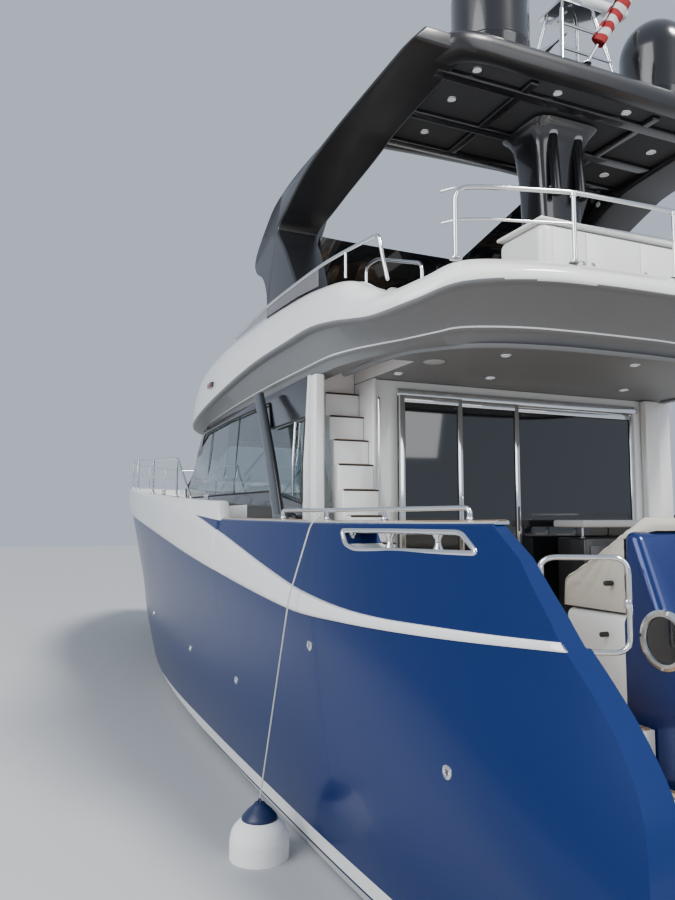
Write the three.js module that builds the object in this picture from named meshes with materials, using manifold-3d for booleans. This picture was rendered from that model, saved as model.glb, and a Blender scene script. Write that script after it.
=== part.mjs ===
// Motor yacht with a flybridge, about 17.2 m long, in millimetres.
// X points to the bow, Y to port, Z up. X = 0 is mid-length and Z = 0 is the waterline.
import * as THREE from "three";
import Module from "manifold-3d";
import { mergeVertices } from "three/addons/utils/BufferGeometryUtils.js";

const wasm = await Module();
wasm.setup();

// Driving dimensions.
const GAP = 0.6;                 // clearance between neighbouring solids
const SOLE = 1300;               // cockpit and saloon floor
const HOUSE_AFT = -4120;         // outer face of the saloon's aft bulkhead
const HOUSE_TOP = 3469;          // top of the house walls
const HOUSE_WALL = 60;
const BELT = 2750;               // height where the windscreen starts to lean back
const SOFFIT = 3470;             // underside of the flybridge
const FLY_DECK = 3600;
const ROOF = { low: 5590, high: 5730, aft: -5500, fore: -3870, half: 1620 };
const BULWARK = 100;             // thickness of the bulwark
const DECK_STEP = 150;           // deck height over the hull's joint
const POD = { x: -5450, y: 850, well: -630, axis: -1080, reach: 480 };
const PLATFORM = { aft: -8600, fore: -7690, low: 380, high: 470, half: 1900 };
const ARM = { hull: [-7810, -330], tip: [-8300, 230], y: 900, pin: 15 };
const STAIR = { inner: 1440, outer: 1755, count: 11, head: -3780 };
const GATE = { hinge: [-6660, 1795], tip: [-6880, 1440], low: 1670, high: 2120, tube: 14 };
const DOOR = { low: 1330, high: 3340, inner: -1450, split: 60, mid: 640, outer: 1180 };

// Hull sections from stern to bow: x, then the height of the keel, then y and z of the chine,
// of the knee where the quarter turns in, of the joint with the deck moulding, and of the sheer.
const STATIONS = [
  [-7600, -600, 1950, 20, 2060, 750, 1760, 1760, 1620, 2290],
  [-7000, -640, 2020, 20, 2150, 950, 1950, 1735, 1800, 2280],
  [-6300, -690, 2080, 20, 2215, 1220, 2130, 1710, 1990, 2270],
  [-5400, -740, 2120, 30, 2265, 1360, 2265, 1690, 2180, 2270],
  [-4500, -780, 2140, 40, 2280, 1270, 2300, 1690, 2240, 2275],
  [-2000, -860, 2150, 80, 2270, 1200, 2330, 1900, 2300, 2330],
  [500, -900, 2100, 160, 2240, 1300, 2330, 2170, 2335, 2570],
  [2500, -880, 1930, 320, 2110, 1400, 2260, 2360, 2285, 2770],
  [4500, -740, 1500, 580, 1740, 1500, 1980, 2440, 2030, 2860],
  [6000, -400, 1020, 880, 1270, 1640, 1560, 2480, 1620, 2920],
  [7200, 250, 550, 1240, 760, 1850, 1020, 2520, 1090, 2960],
  [8000, 1000, 220, 1620, 350, 2060, 520, 2560, 580, 2980],
  [8450, 1750, 70, 2020, 115, 2300, 180, 2600, 220, 3000],
  [8600, 2200, 30, 2350, 40, 2500, 55, 2620, 65, 3000],
];
const LOFT_XS = [
  -7600, -7220, -7000, -6300, -5850, -5400, -4950, -4500, -3800, -2620, -2540, -2000, -750, 500, 1500, 2500,
  3500, 4500, 5250, 6000, 6600, 7200, 7600, 8000, 8250, 8450, 8600,
];

// Step up of the bulwark: where it starts, where it is full, where it has blended in, and its height.
const RISE = { aft: -2620, full: -2540, fore: 2500, height: 165 };

// Rub band: x and the band's height over the joint.
const BAND = [
  [-7220, 42], [-5940, 50], [-5400, 78], [-4830, 130], [-3790, 215], [-2000, 365], [-1200, 390], [800, 400],
  [4500, 405], [8250, 400],
];

// House outline, half of it from the aft port corner to the centre of the windscreen: x, y.
const HOUSE_BASE = [
  [-4120, 2000], [-1500, 1960], [600, 1880], [1900, 1640], [2850, 1180], [3430, 620], [3600, 0],
];
const HOUSE_CROWN = [
  [-4120, 1960], [-1500, 1900], [0, 1810], [750, 1520], [1180, 1060], [1420, 520], [1480, 0],
];

// Flybridge outline, half of it: x, y, height of the lip's underside, height of the coaming.
const FLY = [
  [-6100, 0, 3770, 3965], [-6060, 700, 3775, 3965], [-5980, 1200, 3775, 3965], [-5810, 1640, 3745, 3955],
  [-5600, 1870, 3660, 3870], [-5300, 2010, 3620, 3835], [-5050, 2060, 3650, 3930], [-4800, 2090, 3690, 4035],
  [-4400, 2105, 3735, 4100], [-3900, 2110, 3735, 4145], [-2900, 2110, 3720, 4180], [-1600, 2100, 3620, 4165],
  [-500, 2040, 3530, 4100], [300, 1890, 3500, 4040], [850, 1640, 3490, 4000], [1250, 1260, 3485, 3975],
  [1500, 720, 3480, 3960], [1600, 0, 3480, 3950],
];

// Side arm of the hardtop, seen from the side: x, z, from the aft end over the top and back.
const ARM_PROFILE = [
  [-5400, 5715], [-4900, 5735], [-4500, 5735], [-4090, 5700], [-3700, 5655], [-3410, 5590], [-2950, 5395],
  [-2700, 5200], [-2500, 4990], [-2470, 4870], [-2560, 4760], [-2780, 4640], [-2950, 4420], [-3020, 4145],
  [-3900, 4145], [-3700, 4400], [-3400, 4740], [-3120, 5030], [-3330, 5170], [-3540, 5280], [-3800, 5380],
  [-4110, 5470], [-4400, 5530], [-5400, 5600],
];

// Distance of an arm's outer and inner face from the centreline at a height.
const ARM_OUTER = [[4145, 1985], [4870, 1930], [5200, 1890], [5400, 1850], [5600, 1740], [5740, 1610]];
const ARM_INNER = [[4145, 1700], [5030, 1500], [5260, 1390], [5470, 1300], [5740, 1290]];

// Finishes: colour, roughness, metalness.
const FINISHES = {
  navy: [0x0b1d4a, 0.15, 0.6], white: [0xe9e9e6, 0.3, 0], black: [0x101114, 0.2, 0.2],
  steel: [0xc9ccd0, 0.15, 1], glass: [0x22282c, 0.05, 0], smoke: [0x4a4e52, 0.1, 0],
  teak: [0xa87a4c, 0.7, 0], canvas: [0xbfb6a4, 0.9, 0], cushion: [0xd8d4ca, 0.85, 0],
  bronze: [0xa8814a, 0.35, 1], dark: [0x2a2c30, 0.5, 0.1], flag: [0xb04040, 0.9, 0], wood: [0x6b4a32, 0.5, 0],
};

const v3 = (x, y, z) => new THREE.Vector3(x, y, z);
const lerp = THREE.MathUtils.lerp;

// Value of every column of a table at x, on a smooth curve through its rows.
function sample(table, x) {
  const last = table.length - 2;
  const i = Math.min(Math.max(table.findIndex((row) => row[0] > x) - 1, 0), last);
  const k = x >= table[last + 1][0] ? last : i;
  const [a, b] = [table[k], table[k + 1]];
  const span = b[0] - a[0];
  const t = Math.min(Math.max((x - a[0]) / span, 0), 1);
  const slope = (j, column) => {
    const [p, q] = [table[Math.max(j - 1, 0)], table[Math.min(j + 1, last + 1)]];
    return (q[column] - p[column]) / (q[0] - p[0]);
  };
  return a.map((_, column) => {
    if (column === 0) return x;
    const [ma, mb] = [slope(k, column) * span, slope(k + 1, column) * span];
    const [t2, t3] = [t * t, t * t * t];
    return (2 * t3 - 3 * t2 + 1) * a[column] + (t3 - 2 * t2 + t) * ma
      + (3 * t2 - 2 * t3) * b[column] + (t3 - t2) * mb;
  });
}

// Closed geometry from points and triangles, turned so that its faces point out.
function closedGeometry(points, triangles) {
  let volume = 0;
  for (const [a, b, c] of triangles) {
    volume += points[a].dot(v3(0, 0, 0).crossVectors(points[b], points[c]));
  }
  const order = volume < 0 ? triangles.map(([a, b, c]) => [a, c, b]) : triangles;
  const geometry = new THREE.BufferGeometry();
  geometry.setAttribute("position", new THREE.Float32BufferAttribute(points.flatMap((p) => p.toArray()), 3));
  geometry.setIndex(order.flat());
  return geometry;
}

// Triangles that close a ring, in the ring's own turning direction, as indices into the ring.
function capFaces(ring) {
  const normal = ring.reduce((sum, point, i) => sum.add(v3(0, 0, 0).crossVectors(
    point.clone().sub(ring[0]), ring[(i + 1) % ring.length].clone().sub(ring[0]),
  )), v3(0, 0, 0));
  const [p, q] = ["x", "y", "z"].sort((a, b) => Math.abs(normal[a]) - Math.abs(normal[b]));
  const flat = ring.map((point) => new THREE.Vector2(point[p], point[q]));
  const faces = THREE.ShapeUtils.triangulateShape([...flat], []);
  const area = faces.reduce((sum, face) => sum + THREE.ShapeUtils.area(face.map((n) => flat[n])), 0);
  const sameWay = area * THREE.ShapeUtils.area(flat) > 0;
  return faces.map(([a, b, c]) => (sameWay ? [a, b, c] : [a, c, b]));
}

// Solid through rings of equal count, with flat caps.
function loft(rings) {
  const count = rings[0].length;
  const end = (rings.length - 1) * count;
  const triangles = [
    ...capFaces(rings[0]).map(([a, b, c]) => [a, c, b]),
    ...capFaces(rings.at(-1)).map((face) => face.map((n) => n + end)),
  ];
  for (let r = 0; r + 1 < rings.length; r += 1) {
    for (let i = 0; i < count; i += 1) {
      const j = (i + 1) % count;
      const [a, b, c, d] = [r * count + i, r * count + j, (r + 1) * count + j, (r + 1) * count + i];
      triangles.push([a, b, c], [a, c, d]);
    }
  }
  return solid(closedGeometry(rings.flat(), triangles));
}

// Manifold solid from a three.js geometry.
function solid(geometry) {
  const bare = geometry.clone();
  bare.deleteAttribute("normal");
  bare.deleteAttribute("uv");
  const merged = mergeVertices(bare, 0.001);
  return new wasm.Manifold(new wasm.Mesh({
    numProp: 3,
    vertProperties: Float32Array.from(merged.attributes.position.array),
    triVerts: Uint32Array.from(merged.index.array),
  }));
}

const union = (solids) => solids.reduce((sum, next) => sum.add(next));
const bothSides = (make) => [1, -1].map((side) => make(side));

function block(x0, x1, y0, y1, z0, z1) {
  const geometry = new THREE.BoxGeometry(Math.abs(x1 - x0), Math.abs(y1 - y0), Math.abs(z1 - z0));
  return solid(geometry.translate((x0 + x1) / 2, (y0 + y1) / 2, (z0 + z1) / 2));
}

// Prisms of an outline along Z, Y and X.
const prismZ = (outline, z0, z1) => loft([z0, z1].map((z) => outline.map(([x, y]) => v3(x, y, z))));
const prismY = (outline, y0, y1) => loft([y0, y1].map((y) => outline.map(([x, z]) => v3(x, y, z))));
const prismX = (outline, x0, x1) => loft([x0, x1].map((x) => outline.map(([y, z]) => v3(x, y, z))));

// Round bar between two points.
function rod(a, b, radius, sides = 10, radiusEnd = radius) {
  const [from, to] = [v3(...a), v3(...b)];
  const along = to.clone().sub(from);
  const geometry = new THREE.CylinderGeometry(radiusEnd, radius, along.length(), sides);
  geometry.applyQuaternion(new THREE.Quaternion().setFromUnitVectors(v3(0, 1, 0), along.clone().normalize()));
  const middle = from.add(to).multiplyScalar(0.5);
  return solid(geometry.translate(middle.x, middle.y, middle.z));
}

// Bent tube along points: straight runs of rod with a ball at each bend.
function pipe(points, radius, sides = 6) {
  const runs = points.slice(1).map((p, i) => rod(points[i], p, radius, sides));
  const bends = points.slice(1, -1).map((p) => ball(p, radius * 1.04, sides));
  return union([...runs, ...bends]);
}

function ball([x, y, z], radius, sides) {
  return solid(new THREE.SphereGeometry(radius, sides, Math.max(3, Math.round(sides / 2))).translate(x, y, z));
}

// Turned piece: profile of radius and height, standing on the point given, along Z or X.
function turned(profile, [x, y, z], sides = 20, alongX = false) {
  const geometry = new THREE.LatheGeometry(profile.map(([r, h]) => new THREE.Vector2(r, h)), sides);
  if (alongX) geometry.rotateZ(-Math.PI / 2);
  else geometry.rotateX(Math.PI / 2);
  return solid(geometry.translate(x, y, z));
}

// Cushion or moulding with eased edges.
function pad(x0, x1, y0, y1, z0, z1, ease = 30) {
  const level = (inset, z) => [
    [x0 + inset, y0 + ease], [x0 + ease, y0 + inset], [x1 - ease, y0 + inset], [x1 - inset, y0 + ease],
    [x1 - inset, y1 - ease], [x1 - ease, y1 - inset], [x0 + ease, y1 - inset], [x0 + inset, y1 - ease],
  ].map(([x, y]) => v3(x, y, z));
  return loft([level(ease * 0.4, z0), level(0, z0 + ease), level(0, z1 - ease), level(ease * 0.4, z1)]);
}

const mirrorHalf = (half) => [...half, ...half.filter(([, y]) => y > 0).reverse().map(([x, y]) => [x, -y])];

// Hull, deck moulding and rub band.
const [KEEL, CHINE_Y, CHINE_Z, KNEE_Y, KNEE_Z] = [1, 2, 3, 4, 5];
const [JOINT_Y, JOINT_Z, SHEER_Y, SHEER_Z] = [6, 7, 8, 9];
const deckHeight = (x) => sample(STATIONS, x)[JOINT_Z] + DECK_STEP;

// Station at x with the bulwark's step up in its sheer.
function station(x) {
  const row = sample(STATIONS, x);
  const up = THREE.MathUtils.smoothstep(x, RISE.aft, RISE.full);
  row[SHEER_Z] += RISE.height * up * (1 - THREE.MathUtils.smoothstep(x, RISE.full, RISE.fore));
  return row;
}

// Point on top of the bulwark at x, raised, and set in from its outer edge.
function sheerPoint(x, side, raised, inset) {
  const n = Math.max(LOFT_XS.findIndex((next) => next >= x), 1);
  const [a, b] = [LOFT_XS[n - 1], LOFT_XS[n]].map(station);
  const part = (x - a[0]) / (b[0] - a[0]);
  return [x, side * (lerp(a[SHEER_Y], b[SHEER_Y], part) - inset), lerp(a[SHEER_Z], b[SHEER_Z], part) + raised];
}

function ringAcross(x, halfPoints) {
  const port = halfPoints.map(([y, z]) => v3(x, y, z));
  const starboard = halfPoints.filter(([y]) => y > 0).reverse().map(([y, z]) => v3(x, -y, z));
  return [...port, ...starboard];
}

function hullRing(x, grow = 0, toSheer = false) {
  const s = station(x);
  const bulge = x < 3000 ? 15 : s[CHINE_Y] * -0.015;
  const side = [
    [0, s[KEEL]],
    [s[CHINE_Y] * 0.5, lerp(s[KEEL], s[CHINE_Z], 0.5) - 15],
    [Math.max(s[CHINE_Y] - 70, s[CHINE_Y] * 0.7), s[CHINE_Z] - 12],
    [s[CHINE_Y] + grow, s[CHINE_Z]],
    [lerp(s[CHINE_Y], s[KNEE_Y], 0.55) + bulge + grow, lerp(s[CHINE_Z], s[KNEE_Z], 0.5)],
    [s[KNEE_Y] + grow, s[KNEE_Z]],
    [s[JOINT_Y] + grow, s[JOINT_Z]],
  ];
  if (toSheer) side.push([s[SHEER_Y] + grow, s[SHEER_Z] + grow]);
  return ringAcross(x, side);
}

const outerForm = (grow) => loft(LOFT_XS.map((x) => hullRing(x, grow, true)));

function deckBlank() {
  return loft(LOFT_XS.map((x) => {
    const s = station(x);
    return ringAcross(x, [[s[JOINT_Y], s[JOINT_Z] + GAP], [s[SHEER_Y], s[SHEER_Z]]]);
  }));
}

function deckRecess() {
  const xs = LOFT_XS.filter((x) => x >= -4500 && x <= 8250);
  return loft(xs.map((x) => {
    const s = station(x);
    const wall = Math.min(BULWARK, s[SHEER_Y] * 0.4);
    return ringAcross(x, [[s[JOINT_Y] - wall, deckHeight(x)], [s[SHEER_Y] - wall, s[SHEER_Z] + 300]]);
  }));
}

// Plan of the cockpit well, half of it: x, y.
const COCKPIT = [[-7700, 1800], [-6900, 1830], [-6200, 1890], [HOUSE_AFT + 8, 2020]];
const cockpitOutline = [...COCKPIT, ...COCKPIT.map(([x, y]) => [x, -y]).reverse()];
const STERN = [
  [-6510, 2500], [-6510, 2275], [-7210, 1750], [-7430, 1450], [-7520, 1200], [-7570, 520], [-7590, -900],
];
const sternCut = () => prismY([...STERN, [-9000, -900], [-9000, 2500]], -3000, 3000);
const growHouse = (outline, grow) => outline.map(([x, y], i) => {
  const forward = i === 0 ? -1 : (i - 1) / (outline.length - 2);
  return [x + grow * forward, y > 0 ? y + grow : 0];
});
const houseHole = () => prismZ(mirrorHalf(growHouse(HOUSE_BASE, 4)), SOLE, 5000);

// Mooring slot in the wing's side, seen from the side: x, z.
const SLOT = [[-6290, 2236], [-6430, 2130], [-5400, 2122], [-5290, 2150], [-5230, 2236]];

// Outline with every edge moved inwards by the same amount.
function insetOutline(outline, by) {
  const turn = Math.sign(THREE.ShapeUtils.area(outline.map(([x, y]) => new THREE.Vector2(x, y))));
  const edge = (i) => {
    const [a, b] = [outline.at(i), outline[(i + 1 + outline.length) % outline.length]];
    const size = Math.hypot(b[0] - a[0], b[1] - a[1]);
    const [dx, dy] = [(b[0] - a[0]) / size, (b[1] - a[1]) / size];
    return { point: [a[0] - dy * by * turn, a[1] + dx * by * turn], dx, dy };
  };
  return outline.map((_, i) => {
    const [p, q] = [edge(i - 1), edge(i)];
    const cross = p.dx * q.dy - p.dy * q.dx;
    const t = ((q.point[0] - p.point[0]) * q.dy - (q.point[1] - p.point[1]) * q.dx) / cross;
    return [p.point[0] + p.dx * t, p.point[1] + p.dy * t];
  });
}
const slotCut = (by, inner = -3000) => prismY(insetOutline(SLOT, by), inner, 3000);

function hull() {
  const passages = bothSides((side) => union([0, 1, 2, 3].map((n) => block(
    -7900, -7280 + n * 200, side * 1330, side * 1800, 560 + n * 247, 2500,
  ))));
  const wells = bothSides((side) => rod([POD.x, side * POD.y, POD.well], [POD.x, side * POD.y, 0], 320, 20));
  return loft(LOFT_XS.map((x) => hullRing(x)))
    .add(union(wells))
    .subtract(prismZ(cockpitOutline.map(([x, y]) => [Math.max(x, -6720), y]), SOLE, 4000))
    .subtract(block(-7900, -6600, -1310, 1310, 500, 4000))
    .subtract(union(passages))
    .subtract(houseHole())
    .subtract(sternCut())
    .add(union(armBrackets()));
}

function deckMoulding() {
  const trunk = loft([[3300, 1240, 2900], [4600, 1120, 2890], [5900, 780, 2830], [6600, 430, 2740]].map(
    ([x, y, z]) => ringAcross(x, [[y + 60, deckHeight(x) - 40], [y, z - 40], [y * 0.8, z], [0, z + 15]]),
  ));
  return deckBlank()
    .subtract(deckRecess())
    .add(trunk)
    .subtract(prismZ(cockpitOutline, SOLE, 4000))
    .subtract(houseHole())
    .subtract(slotCut(0))
    .subtract(sternCut());
}

function rubBand(side) {
  const ring = (x) => {
    const s = station(x);
    const top = Math.min(sample(BAND, x)[1] / (s[SHEER_Z] - s[JOINT_Z]), 0.97);
    const outer = (part, out) => v3(
      x, side * (lerp(s[JOINT_Y], s[SHEER_Y], part) + out), lerp(s[JOINT_Z], s[SHEER_Z], part),
    );
    return [outer(-0.02, 6), outer(0.02, 30), outer(top * 0.5, 34), outer(top - 0.02, 24), outer(top, 6),
      outer(top, -25), outer(-0.02, -25)];
  };
  const run = LOFT_XS.filter((x) => x >= BAND[0][0] && x <= BAND.at(-1)[0]);
  return loft(run.map(ring)).subtract(outerForm(1.5)).subtract(sternCut());
}

// House: walls with their windows cut, glass, bulkhead and doors.
function houseForm(inset) {
  const level = (outline, z) => {
    const open = inset > 0 ? [[HOUSE_AFT - 500, outline[0][1]], ...outline.slice(1)] : outline;
    return mirrorHalf(growHouse(open, -inset)).map(([x, y]) => v3(x, y, z));
  };
  const over = inset > 0 ? 1 : 0;
  return loft([
    level(HOUSE_BASE, SOLE + GAP - over * 40), level(HOUSE_BASE, BELT), level(HOUSE_CROWN, HOUSE_TOP + over * 0.1),
    ...(over ? [level(HOUSE_CROWN, HOUSE_TOP + 60)] : []),
  ]);
}

// Side window, seen from the side: x, z. Windscreen, seen from ahead: y, z.
const SIDE_WINDOW = [
  [-4020, 2430], [-4020, 3130], [-3130, 3130], [-3020, 3390], [-150, 3400], [1100, 2720], [1000, 2600], [-3150, 2560],
];
const SCREEN_PANE = [[-1480, 2800], [-1100, 3400], [1100, 3400], [1480, 2800]];

const sideWindow = (side, by) => prismY(insetOutline(SIDE_WINDOW, by), side * 1150, side * 2300);
const screenPane = (by) => prismX(insetOutline(SCREEN_PANE, by), 900, 4200);

const aftTrim = () => block(HOUSE_AFT - 900, HOUSE_AFT + 62, -2200, 2200, 1000, 5000);
const houseWalls = () => houseForm(0)
  .subtract(houseForm(HOUSE_WALL))
  .subtract(aftTrim())
  .subtract(sideWindow(1, 0))
  .subtract(sideWindow(-1, 0))
  .subtract(screenPane(0));
const glassSkin = () => houseForm(20).subtract(houseForm(32));

const bulkhead = () => block(HOUSE_AFT, HOUSE_AFT + 60, -1930, STAIR.inner - 44, SOLE + GAP, HOUSE_TOP)
  .subtract(block(-4500, -3500, DOOR.inner, DOOR.outer, DOOR.low, DOOR.high));

// Door leaf or fixed light: frame of four bars around a pane.
function leaf(x, y0, y1, z0, z1, depth = 34) {
  const frame = block(x, x + depth, y0, y1, z0, z1)
    .subtract(block(x - 10, x + depth + 10, y0 + 45, y1 - 45, z0 + 60, z1 - 60));
  return frame.add(block(x + 12, x + 22, y0 + 40, y1 - 40, z0 + 55, z1 - 55));
}

// Stairs to the flybridge, steeper from the sixth riser up, and the walls beside them.
const RISERS = [-5000, -4850, -4700, -4550, -4400, -4270, -4180, -4090, -4000, -3910, -3820];
function stairs() {
  const rise = (FLY_DECK - 30 - SOLE) / STAIR.count;
  const outline = RISERS.flatMap((x, n) => [[x, SOLE + GAP + n * rise], [x, SOLE + (n + 1) * rise]]);
  outline.push([-3600, FLY_DECK - 30], [-3600, FLY_DECK - 130], [-3700, FLY_DECK - 330], [-4500, SOLE + GAP]);
  return prismY(outline, STAIR.inner, STAIR.outer)
    .subtract(block(STAIR.head - 4, -2000, 1000, 2000, SOFFIT - 2, 4000));
}

const stairEnclosure = () => block(HOUSE_AFT - 40, -3500, STAIR.inner - 40, STAIR.inner - 3, SOLE + GAP, HOUSE_TOP)
  .add(block(-3540, -3500, STAIR.inner - 40, STAIR.outer + 60, SOLE + GAP, HOUSE_TOP));

const strut = (side) => loft([[-3960, 2125, deckHeight(-3960) + 14, 110], [-3060, 2050, HOUSE_TOP - 1, 75]].map(
  ([x, y, z, half]) => [[-half, -20], [half, -20], [half, 20], [-half, 20]]
    .map(([dx, dy]) => v3(x + dx, side * y + dy, z)),
));

// Flybridge moulding: a swept coaming and lip around a deck slab.
function insetPlan(half, inset) {
  return half.map(([x, y, ...rest], i) => {
    const a = half[Math.max(i - 1, 0)];
    const b = half[Math.min(i + 1, half.length - 1)];
    const [dx, dy] = [b[0] - a[0], i === 0 || i === half.length - 1 ? 0 : b[1] - a[1]];
    const along = i === 0 ? [0, 1] : i === half.length - 1 ? [0, -1] : [dx, dy];
    const size = Math.hypot(...along);
    const normal = [along[1] / size, -along[0] / size];
    return [x + normal[0] * inset, Math.max(y + normal[1] * inset, 0), ...rest];
  });
}

function coaming() {
  const column = ([x, , lip, top], i, half) => {
    const low = lerp(450, 220, THREE.MathUtils.clamp((x + 6050) / 1600, 0, 1));
    const at = (inset, z) => {
      const [px, py] = insetPlan(half, inset)[i];
      return [px, py, z];
    };
    return [
      at(low, SOFFIT), at(40, lip), at(4, lip + 30), at(0, lip + 70), at(35, lerp(lip, top, 0.62)),
      at(95, top - 30), at(150, top), at(230, top), at(270, top - 25), at(300, FLY_DECK - 2), at(low + 10, FLY_DECK - 2),
    ];
  };
  const port = FLY.map(column);
  const starboard = port.slice(1, -1).reverse().map((ring) => ring.map(([x, y, z]) => [x, -y, z]));
  const rings = [...port, ...starboard].map((ring) => ring.map((p) => v3(...p)));
  return closedSweep(rings);
}

// Solid through rings that come back to the first.
function closedSweep(rings) {
  const count = rings[0].length;
  const triangles = [];
  rings.forEach((_, r) => {
    const next = (r + 1) % rings.length;
    for (let i = 0; i < count; i += 1) {
      const j = (i + 1) % count;
      const [a, b, c, d] = [r * count + i, r * count + j, next * count + j, next * count + i];
      triangles.push([a, b, c], [a, c, d]);
    }
  });
  return solid(closedGeometry(rings.flat(), triangles));
}

const flyPlan = (inset) => mirrorHalf(insetPlan(FLY, inset).map(([x, y]) => [x, y]));
const stairWell = () => block(-4850, STAIR.head, STAIR.inner, STAIR.outer, 3000, FLY_DECK + 400);
const hatch = () => pad(
  -4870, STAIR.head + 20, STAIR.inner - 20, STAIR.outer - 8, FLY_DECK + 6, FLY_DECK + 26, 6,
);
const flyMoulding = () => prismZ(flyPlan(260), SOFFIT, FLY_DECK)
  .subtract(block(-7000, -5540, -3000, 3000, 3000, FLY_DECK - 40))
  .add(coaming())
  .subtract(stairWell());

// Flybridge pieces.
const DASH = { aft: -2700, high: 4010 };
function flyDash() {
  return prismZ(flyPlan(312), FLY_DECK + GAP, DASH.high).intersect(block(DASH.aft, 3000, -3000, 3000, 3000, 5000));
}

const SCREEN_FOOT = [[-2640, 1560], [-2450, 1380], [-2250, 1000], [-2150, 480], [-2120, 0]];
const SCREEN_HEAD = [[-3105, 1480], [-3085, 1250], [-3075, 900], [-3070, 450], [-3070, 0]];
function flyScreen() {
  const wall = (half, inset, z) => {
    const inner = half.map(([x, y]) => [x - inset, y > 0 ? y - inset * 0.6 : 0]);
    return [...mirrorHalf(half), ...mirrorHalf(inner).reverse()].map(([x, y]) => v3(x, y, z));
  };
  return loft([wall(SCREEN_FOOT, 30, 4020), wall(SCREEN_HEAD, 30, 5030)]).subtract(union(bothSides(hardtopArm)));
}

// Smoked screen and its rim on the coaming's side: x, y, height of the rim.
const SCREEN_RIM = [
  [-5370, 1935, 3880], [-5290, 1960, 4205], [-4600, 2002, 4250], [-3940, 2012, 4265], [-3030, 2014, 4262],
  [-2040, 2004, 4200],
];
const PANE_TOP = [[-4350, 4250], [-3940, 4262], [-3030, 4258], [-2100, 4200]];
const SCREEN_LOW = [[-2100, 4182], [-2900, 4189], [-3900, 4153], [-4350, 4114]];
function sideScreen(side) {
  const rim = pipe(SCREEN_RIM.map(([x, y, z]) => [x, side * y, z]), 14);
  const post = rod([-4830, side * 1990, 4042], [-4830, side * 1990, 4240], 11, 6);
  const pane = prismY([...SCREEN_LOW, ...PANE_TOP], side * 2003, side * 2011);
  return union([rim, post, pane]);
}

const wetBar = () => pad(-5480, -4960, -1150, 750, FLY_DECK + GAP, 4470, 60);
const helmConsole = () => prismY(
  [[-3650, FLY_DECK + GAP], [-2702, FLY_DECK + GAP], [-2702, 4200], [-3050, 4520], [-3450, 4400]], -1050, -150,
);
const helmSeats = () => union([-350, -830].flatMap((y) => [
  pad(-4330, -3850, y - 225, y + 225, 4150, 4290, 40),
  pad(-4410, -4290, y - 215, y + 215, 4200, 4990, 40),
]).concat(block(-4290, -3930, -1000, -180, FLY_DECK + GAP, 4170)));
const flySofa = () => union([
  pad(-3900, -2760, 420, 1000, FLY_DECK + GAP, 4000, 40),
  pad(-3900, -2760, 970, 1180, FLY_DECK + GAP, 4380, 40),
]);
const flyTable = () => union([
  pad(-4880, -4080, -1680, -1100, 4250, 4290, 12),
  rod([-4480, -1390, FLY_DECK + GAP], [-4480, -1390, 4260], 60, 12),
]);

// Hardtop.
function hardtopRoof() {
  const half = [[ROOF.aft, 0], [ROOF.aft + 20, 1280], [ROOF.aft + 130, 1470], [-5000, 1590], [-4300, ROOF.half],
    [ROOF.fore, ROOF.half], [ROOF.fore - 60, 800], [ROOF.fore - 90, 0]];
  const outline = mirrorHalf(half);
  const level = (z, drop, inset) => outline.map(([x, y]) => v3(
    x + (x < -4600 ? inset : -inset), y * (1 - inset / 1500), z - drop * (y / 1500) ** 2,
  ));
  return loft([level(ROOF.low, 0, 40), level(ROOF.low + 50, 10, 0), level(ROOF.high + 30, 30, 20)]);
}

const hardtopArm = (side) => loft([ARM_OUTER, ARM_INNER].map(
  (table) => ARM_PROFILE.map(([x, z]) => v3(x, side * sample(table, z)[1], z)),
)).subtract(flyMoulding().translate([0, 0, GAP]));

// Dark screen from the flybridge windscreen up to the roof's forward edge, on the helm's side.
const helmScreen = () => loft([[-3085, 5033, -130, -1350], [-3900, 5600, -560, -1560]].map(
  ([x, z, port, starboard]) => [[x, port], [x, starboard], [x - 26, starboard], [x - 26, port]]
    .map(([px, y]) => v3(px, y, z)),
));
const hardtop = () => union([hardtopRoof(), ...bothSides(hardtopArm), helmScreen()]);

const pylon = () => union([
  loft([[3601, 200, 240], [4700, 170, 210], [5400, 190, 260], [ROOF.low - 2, 300, 330]].map(
    ([z, dx, dy]) => [[-dx, -dy], [dx, -dy], [dx, dy], [-dx, dy]].map(([x, y]) => v3(-4700 + x, y, z)),
  )),
  ...[130, -130].map((y) => rod([-4935, y, 4950], [-4895, y, 5500], 42, 12)),
]);

const dome = (y) => turned(
  [[0, 0], [230, 0], [290, 40], [300, 120], [300, 520], [285, 640], [230, 760], [130, 835], [0, 860]],
  [-5080, y, ROOF.high + 33], 18,
);
const radarMast = () => union([
  ...[[-5230, 300], [-5230, -300], [-4750, 300], [-4750, -300]].map(
    ([x, y]) => rod([x, y, ROOF.high + 34], [-5000 + (x + 5000) * 0.4, y * 0.55, 6500], 20, 8),
  ),
  rod([-5130, 200, 6300], [-5130, -200, 6300], 16, 8),
  block(-5150, -4850, -210, 210, 6490, 6520),
  rod([-5000, 0, 6510], [-5000, 0, 6590], 110, 16),
]);
const radarScanner = () => union([
  rod([-5000, 0, 6596], [-5000, 0, 6640], 60, 16),
  pad(-5060, -4940, -620, 620, 6630, 6720, 25),
]);
const ensign = () => union([
  rod([-5440, 250, ROOF.high + 32], [-5700, -150, 6560], 14, 8),
  rod([-5487, 178, 5905], [-5690, -136, 6490], 75, 8, 45),
]);

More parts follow.
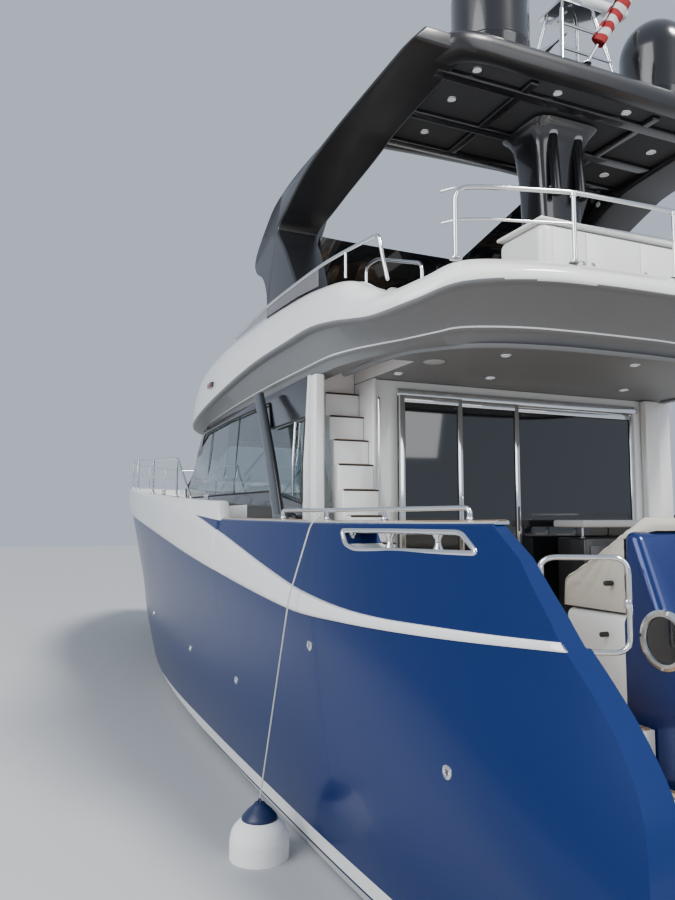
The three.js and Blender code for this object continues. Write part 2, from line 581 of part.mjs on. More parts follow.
// Rails.
const AFT_RAIL = [[-5670, 1600], [-5760, 1420], [-5925, 850], [-5965, 0]];
const aftLoop = (z) => mirrorHalf(AFT_RAIL).map(([x, y]) => [x, y, z]);
const flyRail = () => union([
  pipe(aftLoop(4440), 16),
  pipe(aftLoop(4225), 10),
  ...[[-5670, 1600], [-5925, 850], [-5965, 0]].flatMap(
    ([x, y]) => (y > 0 ? [1, -1] : [1]).map((side) => rod([x, side * y, 3967.5], [x, side * y, 4440], 16, 6)),
  ),
]);
const stairRail = () => pipe([
  [-4900, STAIR.inner - 45, FLY_DECK + GAP], [-4900, STAIR.inner - 45, 4210], [-4160, STAIR.inner - 45, 4480],
  [-3960, STAIR.inner - 45, 4480], [-3960, STAIR.inner - 45, FLY_DECK + GAP],
], 15);

const RAIL = { xs: [-600, 900, 2400, 3900, 5300, 6600, 7600], nose: 8300, high: 480, foot: 3, inset: 45 };
function bowRail(side) {
  const at = (x, up) => sheerPoint(x, side, up, RAIL.inset);
  const line = [...RAIL.xs.map((x) => at(x, RAIL.high)), at(RAIL.nose, RAIL.high)];
  return union([
    pipe([at(-1300, 20), ...line], 14),
    ...RAIL.xs.map((x) => rod(at(x, RAIL.foot), at(x, RAIL.high), 12, 6)),
    rod(at(-1300, RAIL.foot), at(-1300, 22), 14, 6),
  ]);
}
const bowRails = () => union([
  ...bothSides(bowRail),
  rod(sheerPoint(RAIL.nose, 1, RAIL.high, RAIL.inset), sheerPoint(RAIL.nose, -1, RAIL.high, RAIL.inset), 14, 6),
]);

function capRail(side) {
  const at = (x, up) => sheerPoint(x, side, up, 60);
  const posts = [-6280, -5600, -4900, -4100];
  return union([pipe(posts.map((x) => at(x, 95)), 14), ...posts.map((x) => rod(at(x, RAIL.foot), at(x, 100), 13, 6))]);
}

function mooringFrame(side) {
  const reach = side > 0 ? [0, 3000] : [-3000, 0];
  const frame = prismY(insetOutline(SLOT, 1), ...reach)
    .subtract(prismY(insetOutline(SLOT, 22), -4000, 4000))
    .intersect(outerForm(9));
  const posts = [-6050, -5650, -5250].map((x) => {
    const y = side * (station(x)[SHEER_Y] - 60);
    return rod([x, y, 2125], [x, y, 2232], 20, 10);
  });
  const inside = prismZ([...COCKPIT, [HOUSE_AFT, 0], [-7700, 0]].map(([x, y]) => [x, side * y]), 0, 4000);
  return frame.add(union(posts)).subtract(inside).intersect(prismY(insetOutline(SLOT, 1), -3000, 3000));
}

// Cockpit.
const transomBlock = () => prismY([
  [-6790, 2240], [-6700, 2240], [-6700, 1820], [-6255, 1820], [-6255, SOLE + 1], [-6603, SOLE + 1], [-6603, 502],
  [-7360, 502], [-7300, 900],
], -1300, 1300);
const sofaCover = () => loft([-1296, -1270, 1270, 1296].map((y) => {
  const drop = Math.abs(y) > 1280 ? 30 : 0;
  return [[-6696, 1824], [-6696, 2235 - drop], [-6560, 2262 - drop], [-6370, 2120 - drop], [-6275, 1950 - drop],
    [-6262, 1824]].map(([x, z]) => v3(x, y, z));
}));

function gate(side) {
  const at = (part, z) => [lerp(GATE.hinge[0], GATE.tip[0], part), side * lerp(GATE.hinge[1], GATE.tip[1], part), z];
  return pipe([
    at(0, GATE.low), at(0.87, GATE.low), at(1, GATE.low + 60), at(1, GATE.high - 60), at(0.87, GATE.high),
    at(0, GATE.high), at(0, GATE.low - 20),
  ], GATE.tube, 8);
}

// Swim platform with its brackets, and the arms that carry it.
function platform() {
  const outline = mirrorHalf([
    [PLATFORM.aft, 0], [PLATFORM.aft, 1500], [-8500, 1800], [-8300, PLATFORM.half], [PLATFORM.fore, PLATFORM.half],
  ]);
  const brackets = [1, -1].flatMap((side) => [-1, 1].map((hand) => {
    const y = side * ARM.y + hand * 52;
    return block(ARM.tip[0] - 45, ARM.tip[0] + 45, y - 12, y + 12, ARM.tip[1] - 45, PLATFORM.low + 5);
  }));
  const pins = bothSides((side) => rod(
    [ARM.tip[0], side * ARM.y - 60, ARM.tip[1]], [ARM.tip[0], side * ARM.y + 60, ARM.tip[1]], ARM.pin, 12,
  ));
  return union([prismZ(outline, PLATFORM.low, PLATFORM.high), ...brackets, ...pins]);
}

function liftArms() {
  const bar = (side) => {
    const [hx, hz] = ARM.hull;
    const [tx, tz] = ARM.tip;
    const y = side * ARM.y;
    return union([
      rod([hx, y, hz], [tx, y, tz], 28, 10), rod([hx, y - 34, hz], [hx, y + 34, hz], 42, 14),
      rod([tx, y - 34, tz], [tx, y + 34, tz], 42, 14),
    ]).subtract(rod([hx, y - 50, hz], [hx, y + 50, hz], ARM.pin + 2, 12))
      .subtract(rod([tx, y - 50, tz], [tx, y + 50, tz], ARM.pin + 2, 12));
  };
  const middle = [(ARM.hull[0] + ARM.tip[0]) / 2, (ARM.hull[1] + ARM.tip[1]) / 2];
  return union([...bothSides(bar), rod([middle[0], -ARM.y, middle[1]], [middle[0], ARM.y, middle[1]], 22, 10)]);
}

const armBrackets = () => bothSides((side) => union([
  ...[-1, 1].map((hand) => {
    const y = side * ARM.y + hand * 52;
    return block(-7850, -7640, y - 12, y + 12, ARM.hull[1] - 45, ARM.hull[1] + 45);
  }),
  block(-7650, -7560, side * ARM.y - 90, side * ARM.y + 90, ARM.hull[1] - 80, ARM.hull[1] + 80),
  rod([ARM.hull[0], side * ARM.y - 60, ARM.hull[1]], [ARM.hull[0], side * ARM.y + 60, ARM.hull[1]], ARM.pin, 12),
]));

// Pods and propellers.
function pod(side) {
  const y = side * POD.y;
  const leg = loft([[POD.well - 50, 330, 60], [POD.axis + 60, 240, 42]].map(([z, half, thick]) => [
    [half, 0], [half * 0.6, thick], [-half * 0.3, thick], [-half, 0], [-half * 0.3, -thick], [half * 0.6, -thick],
  ].map(([dx, dy]) => v3(POD.x + dx, y + dy, z))));
  const body = turned([[0, -560], [60, -540], [120, -380], [140, -100], [135, 200], [100, 395], [0, 400]],
    [POD.x, y, POD.axis], 18, true);
  return union([rod([POD.x, y, POD.well - 60], [POD.x, y, POD.well - 6], 285, 20), leg, body]);
}

function propeller(x, y, hand) {
  const hub = turned([[0, -58], [96, -58], [92, 58], [0, 58]], [x, y, POD.axis], 18, true);
  const blades = [0, 1, 2].map((n) => {
    const turn = (n * 2 * Math.PI) / 3;
    const section = ([r, chord, angle]) => {
      const pitch = hand * angle;
      return [[-1, 0], [0, 7], [1, 0], [0, -7]].map(([c, t]) => {
        const across = c * chord * Math.cos(pitch) - t * Math.sin(pitch);
        const along = c * chord * Math.sin(pitch) + t * Math.cos(pitch);
        return v3(x + along, y + r * Math.cos(turn) - across * Math.sin(turn),
          POD.axis + r * Math.sin(turn) + across * Math.cos(turn));
      });
    };
    return loft([[70, 60, 0.75], [150, 85, 0.6], [230, 85, 0.45], [275, 45, 0.38]].map(section));
  });
  return union([hub, ...blades]);
}
const propellerX = (n) => POD.x + POD.reach + n * 126;

// Bow gear.
const anchorGear = () => union([
  block(8150, 8780, -60, 60, 3010, 3050),
  rod([8740, -55, 2990], [8740, 55, 2990], 50, 14),
  rod([8450, 0, 3085], [8850, 0, 2940], 24, 8),
  loft([[8600, 40, 2880], [8860, 40, 2560]].map(([x, t, z]) => [[-t, -170], [t, -170], [t, 170], [-t, 170]]
    .map(([dx, y]) => v3(x + dx * 0.4, y, z + dx)))),
  rod([8840, 0, 2950], [8770, 0, 2680], 26, 8),
]).subtract(outerForm(3));
const lockerLid = () => loft([6750, 7480].map((x) => [[-300, 8], [300, 8], [290, 34], [-290, 34]]
  .map(([y, up]) => v3(x, y, deckHeight(x) + up))));
const bowSunpad = () => loft([[4050, 800, 2915], [4600, 800, 2910], [5750, 560, 2874]].map(([x, y, z]) => [
  [-y, 0], [-y, 70], [-y + 40, 100], [y - 40, 100], [y, 70], [y, 0],
].map(([py, up]) => v3(x, py, z + up))));

// Fender at the port side with its taut lanyard.
const FENDER = { x: -4480, y: 2487, radius: 205, top: 190, low: -670 };
const fenderBody = () => turned([
  [0, FENDER.low], [110, FENDER.low + 30], [FENDER.radius, FENDER.low + 190], [FENDER.radius, FENDER.top - 60],
  [175, FENDER.top + 40], [80, FENDER.top + 130], [30, FENDER.top + 170], [0, FENDER.top + 172],
], [FENDER.x, FENDER.y, 0], 18);
const lanyard = () => pipe([
  [FENDER.x, FENDER.y, FENDER.top + 160], [FENDER.x - 300, 2392, 1780], [FENDER.x - 370, 2262, 2275],
  [FENDER.x - 380, 2200, 2330],
], 6, 6);

// Furniture seen through the glass.
const galley = () => union([
  pad(-3950, -1500, -1800, -1200, SOLE + GAP, 2210, 20),
  pad(-2300, -1500, -1210, -500, SOLE + GAP, 2210, 20),
]);
const saloonSofa = () => union([
  pad(-2700, -200, 900, 1500, SOLE + GAP, 1750, 40),
  pad(-2700, -200, 1480, 1790, SOLE + GAP, 2150, 40),
]);
const lowerHelm = () => union([
  pad(700, 1900, -1250, 1250, SOLE + GAP, 2450, 60),
  pad(-300, 800, -950, -350, SOLE + GAP, 1700, 40),
  pad(-380, -260, -930, -370, SOLE + 300, 2500, 40),
]);

const group = new THREE.Group();
function part(name, shape, finish) {
  const mesh = shape.getMesh();
  const geometry = new THREE.BufferGeometry();
  geometry.setAttribute("position", new THREE.BufferAttribute(mesh.vertProperties, 3));
  geometry.setIndex(new THREE.BufferAttribute(mesh.triVerts, 1));
  const [color, roughness, metalness] = FINISHES[finish];
  const piece = new THREE.Mesh(geometry, new THREE.MeshStandardMaterial({ color, roughness, metalness }));
  piece.name = name;
  group.add(piece);
}

part("hull", hull(), "navy");
part("deck_moulding", deckMoulding(), "white");
part("rub_band_port", rubBand(1), "white");
part("rub_band_starboard", rubBand(-1), "white");
part("transom_block", transomBlock(), "navy");
part("sofa_cover", sofaCover(), "canvas");
part("house_walls", houseWalls(), "white");
part("side_glass_port", glassSkin().intersect(sideWindow(1, 6)), "glass");
part("side_glass_starboard", glassSkin().intersect(sideWindow(-1, 6)), "glass");
part("windscreen_glass", glassSkin().intersect(screenPane(6)), "glass");
part("side_strut_port", strut(1), "black");
part("side_strut_starboard", strut(-1), "black");
part("bulkhead", bulkhead(), "white");
part("aft_window", leaf(HOUSE_AFT + 12, DOOR.inner + 3, DOOR.split - 80, DOOR.low + 3, DOOR.high - 3), "glass");
part("saloon_door_inner", leaf(HOUSE_AFT - 46, DOOR.split - 90, DOOR.mid, DOOR.low, DOOR.high), "glass");
part("saloon_door_outer", leaf(HOUSE_AFT - 92, DOOR.mid - 40, DOOR.outer + 30, DOOR.low, DOOR.high), "glass");
part("stairs", stairs(), "white");
part("stair_enclosure", stairEnclosure(), "white");
part("galley_counter", galley(), "wood");
part("saloon_sofa", saloonSofa(), "cushion");
part("lower_helm", lowerHelm(), "dark");
part("flybridge_moulding", flyMoulding(), "white");
part("fly_dash", flyDash(), "white");
part("fly_screen", flyScreen(), "black");
part("side_screen_port", sideScreen(1), "smoke");
part("side_screen_starboard", sideScreen(-1), "smoke");
part("wet_bar", wetBar(), "white");
part("helm_console", helmConsole(), "black");
part("helm_seats", helmSeats(), "dark");
part("fly_sofa", flySofa(), "cushion");
part("fly_table", flyTable(), "teak");
part("hardtop", hardtop(), "black");
part("hardtop_pylon", pylon(), "black");
part("dome_port", dome(870), "black");
part("dome_starboard", dome(-870), "black");
part("radar_mast", radarMast(), "steel");
part("radar_scanner", radarScanner(), "white");
part("ensign", ensign(), "flag");
part("fly_rail", flyRail(), "steel");
part("stair_hatch", hatch(), "smoke");
part("stair_rail", stairRail(), "steel");
part("bow_rail", bowRails(), "steel");
part("cap_rail_port", capRail(1), "steel");
part("cap_rail_starboard", capRail(-1), "steel");
part("mooring_frame_port", mooringFrame(1), "steel");
part("mooring_frame_starboard", mooringFrame(-1), "steel");
part("gate_port", gate(1), "steel");
part("gate_starboard", gate(-1), "steel");
part("swim_platform", platform(), "teak");
part("platform_arms", liftArms(), "steel");
bothSides((side) => {
  const hand = side > 0 ? "port" : "starboard";
  part(`pod_${hand}`, pod(side), "bronze");
  part(`propeller_${hand}_aft`, propeller(propellerX(0), side * POD.y, 1), "bronze");
  part(`propeller_${hand}_fore`, propeller(propellerX(1), side * POD.y, -1), "bronze");
});
part("anchor", anchorGear(), "steel");
part("fender", union([fenderBody(), lanyard()]), "white");
part("bow_sunpad", bowSunpad(), "cushion");
part("anchor_locker_lid", lockerLid(), "white");

export default group;
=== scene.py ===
"""Motor yacht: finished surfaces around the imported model, in metres, X to the bow, Y to port, Z up."""
from __future__ import annotations

import logging
import math
from dataclasses import dataclass
from enum import Enum
from typing import Callable, Protocol, Sequence

import bmesh
import bpy
from mathutils import Matrix, Vector, noise
from mathutils.bvhtree import BVHTree


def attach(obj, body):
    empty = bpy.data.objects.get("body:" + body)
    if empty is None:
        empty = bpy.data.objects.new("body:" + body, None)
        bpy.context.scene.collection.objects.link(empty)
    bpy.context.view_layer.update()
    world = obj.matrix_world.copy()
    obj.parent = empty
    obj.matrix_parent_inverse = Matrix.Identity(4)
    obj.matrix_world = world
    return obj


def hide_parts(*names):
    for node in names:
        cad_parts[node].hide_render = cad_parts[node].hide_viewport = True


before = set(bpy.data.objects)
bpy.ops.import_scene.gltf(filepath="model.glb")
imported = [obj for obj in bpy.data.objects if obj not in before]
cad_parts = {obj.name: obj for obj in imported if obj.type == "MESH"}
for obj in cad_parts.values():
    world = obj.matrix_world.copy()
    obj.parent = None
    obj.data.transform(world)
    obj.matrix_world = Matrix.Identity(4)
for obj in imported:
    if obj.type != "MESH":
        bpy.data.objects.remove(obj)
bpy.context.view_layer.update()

LOG = logging.getLogger("yacht")
Point = Sequence[float]
Rgb = tuple[float, float, float]
Object = bpy.types.Object
Socket = bpy.types.NodeSocket
Pair = tuple[float, float]
Triple = tuple[float, float, float]

BOAT = "boat"
SIDES = ((1, "port"), (-1, "starboard"))
WATERLINE = 0.0
SOLE = 1.30
HOUSE_AFT = -4.12
SOFFIT = 3.47
FLY_DECK = 3.60
ON_SOLE = 1.302
ON_FLY = 3.601
CEILING = 3.4695
DECK_STEP = 0.15
ROOF_TOP = 5.763
BULWARK = 0.10
MERGED = 1e-5

# Teak planks: their width, and the caulking between them.
PLANK, CAULK = 0.05, (0.02, 0.02, 0.02)

# Passage steps beside the transom block: first tread's height, rise, aft edge and run.
STEP_LOW, STEP_RISE, STEP_AFT, STEP_RUN = 0.56, 0.247, -7.28, 0.20

# Steering pods: their axis, and the top of their wells.
POD_X, POD_Y, POD_TOP = -5.45, 0.85, -0.63

# Platform arms: how far from the centreline, then x and z of their hull pin and platform pin.
ARM_Y, ARM_FOOT, ARM_HEAD = 0.9, (-7.81, -0.33), (-8.30, 0.23)

# Hull sections: x, keel z, then y and z of the chine, the knee, the joint and the sheer.
STATIONS = (
    (-7.60, -0.60, 1.95, 0.02, 2.06, 0.75, 1.76, 1.76, 1.62, 2.29),
    (-7.00, -0.64, 2.02, 0.02, 2.15, 0.95, 1.95, 1.735, 1.80, 2.28),
    (-6.30, -0.69, 2.08, 0.02, 2.215, 1.22, 2.13, 1.71, 1.99, 2.27),
    (-5.40, -0.74, 2.12, 0.03, 2.265, 1.36, 2.265, 1.69, 2.18, 2.27),
    (-4.50, -0.78, 2.14, 0.04, 2.28, 1.27, 2.30, 1.69, 2.24, 2.275),
    (-2.00, -0.86, 2.15, 0.08, 2.27, 1.20, 2.33, 1.90, 2.30, 2.33),
    (0.50, -0.90, 2.10, 0.16, 2.24, 1.30, 2.33, 2.17, 2.335, 2.57),
    (2.50, -0.88, 1.93, 0.32, 2.11, 1.40, 2.26, 2.36, 2.285, 2.77),
    (4.50, -0.74, 1.50, 0.58, 1.74, 1.50, 1.98, 2.44, 2.03, 2.86),
    (6.00, -0.40, 1.02, 0.88, 1.27, 1.64, 1.56, 2.48, 1.62, 2.92),
    (7.20, 0.25, 0.55, 1.24, 0.76, 1.85, 1.02, 2.52, 1.09, 2.96),
    (8.00, 1.00, 0.22, 1.62, 0.35, 2.06, 0.52, 2.56, 0.58, 2.98),
    (8.45, 1.75, 0.07, 2.02, 0.115, 2.30, 0.18, 2.60, 0.22, 3.00),
    (8.60, 2.20, 0.03, 2.35, 0.04, 2.50, 0.055, 2.62, 0.065, 3.00),
)
KEEL, CHINE_Y, CHINE_Z, KNEE_Y, KNEE_Z, JOINT_Y, JOINT_Z, SHEER_Y, SHEER_Z = range(1, 10)

# Step up of the bulwark: where it starts, is full, has blended in, and its height.
RISE_AFT, RISE_FULL, RISE_FORE, RISE_HEIGHT = -2.62, -2.54, 2.50, 0.165

# Rub band: x and its height over the joint.
BAND = (
    (-7.20, 0.042), (-5.94, 0.050), (-5.40, 0.078), (-4.83, 0.130), (-3.79, 0.215), (-2.0, 0.365), (-1.2, 0.39),
    (0.8, 0.40), (4.5, 0.405), (8.25, 0.40),
)

# Flybridge outline, half of it: x, y, underside of the lip, top of the coaming.
FLY = (
    (-6.10, 0.0, 3.770, 3.965), (-6.06, 0.7, 3.775, 3.965), (-5.98, 1.2, 3.775, 3.965), (-5.81, 1.64, 3.745, 3.955),
    (-5.60, 1.87, 3.660, 3.870), (-5.30, 2.01, 3.620, 3.835), (-5.05, 2.06, 3.650, 3.930), (-4.80, 2.09, 3.690, 4.035),
    (-4.40, 2.105, 3.735, 4.100), (-3.90, 2.11, 3.735, 4.145), (-2.90, 2.11, 3.720, 4.180), (-1.60, 2.10, 3.620, 4.165),
    (-0.50, 2.04, 3.530, 4.100), (0.30, 1.89, 3.500, 4.040), (0.85, 1.64, 3.490, 4.000), (1.25, 1.26, 3.485, 3.975),
    (1.50, 0.72, 3.480, 3.960), (1.60, 0.0, 3.480, 3.950),
)


def lerp(a: float, b: float, t: float) -> float:
    """Value between a and b at t."""
    return a + (b - a) * t


def clamp(value: float, low: float = 0.0, high: float = 1.0) -> float:
    """Value kept between low and high."""
    return max(low, min(high, value))


def sample(table: Sequence[Point], x: float) -> list[float]:
    """Every column of a table at x, on a smooth curve through its rows.

    Args:
        table: rows that start with x, in rising order.
        x: place along the table.

    Returns:
        The row at x.
    """
    last = len(table) - 2
    k = next((i for i in range(last + 1) if table[i + 1][0] > x), last)
    a, b = table[k], table[k + 1]
    span = b[0] - a[0]
    t = clamp((x - a[0]) / span)

    def slope(j: int, column: int) -> float:
        """Slope of a column at row j."""
        p, q = table[max(j - 1, 0)], table[min(j + 1, last + 1)]
        return (q[column] - p[column]) / (q[0] - p[0])

    row = [x]
    for column in range(1, len(a)):
        ma, mb = slope(k, column) * span, slope(k + 1, column) * span
        row.append((2 * t**3 - 3 * t**2 + 1) * a[column] + (t**3 - 2 * t**2 + t) * ma + (3 * t**2 - 2 * t**3)
                   * b[column] + (t**3 - t**2) * mb)
    return row


def smoothstep(value: float, low: float, high: float) -> float:
    """0 below low, 1 above high, and an S between."""
    t = clamp((value - low) / (high - low))
    return t * t * (3 - 2 * t)


def station(x: float) -> list[float]:
    """Hull section at x with the bulwark's step up in its sheer.

    Args:
        x: place along the hull.

    Returns:
        The row of numbers.
    """
    row = sample(STATIONS, x)
    row[SHEER_Z] += RISE_HEIGHT * smoothstep(x, RISE_AFT, RISE_FULL) * (1 - smoothstep(x, RISE_FULL, RISE_FORE))
    return row


def spline(points: Sequence[Point], steps: int) -> list[Vector]:
    """Smooth line through points.

    Args:
        points: points of any dimension.
        steps: pieces between two points.

    Returns:
        Points on the line, ends included.
    """
    pts = [Vector(p) for p in points]
    last = len(pts) - 1
    line = []
    for i in range(last):
        p0, p1, p2, p3 = pts[max(i - 1, 0)], pts[i], pts[i + 1], pts[min(i + 2, last)]
        for n in range(steps):
            t = n / steps
            line.append(0.5 * (2 * p1 + (p2 - p0) * t + (2 * p0 - 5 * p1 + 4 * p2 - p3) * t**2
                               + (3 * p1 - p0 - 3 * p2 + p3) * t**3))
    return [*line, pts[-1]]


def fillet(points: Sequence[Point], radius: float, steps: int = 6) -> list[Vector]:
    """Open line with rounded corners.

    Args:
        points: corners of the line.
        radius: distance along each run at which the bend starts.
        steps: pieces in each bend.

    Returns:
        Points on the rounded line.
    """
    pts = [Vector(p) for p in points]
    line = [pts[0]]
    for a, b, c in zip(pts, pts[1:], pts[2:]):
        before = (a - b).normalized() * min(radius, (a - b).length * 0.45)
        after = (c - b).normalized() * min(radius, (c - b).length * 0.45)
        for n in range(steps + 1):
            t = n / steps
            line.append((b + before) * (1 - t) ** 2 + b * 2 * t * (1 - t) + (b + after) * t**2)
    line.append(pts[-1])
    return line


def ring_line(points: Sequence[Point], radius: float, steps: int = 5) -> list[Vector]:
    """Closed line through corners with every corner rounded."""
    middle = [lerp(a, b, 0.5) for a, b in zip(points[0], points[-1])]
    return fillet([middle, *points, middle], radius, steps)[:-1]


def mesh_object(name: str, vertices: Sequence[Point], faces: Sequence[Sequence[int]], angle: float = 32) -> Object:
    """Object from vertices and faces, merged, faces out, smooth below an angle.

    Args:
        name: piece name.
        vertices: points.
        faces: indices of each face.
        angle: edges sharper than this many degrees stay sharp.

    Returns:
        The new object.
    """
    mesh = bpy.data.meshes.new(name)
    mesh.from_pydata([tuple(v) for v in vertices], [], [tuple(f) for f in faces])
    return tidy(link(name, mesh), angle)


def link(name: str, mesh: bpy.types.Mesh) -> Object:
    """New object for a mesh, in the scene.

    Args:
        name: piece name.
        mesh: the mesh.

    Returns:
        The object.
    """
    piece = bpy.data.objects.new(name, mesh)
    bpy.context.scene.collection.objects.link(piece)
    return piece


def tidy(piece: Object, angle: float = 32) -> Object:
    """Merges doubles, turns faces out and smooths a mesh.

    Args:
        piece: object to tidy.
        angle: edges sharper than this many degrees stay sharp.

    Returns:
        The same object.
    """
    shape = bmesh.new()
    shape.from_mesh(piece.data)
    bmesh.ops.remove_doubles(shape, verts=shape.verts, dist=MERGED)
    bmesh.ops.dissolve_degenerate(shape, edges=shape.edges, dist=MERGED)
    bmesh.ops.recalc_face_normals(shape, faces=shape.faces)
    shape.to_mesh(piece.data)
    shape.free()
    return smooth(piece, angle)


def smooth(piece: Object, angle: float = 32) -> Object:
    """Smooth shading with sharp edges above an angle in degrees.

    Args:
        piece: what is shaded.
        angle: edges sharper than this many degrees stay sharp.

    Returns:
        The same object.
    """
    piece.data.polygons.foreach_set("use_smooth", [True] * len(piece.data.polygons))
    piece.data.set_sharp_from_angle(angle=math.radians(angle))
    return piece


def loft(name: str, rings: Sequence[Sequence[Point]], closed: bool = False, caps: bool = True,
         angle: float = 32) -> Object:
    """Skin through rings of equal count.

    Args:
        name: piece name.
        rings: closed rings of points.
        closed: whether the last ring joins the first.
        caps: whether the end rings are filled.
        angle: sharp angle.

    Returns:
        The new object.
    """
    count = len(rings[0])
    vertices = [p for ring in rings for p in ring]
    faces: list[list[int]] = []
    spans = len(rings) if closed else len(rings) - 1
    for r in range(spans):
        s = (r + 1) % len(rings)
        for i in range(count):
            j = (i + 1) % count
            faces.append([r * count + i, r * count + j, s * count + j, s * count + i])
    if caps and not closed:
        faces.append(list(range(count))[::-1])
        faces.append([(len(rings) - 1) * count + i for i in range(count)])
    return mesh_object(name, vertices, faces, angle)


def prism(name: str, outline: Sequence[Point], axis: str, low: float, high: float) -> Object:
    """Solid from a flat outline, pushed along an axis.

    Args:
        name: piece name.
        outline: pairs in the two other axes, in x, y, z order.
        axis: X, Y or Z.
        low: start along the axis.
        high: end along the axis.

    Returns:
        The new object.
    """
    def at(pair: Point, level: float) -> Triple:
        """Point of the outline at a level."""
        a, b = pair
        return {"X": (level, a, b), "Y": (a, level, b), "Z": (a, b, level)}[axis]

    return loft(name, [[at(pair, level) for pair in outline] for level in (low, high)])


def block(name: str, low: Point, high: Point) -> Object:
    """Plain box between two corners, for cutting or to be bevelled."""
    return prism(name, [(low[0], low[1]), (high[0], low[1]), (high[0], high[1]), (low[0], high[1])], "Z", low[2],
                 high[2])


def sweep(name: str, path: Sequence[Point], radius: float | Sequence[float], sides: int = 14,
          closed: bool = False) -> Object:
    """Round tube along a path.

    Args:
        name: piece name.
        path: points of its centreline.
        radius: one radius, or one for each point.
        sides: faces around it.
        closed: whether the path is a loop.

    Returns:
        The new object.
    """
    pts = [Vector(p) for p in path]
    radii = [radius] * len(pts) if isinstance(radius, (int, float)) else list(radius)
    tangents = []
    for i, _ in enumerate(pts):
        a = pts[i - 1] if closed or i else pts[0]
        b = pts[(i + 1) % len(pts)] if closed or i + 1 < len(pts) else pts[-1]
        tangents.append((b - a).normalized())
    side = tangents[0].orthogonal().normalized()
    rings = []
    for point, tangent, r in zip(pts, tangents, radii):
        side = (side - tangent * side.dot(tangent)).normalized()
        up = tangent.cross(side)
        rings.append([point + (side * math.cos(a) + up * math.sin(a)) * r for a in angles(sides)])
    return loft(name, rings, closed=closed, angle=50)


def lathe(name: str, profile: Sequence[Point], centre: Point, axis: str = "Z", sides: int = 48,
          angle: float = 32) -> Object:
    """Turned piece.

    Args:
        name: piece name.
        profile: radius and height pairs that start and end on the axis.
        centre: where height 0 lies.
        axis: X, Y or Z.
        sides: faces around it.
        angle: sharp angle.

    Returns:
        The new object.
    """
    def at(r: float, h: float, turn: float) -> Vector:
        """Point of the profile at a turn.

        Args:
            r: radius.
            h: height over the centre.
            turn: angle.

        Returns:
            The point.
        """
        a, b = r * math.cos(turn), r * math.sin(turn)
        local = {"X": (h, a, b), "Y": (a, h, b), "Z": (a, b, h)}[axis]
        return Vector(centre) + Vector(local)

    rings = [[at(r, h, a) for a in angles(sides)] for r, h in profile]
    return loft(name, rings, caps=False, angle=angle)


def angles(count: int) -> list[float]:
    """Even angles of a full turn."""
    return [2 * math.pi * n / count for n in range(count)]


def soft_box(count: int, power: Pair) -> list[Pair]:
    """Unit ring between a circle and a square.

    Args:
        count: how many points.
        power: 1 for a circle and less for a squarer ring, in each direction.

    Returns:
        Pairs between -1 and 1.
    """
    return [tuple(math.copysign(abs(v) ** p, v) for v, p in zip((math.cos(a), math.sin(a)), power))
            for a in angles(count)]


def split_at(piece: Object, point: Point, normal: Point) -> Object:
    """Cuts a piece's faces along a plane, both halves kept.

    Args:
        piece: what is divided.
        point: a point of the plane.
        normal: the way it faces.

    Returns:
        The same object.
    """
    shape = bmesh.new()
    shape.from_mesh(piece.data)
    bmesh.ops.bisect_plane(shape, geom=[*shape.verts, *shape.edges, *shape.faces], plane_co=point, plane_no=normal)
    shape.to_mesh(piece.data)
    shape.free()
    return piece


def evaluated(piece: Object) -> Object:
    """Applies every modifier of a piece and returns it.

    Args:
        piece: the object with its modifiers.

    Returns:
        The same object.
    """
    bpy.context.view_layer.update()
    graph = bpy.context.evaluated_depsgraph_get()
    mesh = bpy.data.meshes.new_from_object(piece.evaluated_get(graph))
    piece.modifiers.clear()
    piece.data = mesh
    return piece


def cut(piece: Object, *cutters: Object) -> Object:
    """Cuts a piece with others, which are removed.

    Args:
        piece: what is cut.
        cutters: closed meshes.

    Returns:
        The piece.
    """
    for cutter in cutters:
        modifier = piece.modifiers.new("cut", "BOOLEAN")
        modifier.object = cutter
        modifier.operation = "DIFFERENCE"
        modifier.solver = "EXACT"
    evaluated(piece)
    for cutter in cutters:
        bpy.data.objects.remove(cutter)
    return piece


def bevelled(piece: Object, width: float, segments: int = 3, angle: float = 30) -> Object:
    """Eases the edges of a piece sharper than an angle.

    Args:
        piece: what is eased.
        width: width of the eased edge.
        segments: steps across it.
        angle: smallest angle that is eased, in degrees.

    Returns:
        The piece.
    """
    modifier = piece.modifiers.new("ease", "BEVEL")
    modifier.width = width
    modifier.segments = segments
    modifier.limit_method = "ANGLE"
    modifier.angle_limit = math.radians(angle)
    modifier.harden_normals = False
    evaluated(piece)
    return smooth(piece, 40)


def joined(name: str, pieces: Sequence[Object]) -> Object:
    """One object from several, which are removed; materials are kept.

    Args:
        name: piece name.
        pieces: objects with meshes.

    Returns:
        The new object.
    """
    shape = bmesh.new()
    materials: list[bpy.types.Material] = []
    for piece in pieces:
        start = len(shape.faces)
        shape.from_mesh(piece.data)
        shape.faces.ensure_lookup_table()
        slots = []
        for material in piece.data.materials:
            if material not in materials:
                materials.append(material)
            slots.append(materials.index(material))
        for face in shape.faces[start:]:
            face.material_index = slots[face.material_index] if slots else 0
    mesh = bpy.data.meshes.new(name)
    shape.to_mesh(mesh)
    shape.free()
    for material in materials:
        mesh.materials.append(material)
    for piece in pieces:
        bpy.data.objects.remove(piece)
    return link(name, mesh)


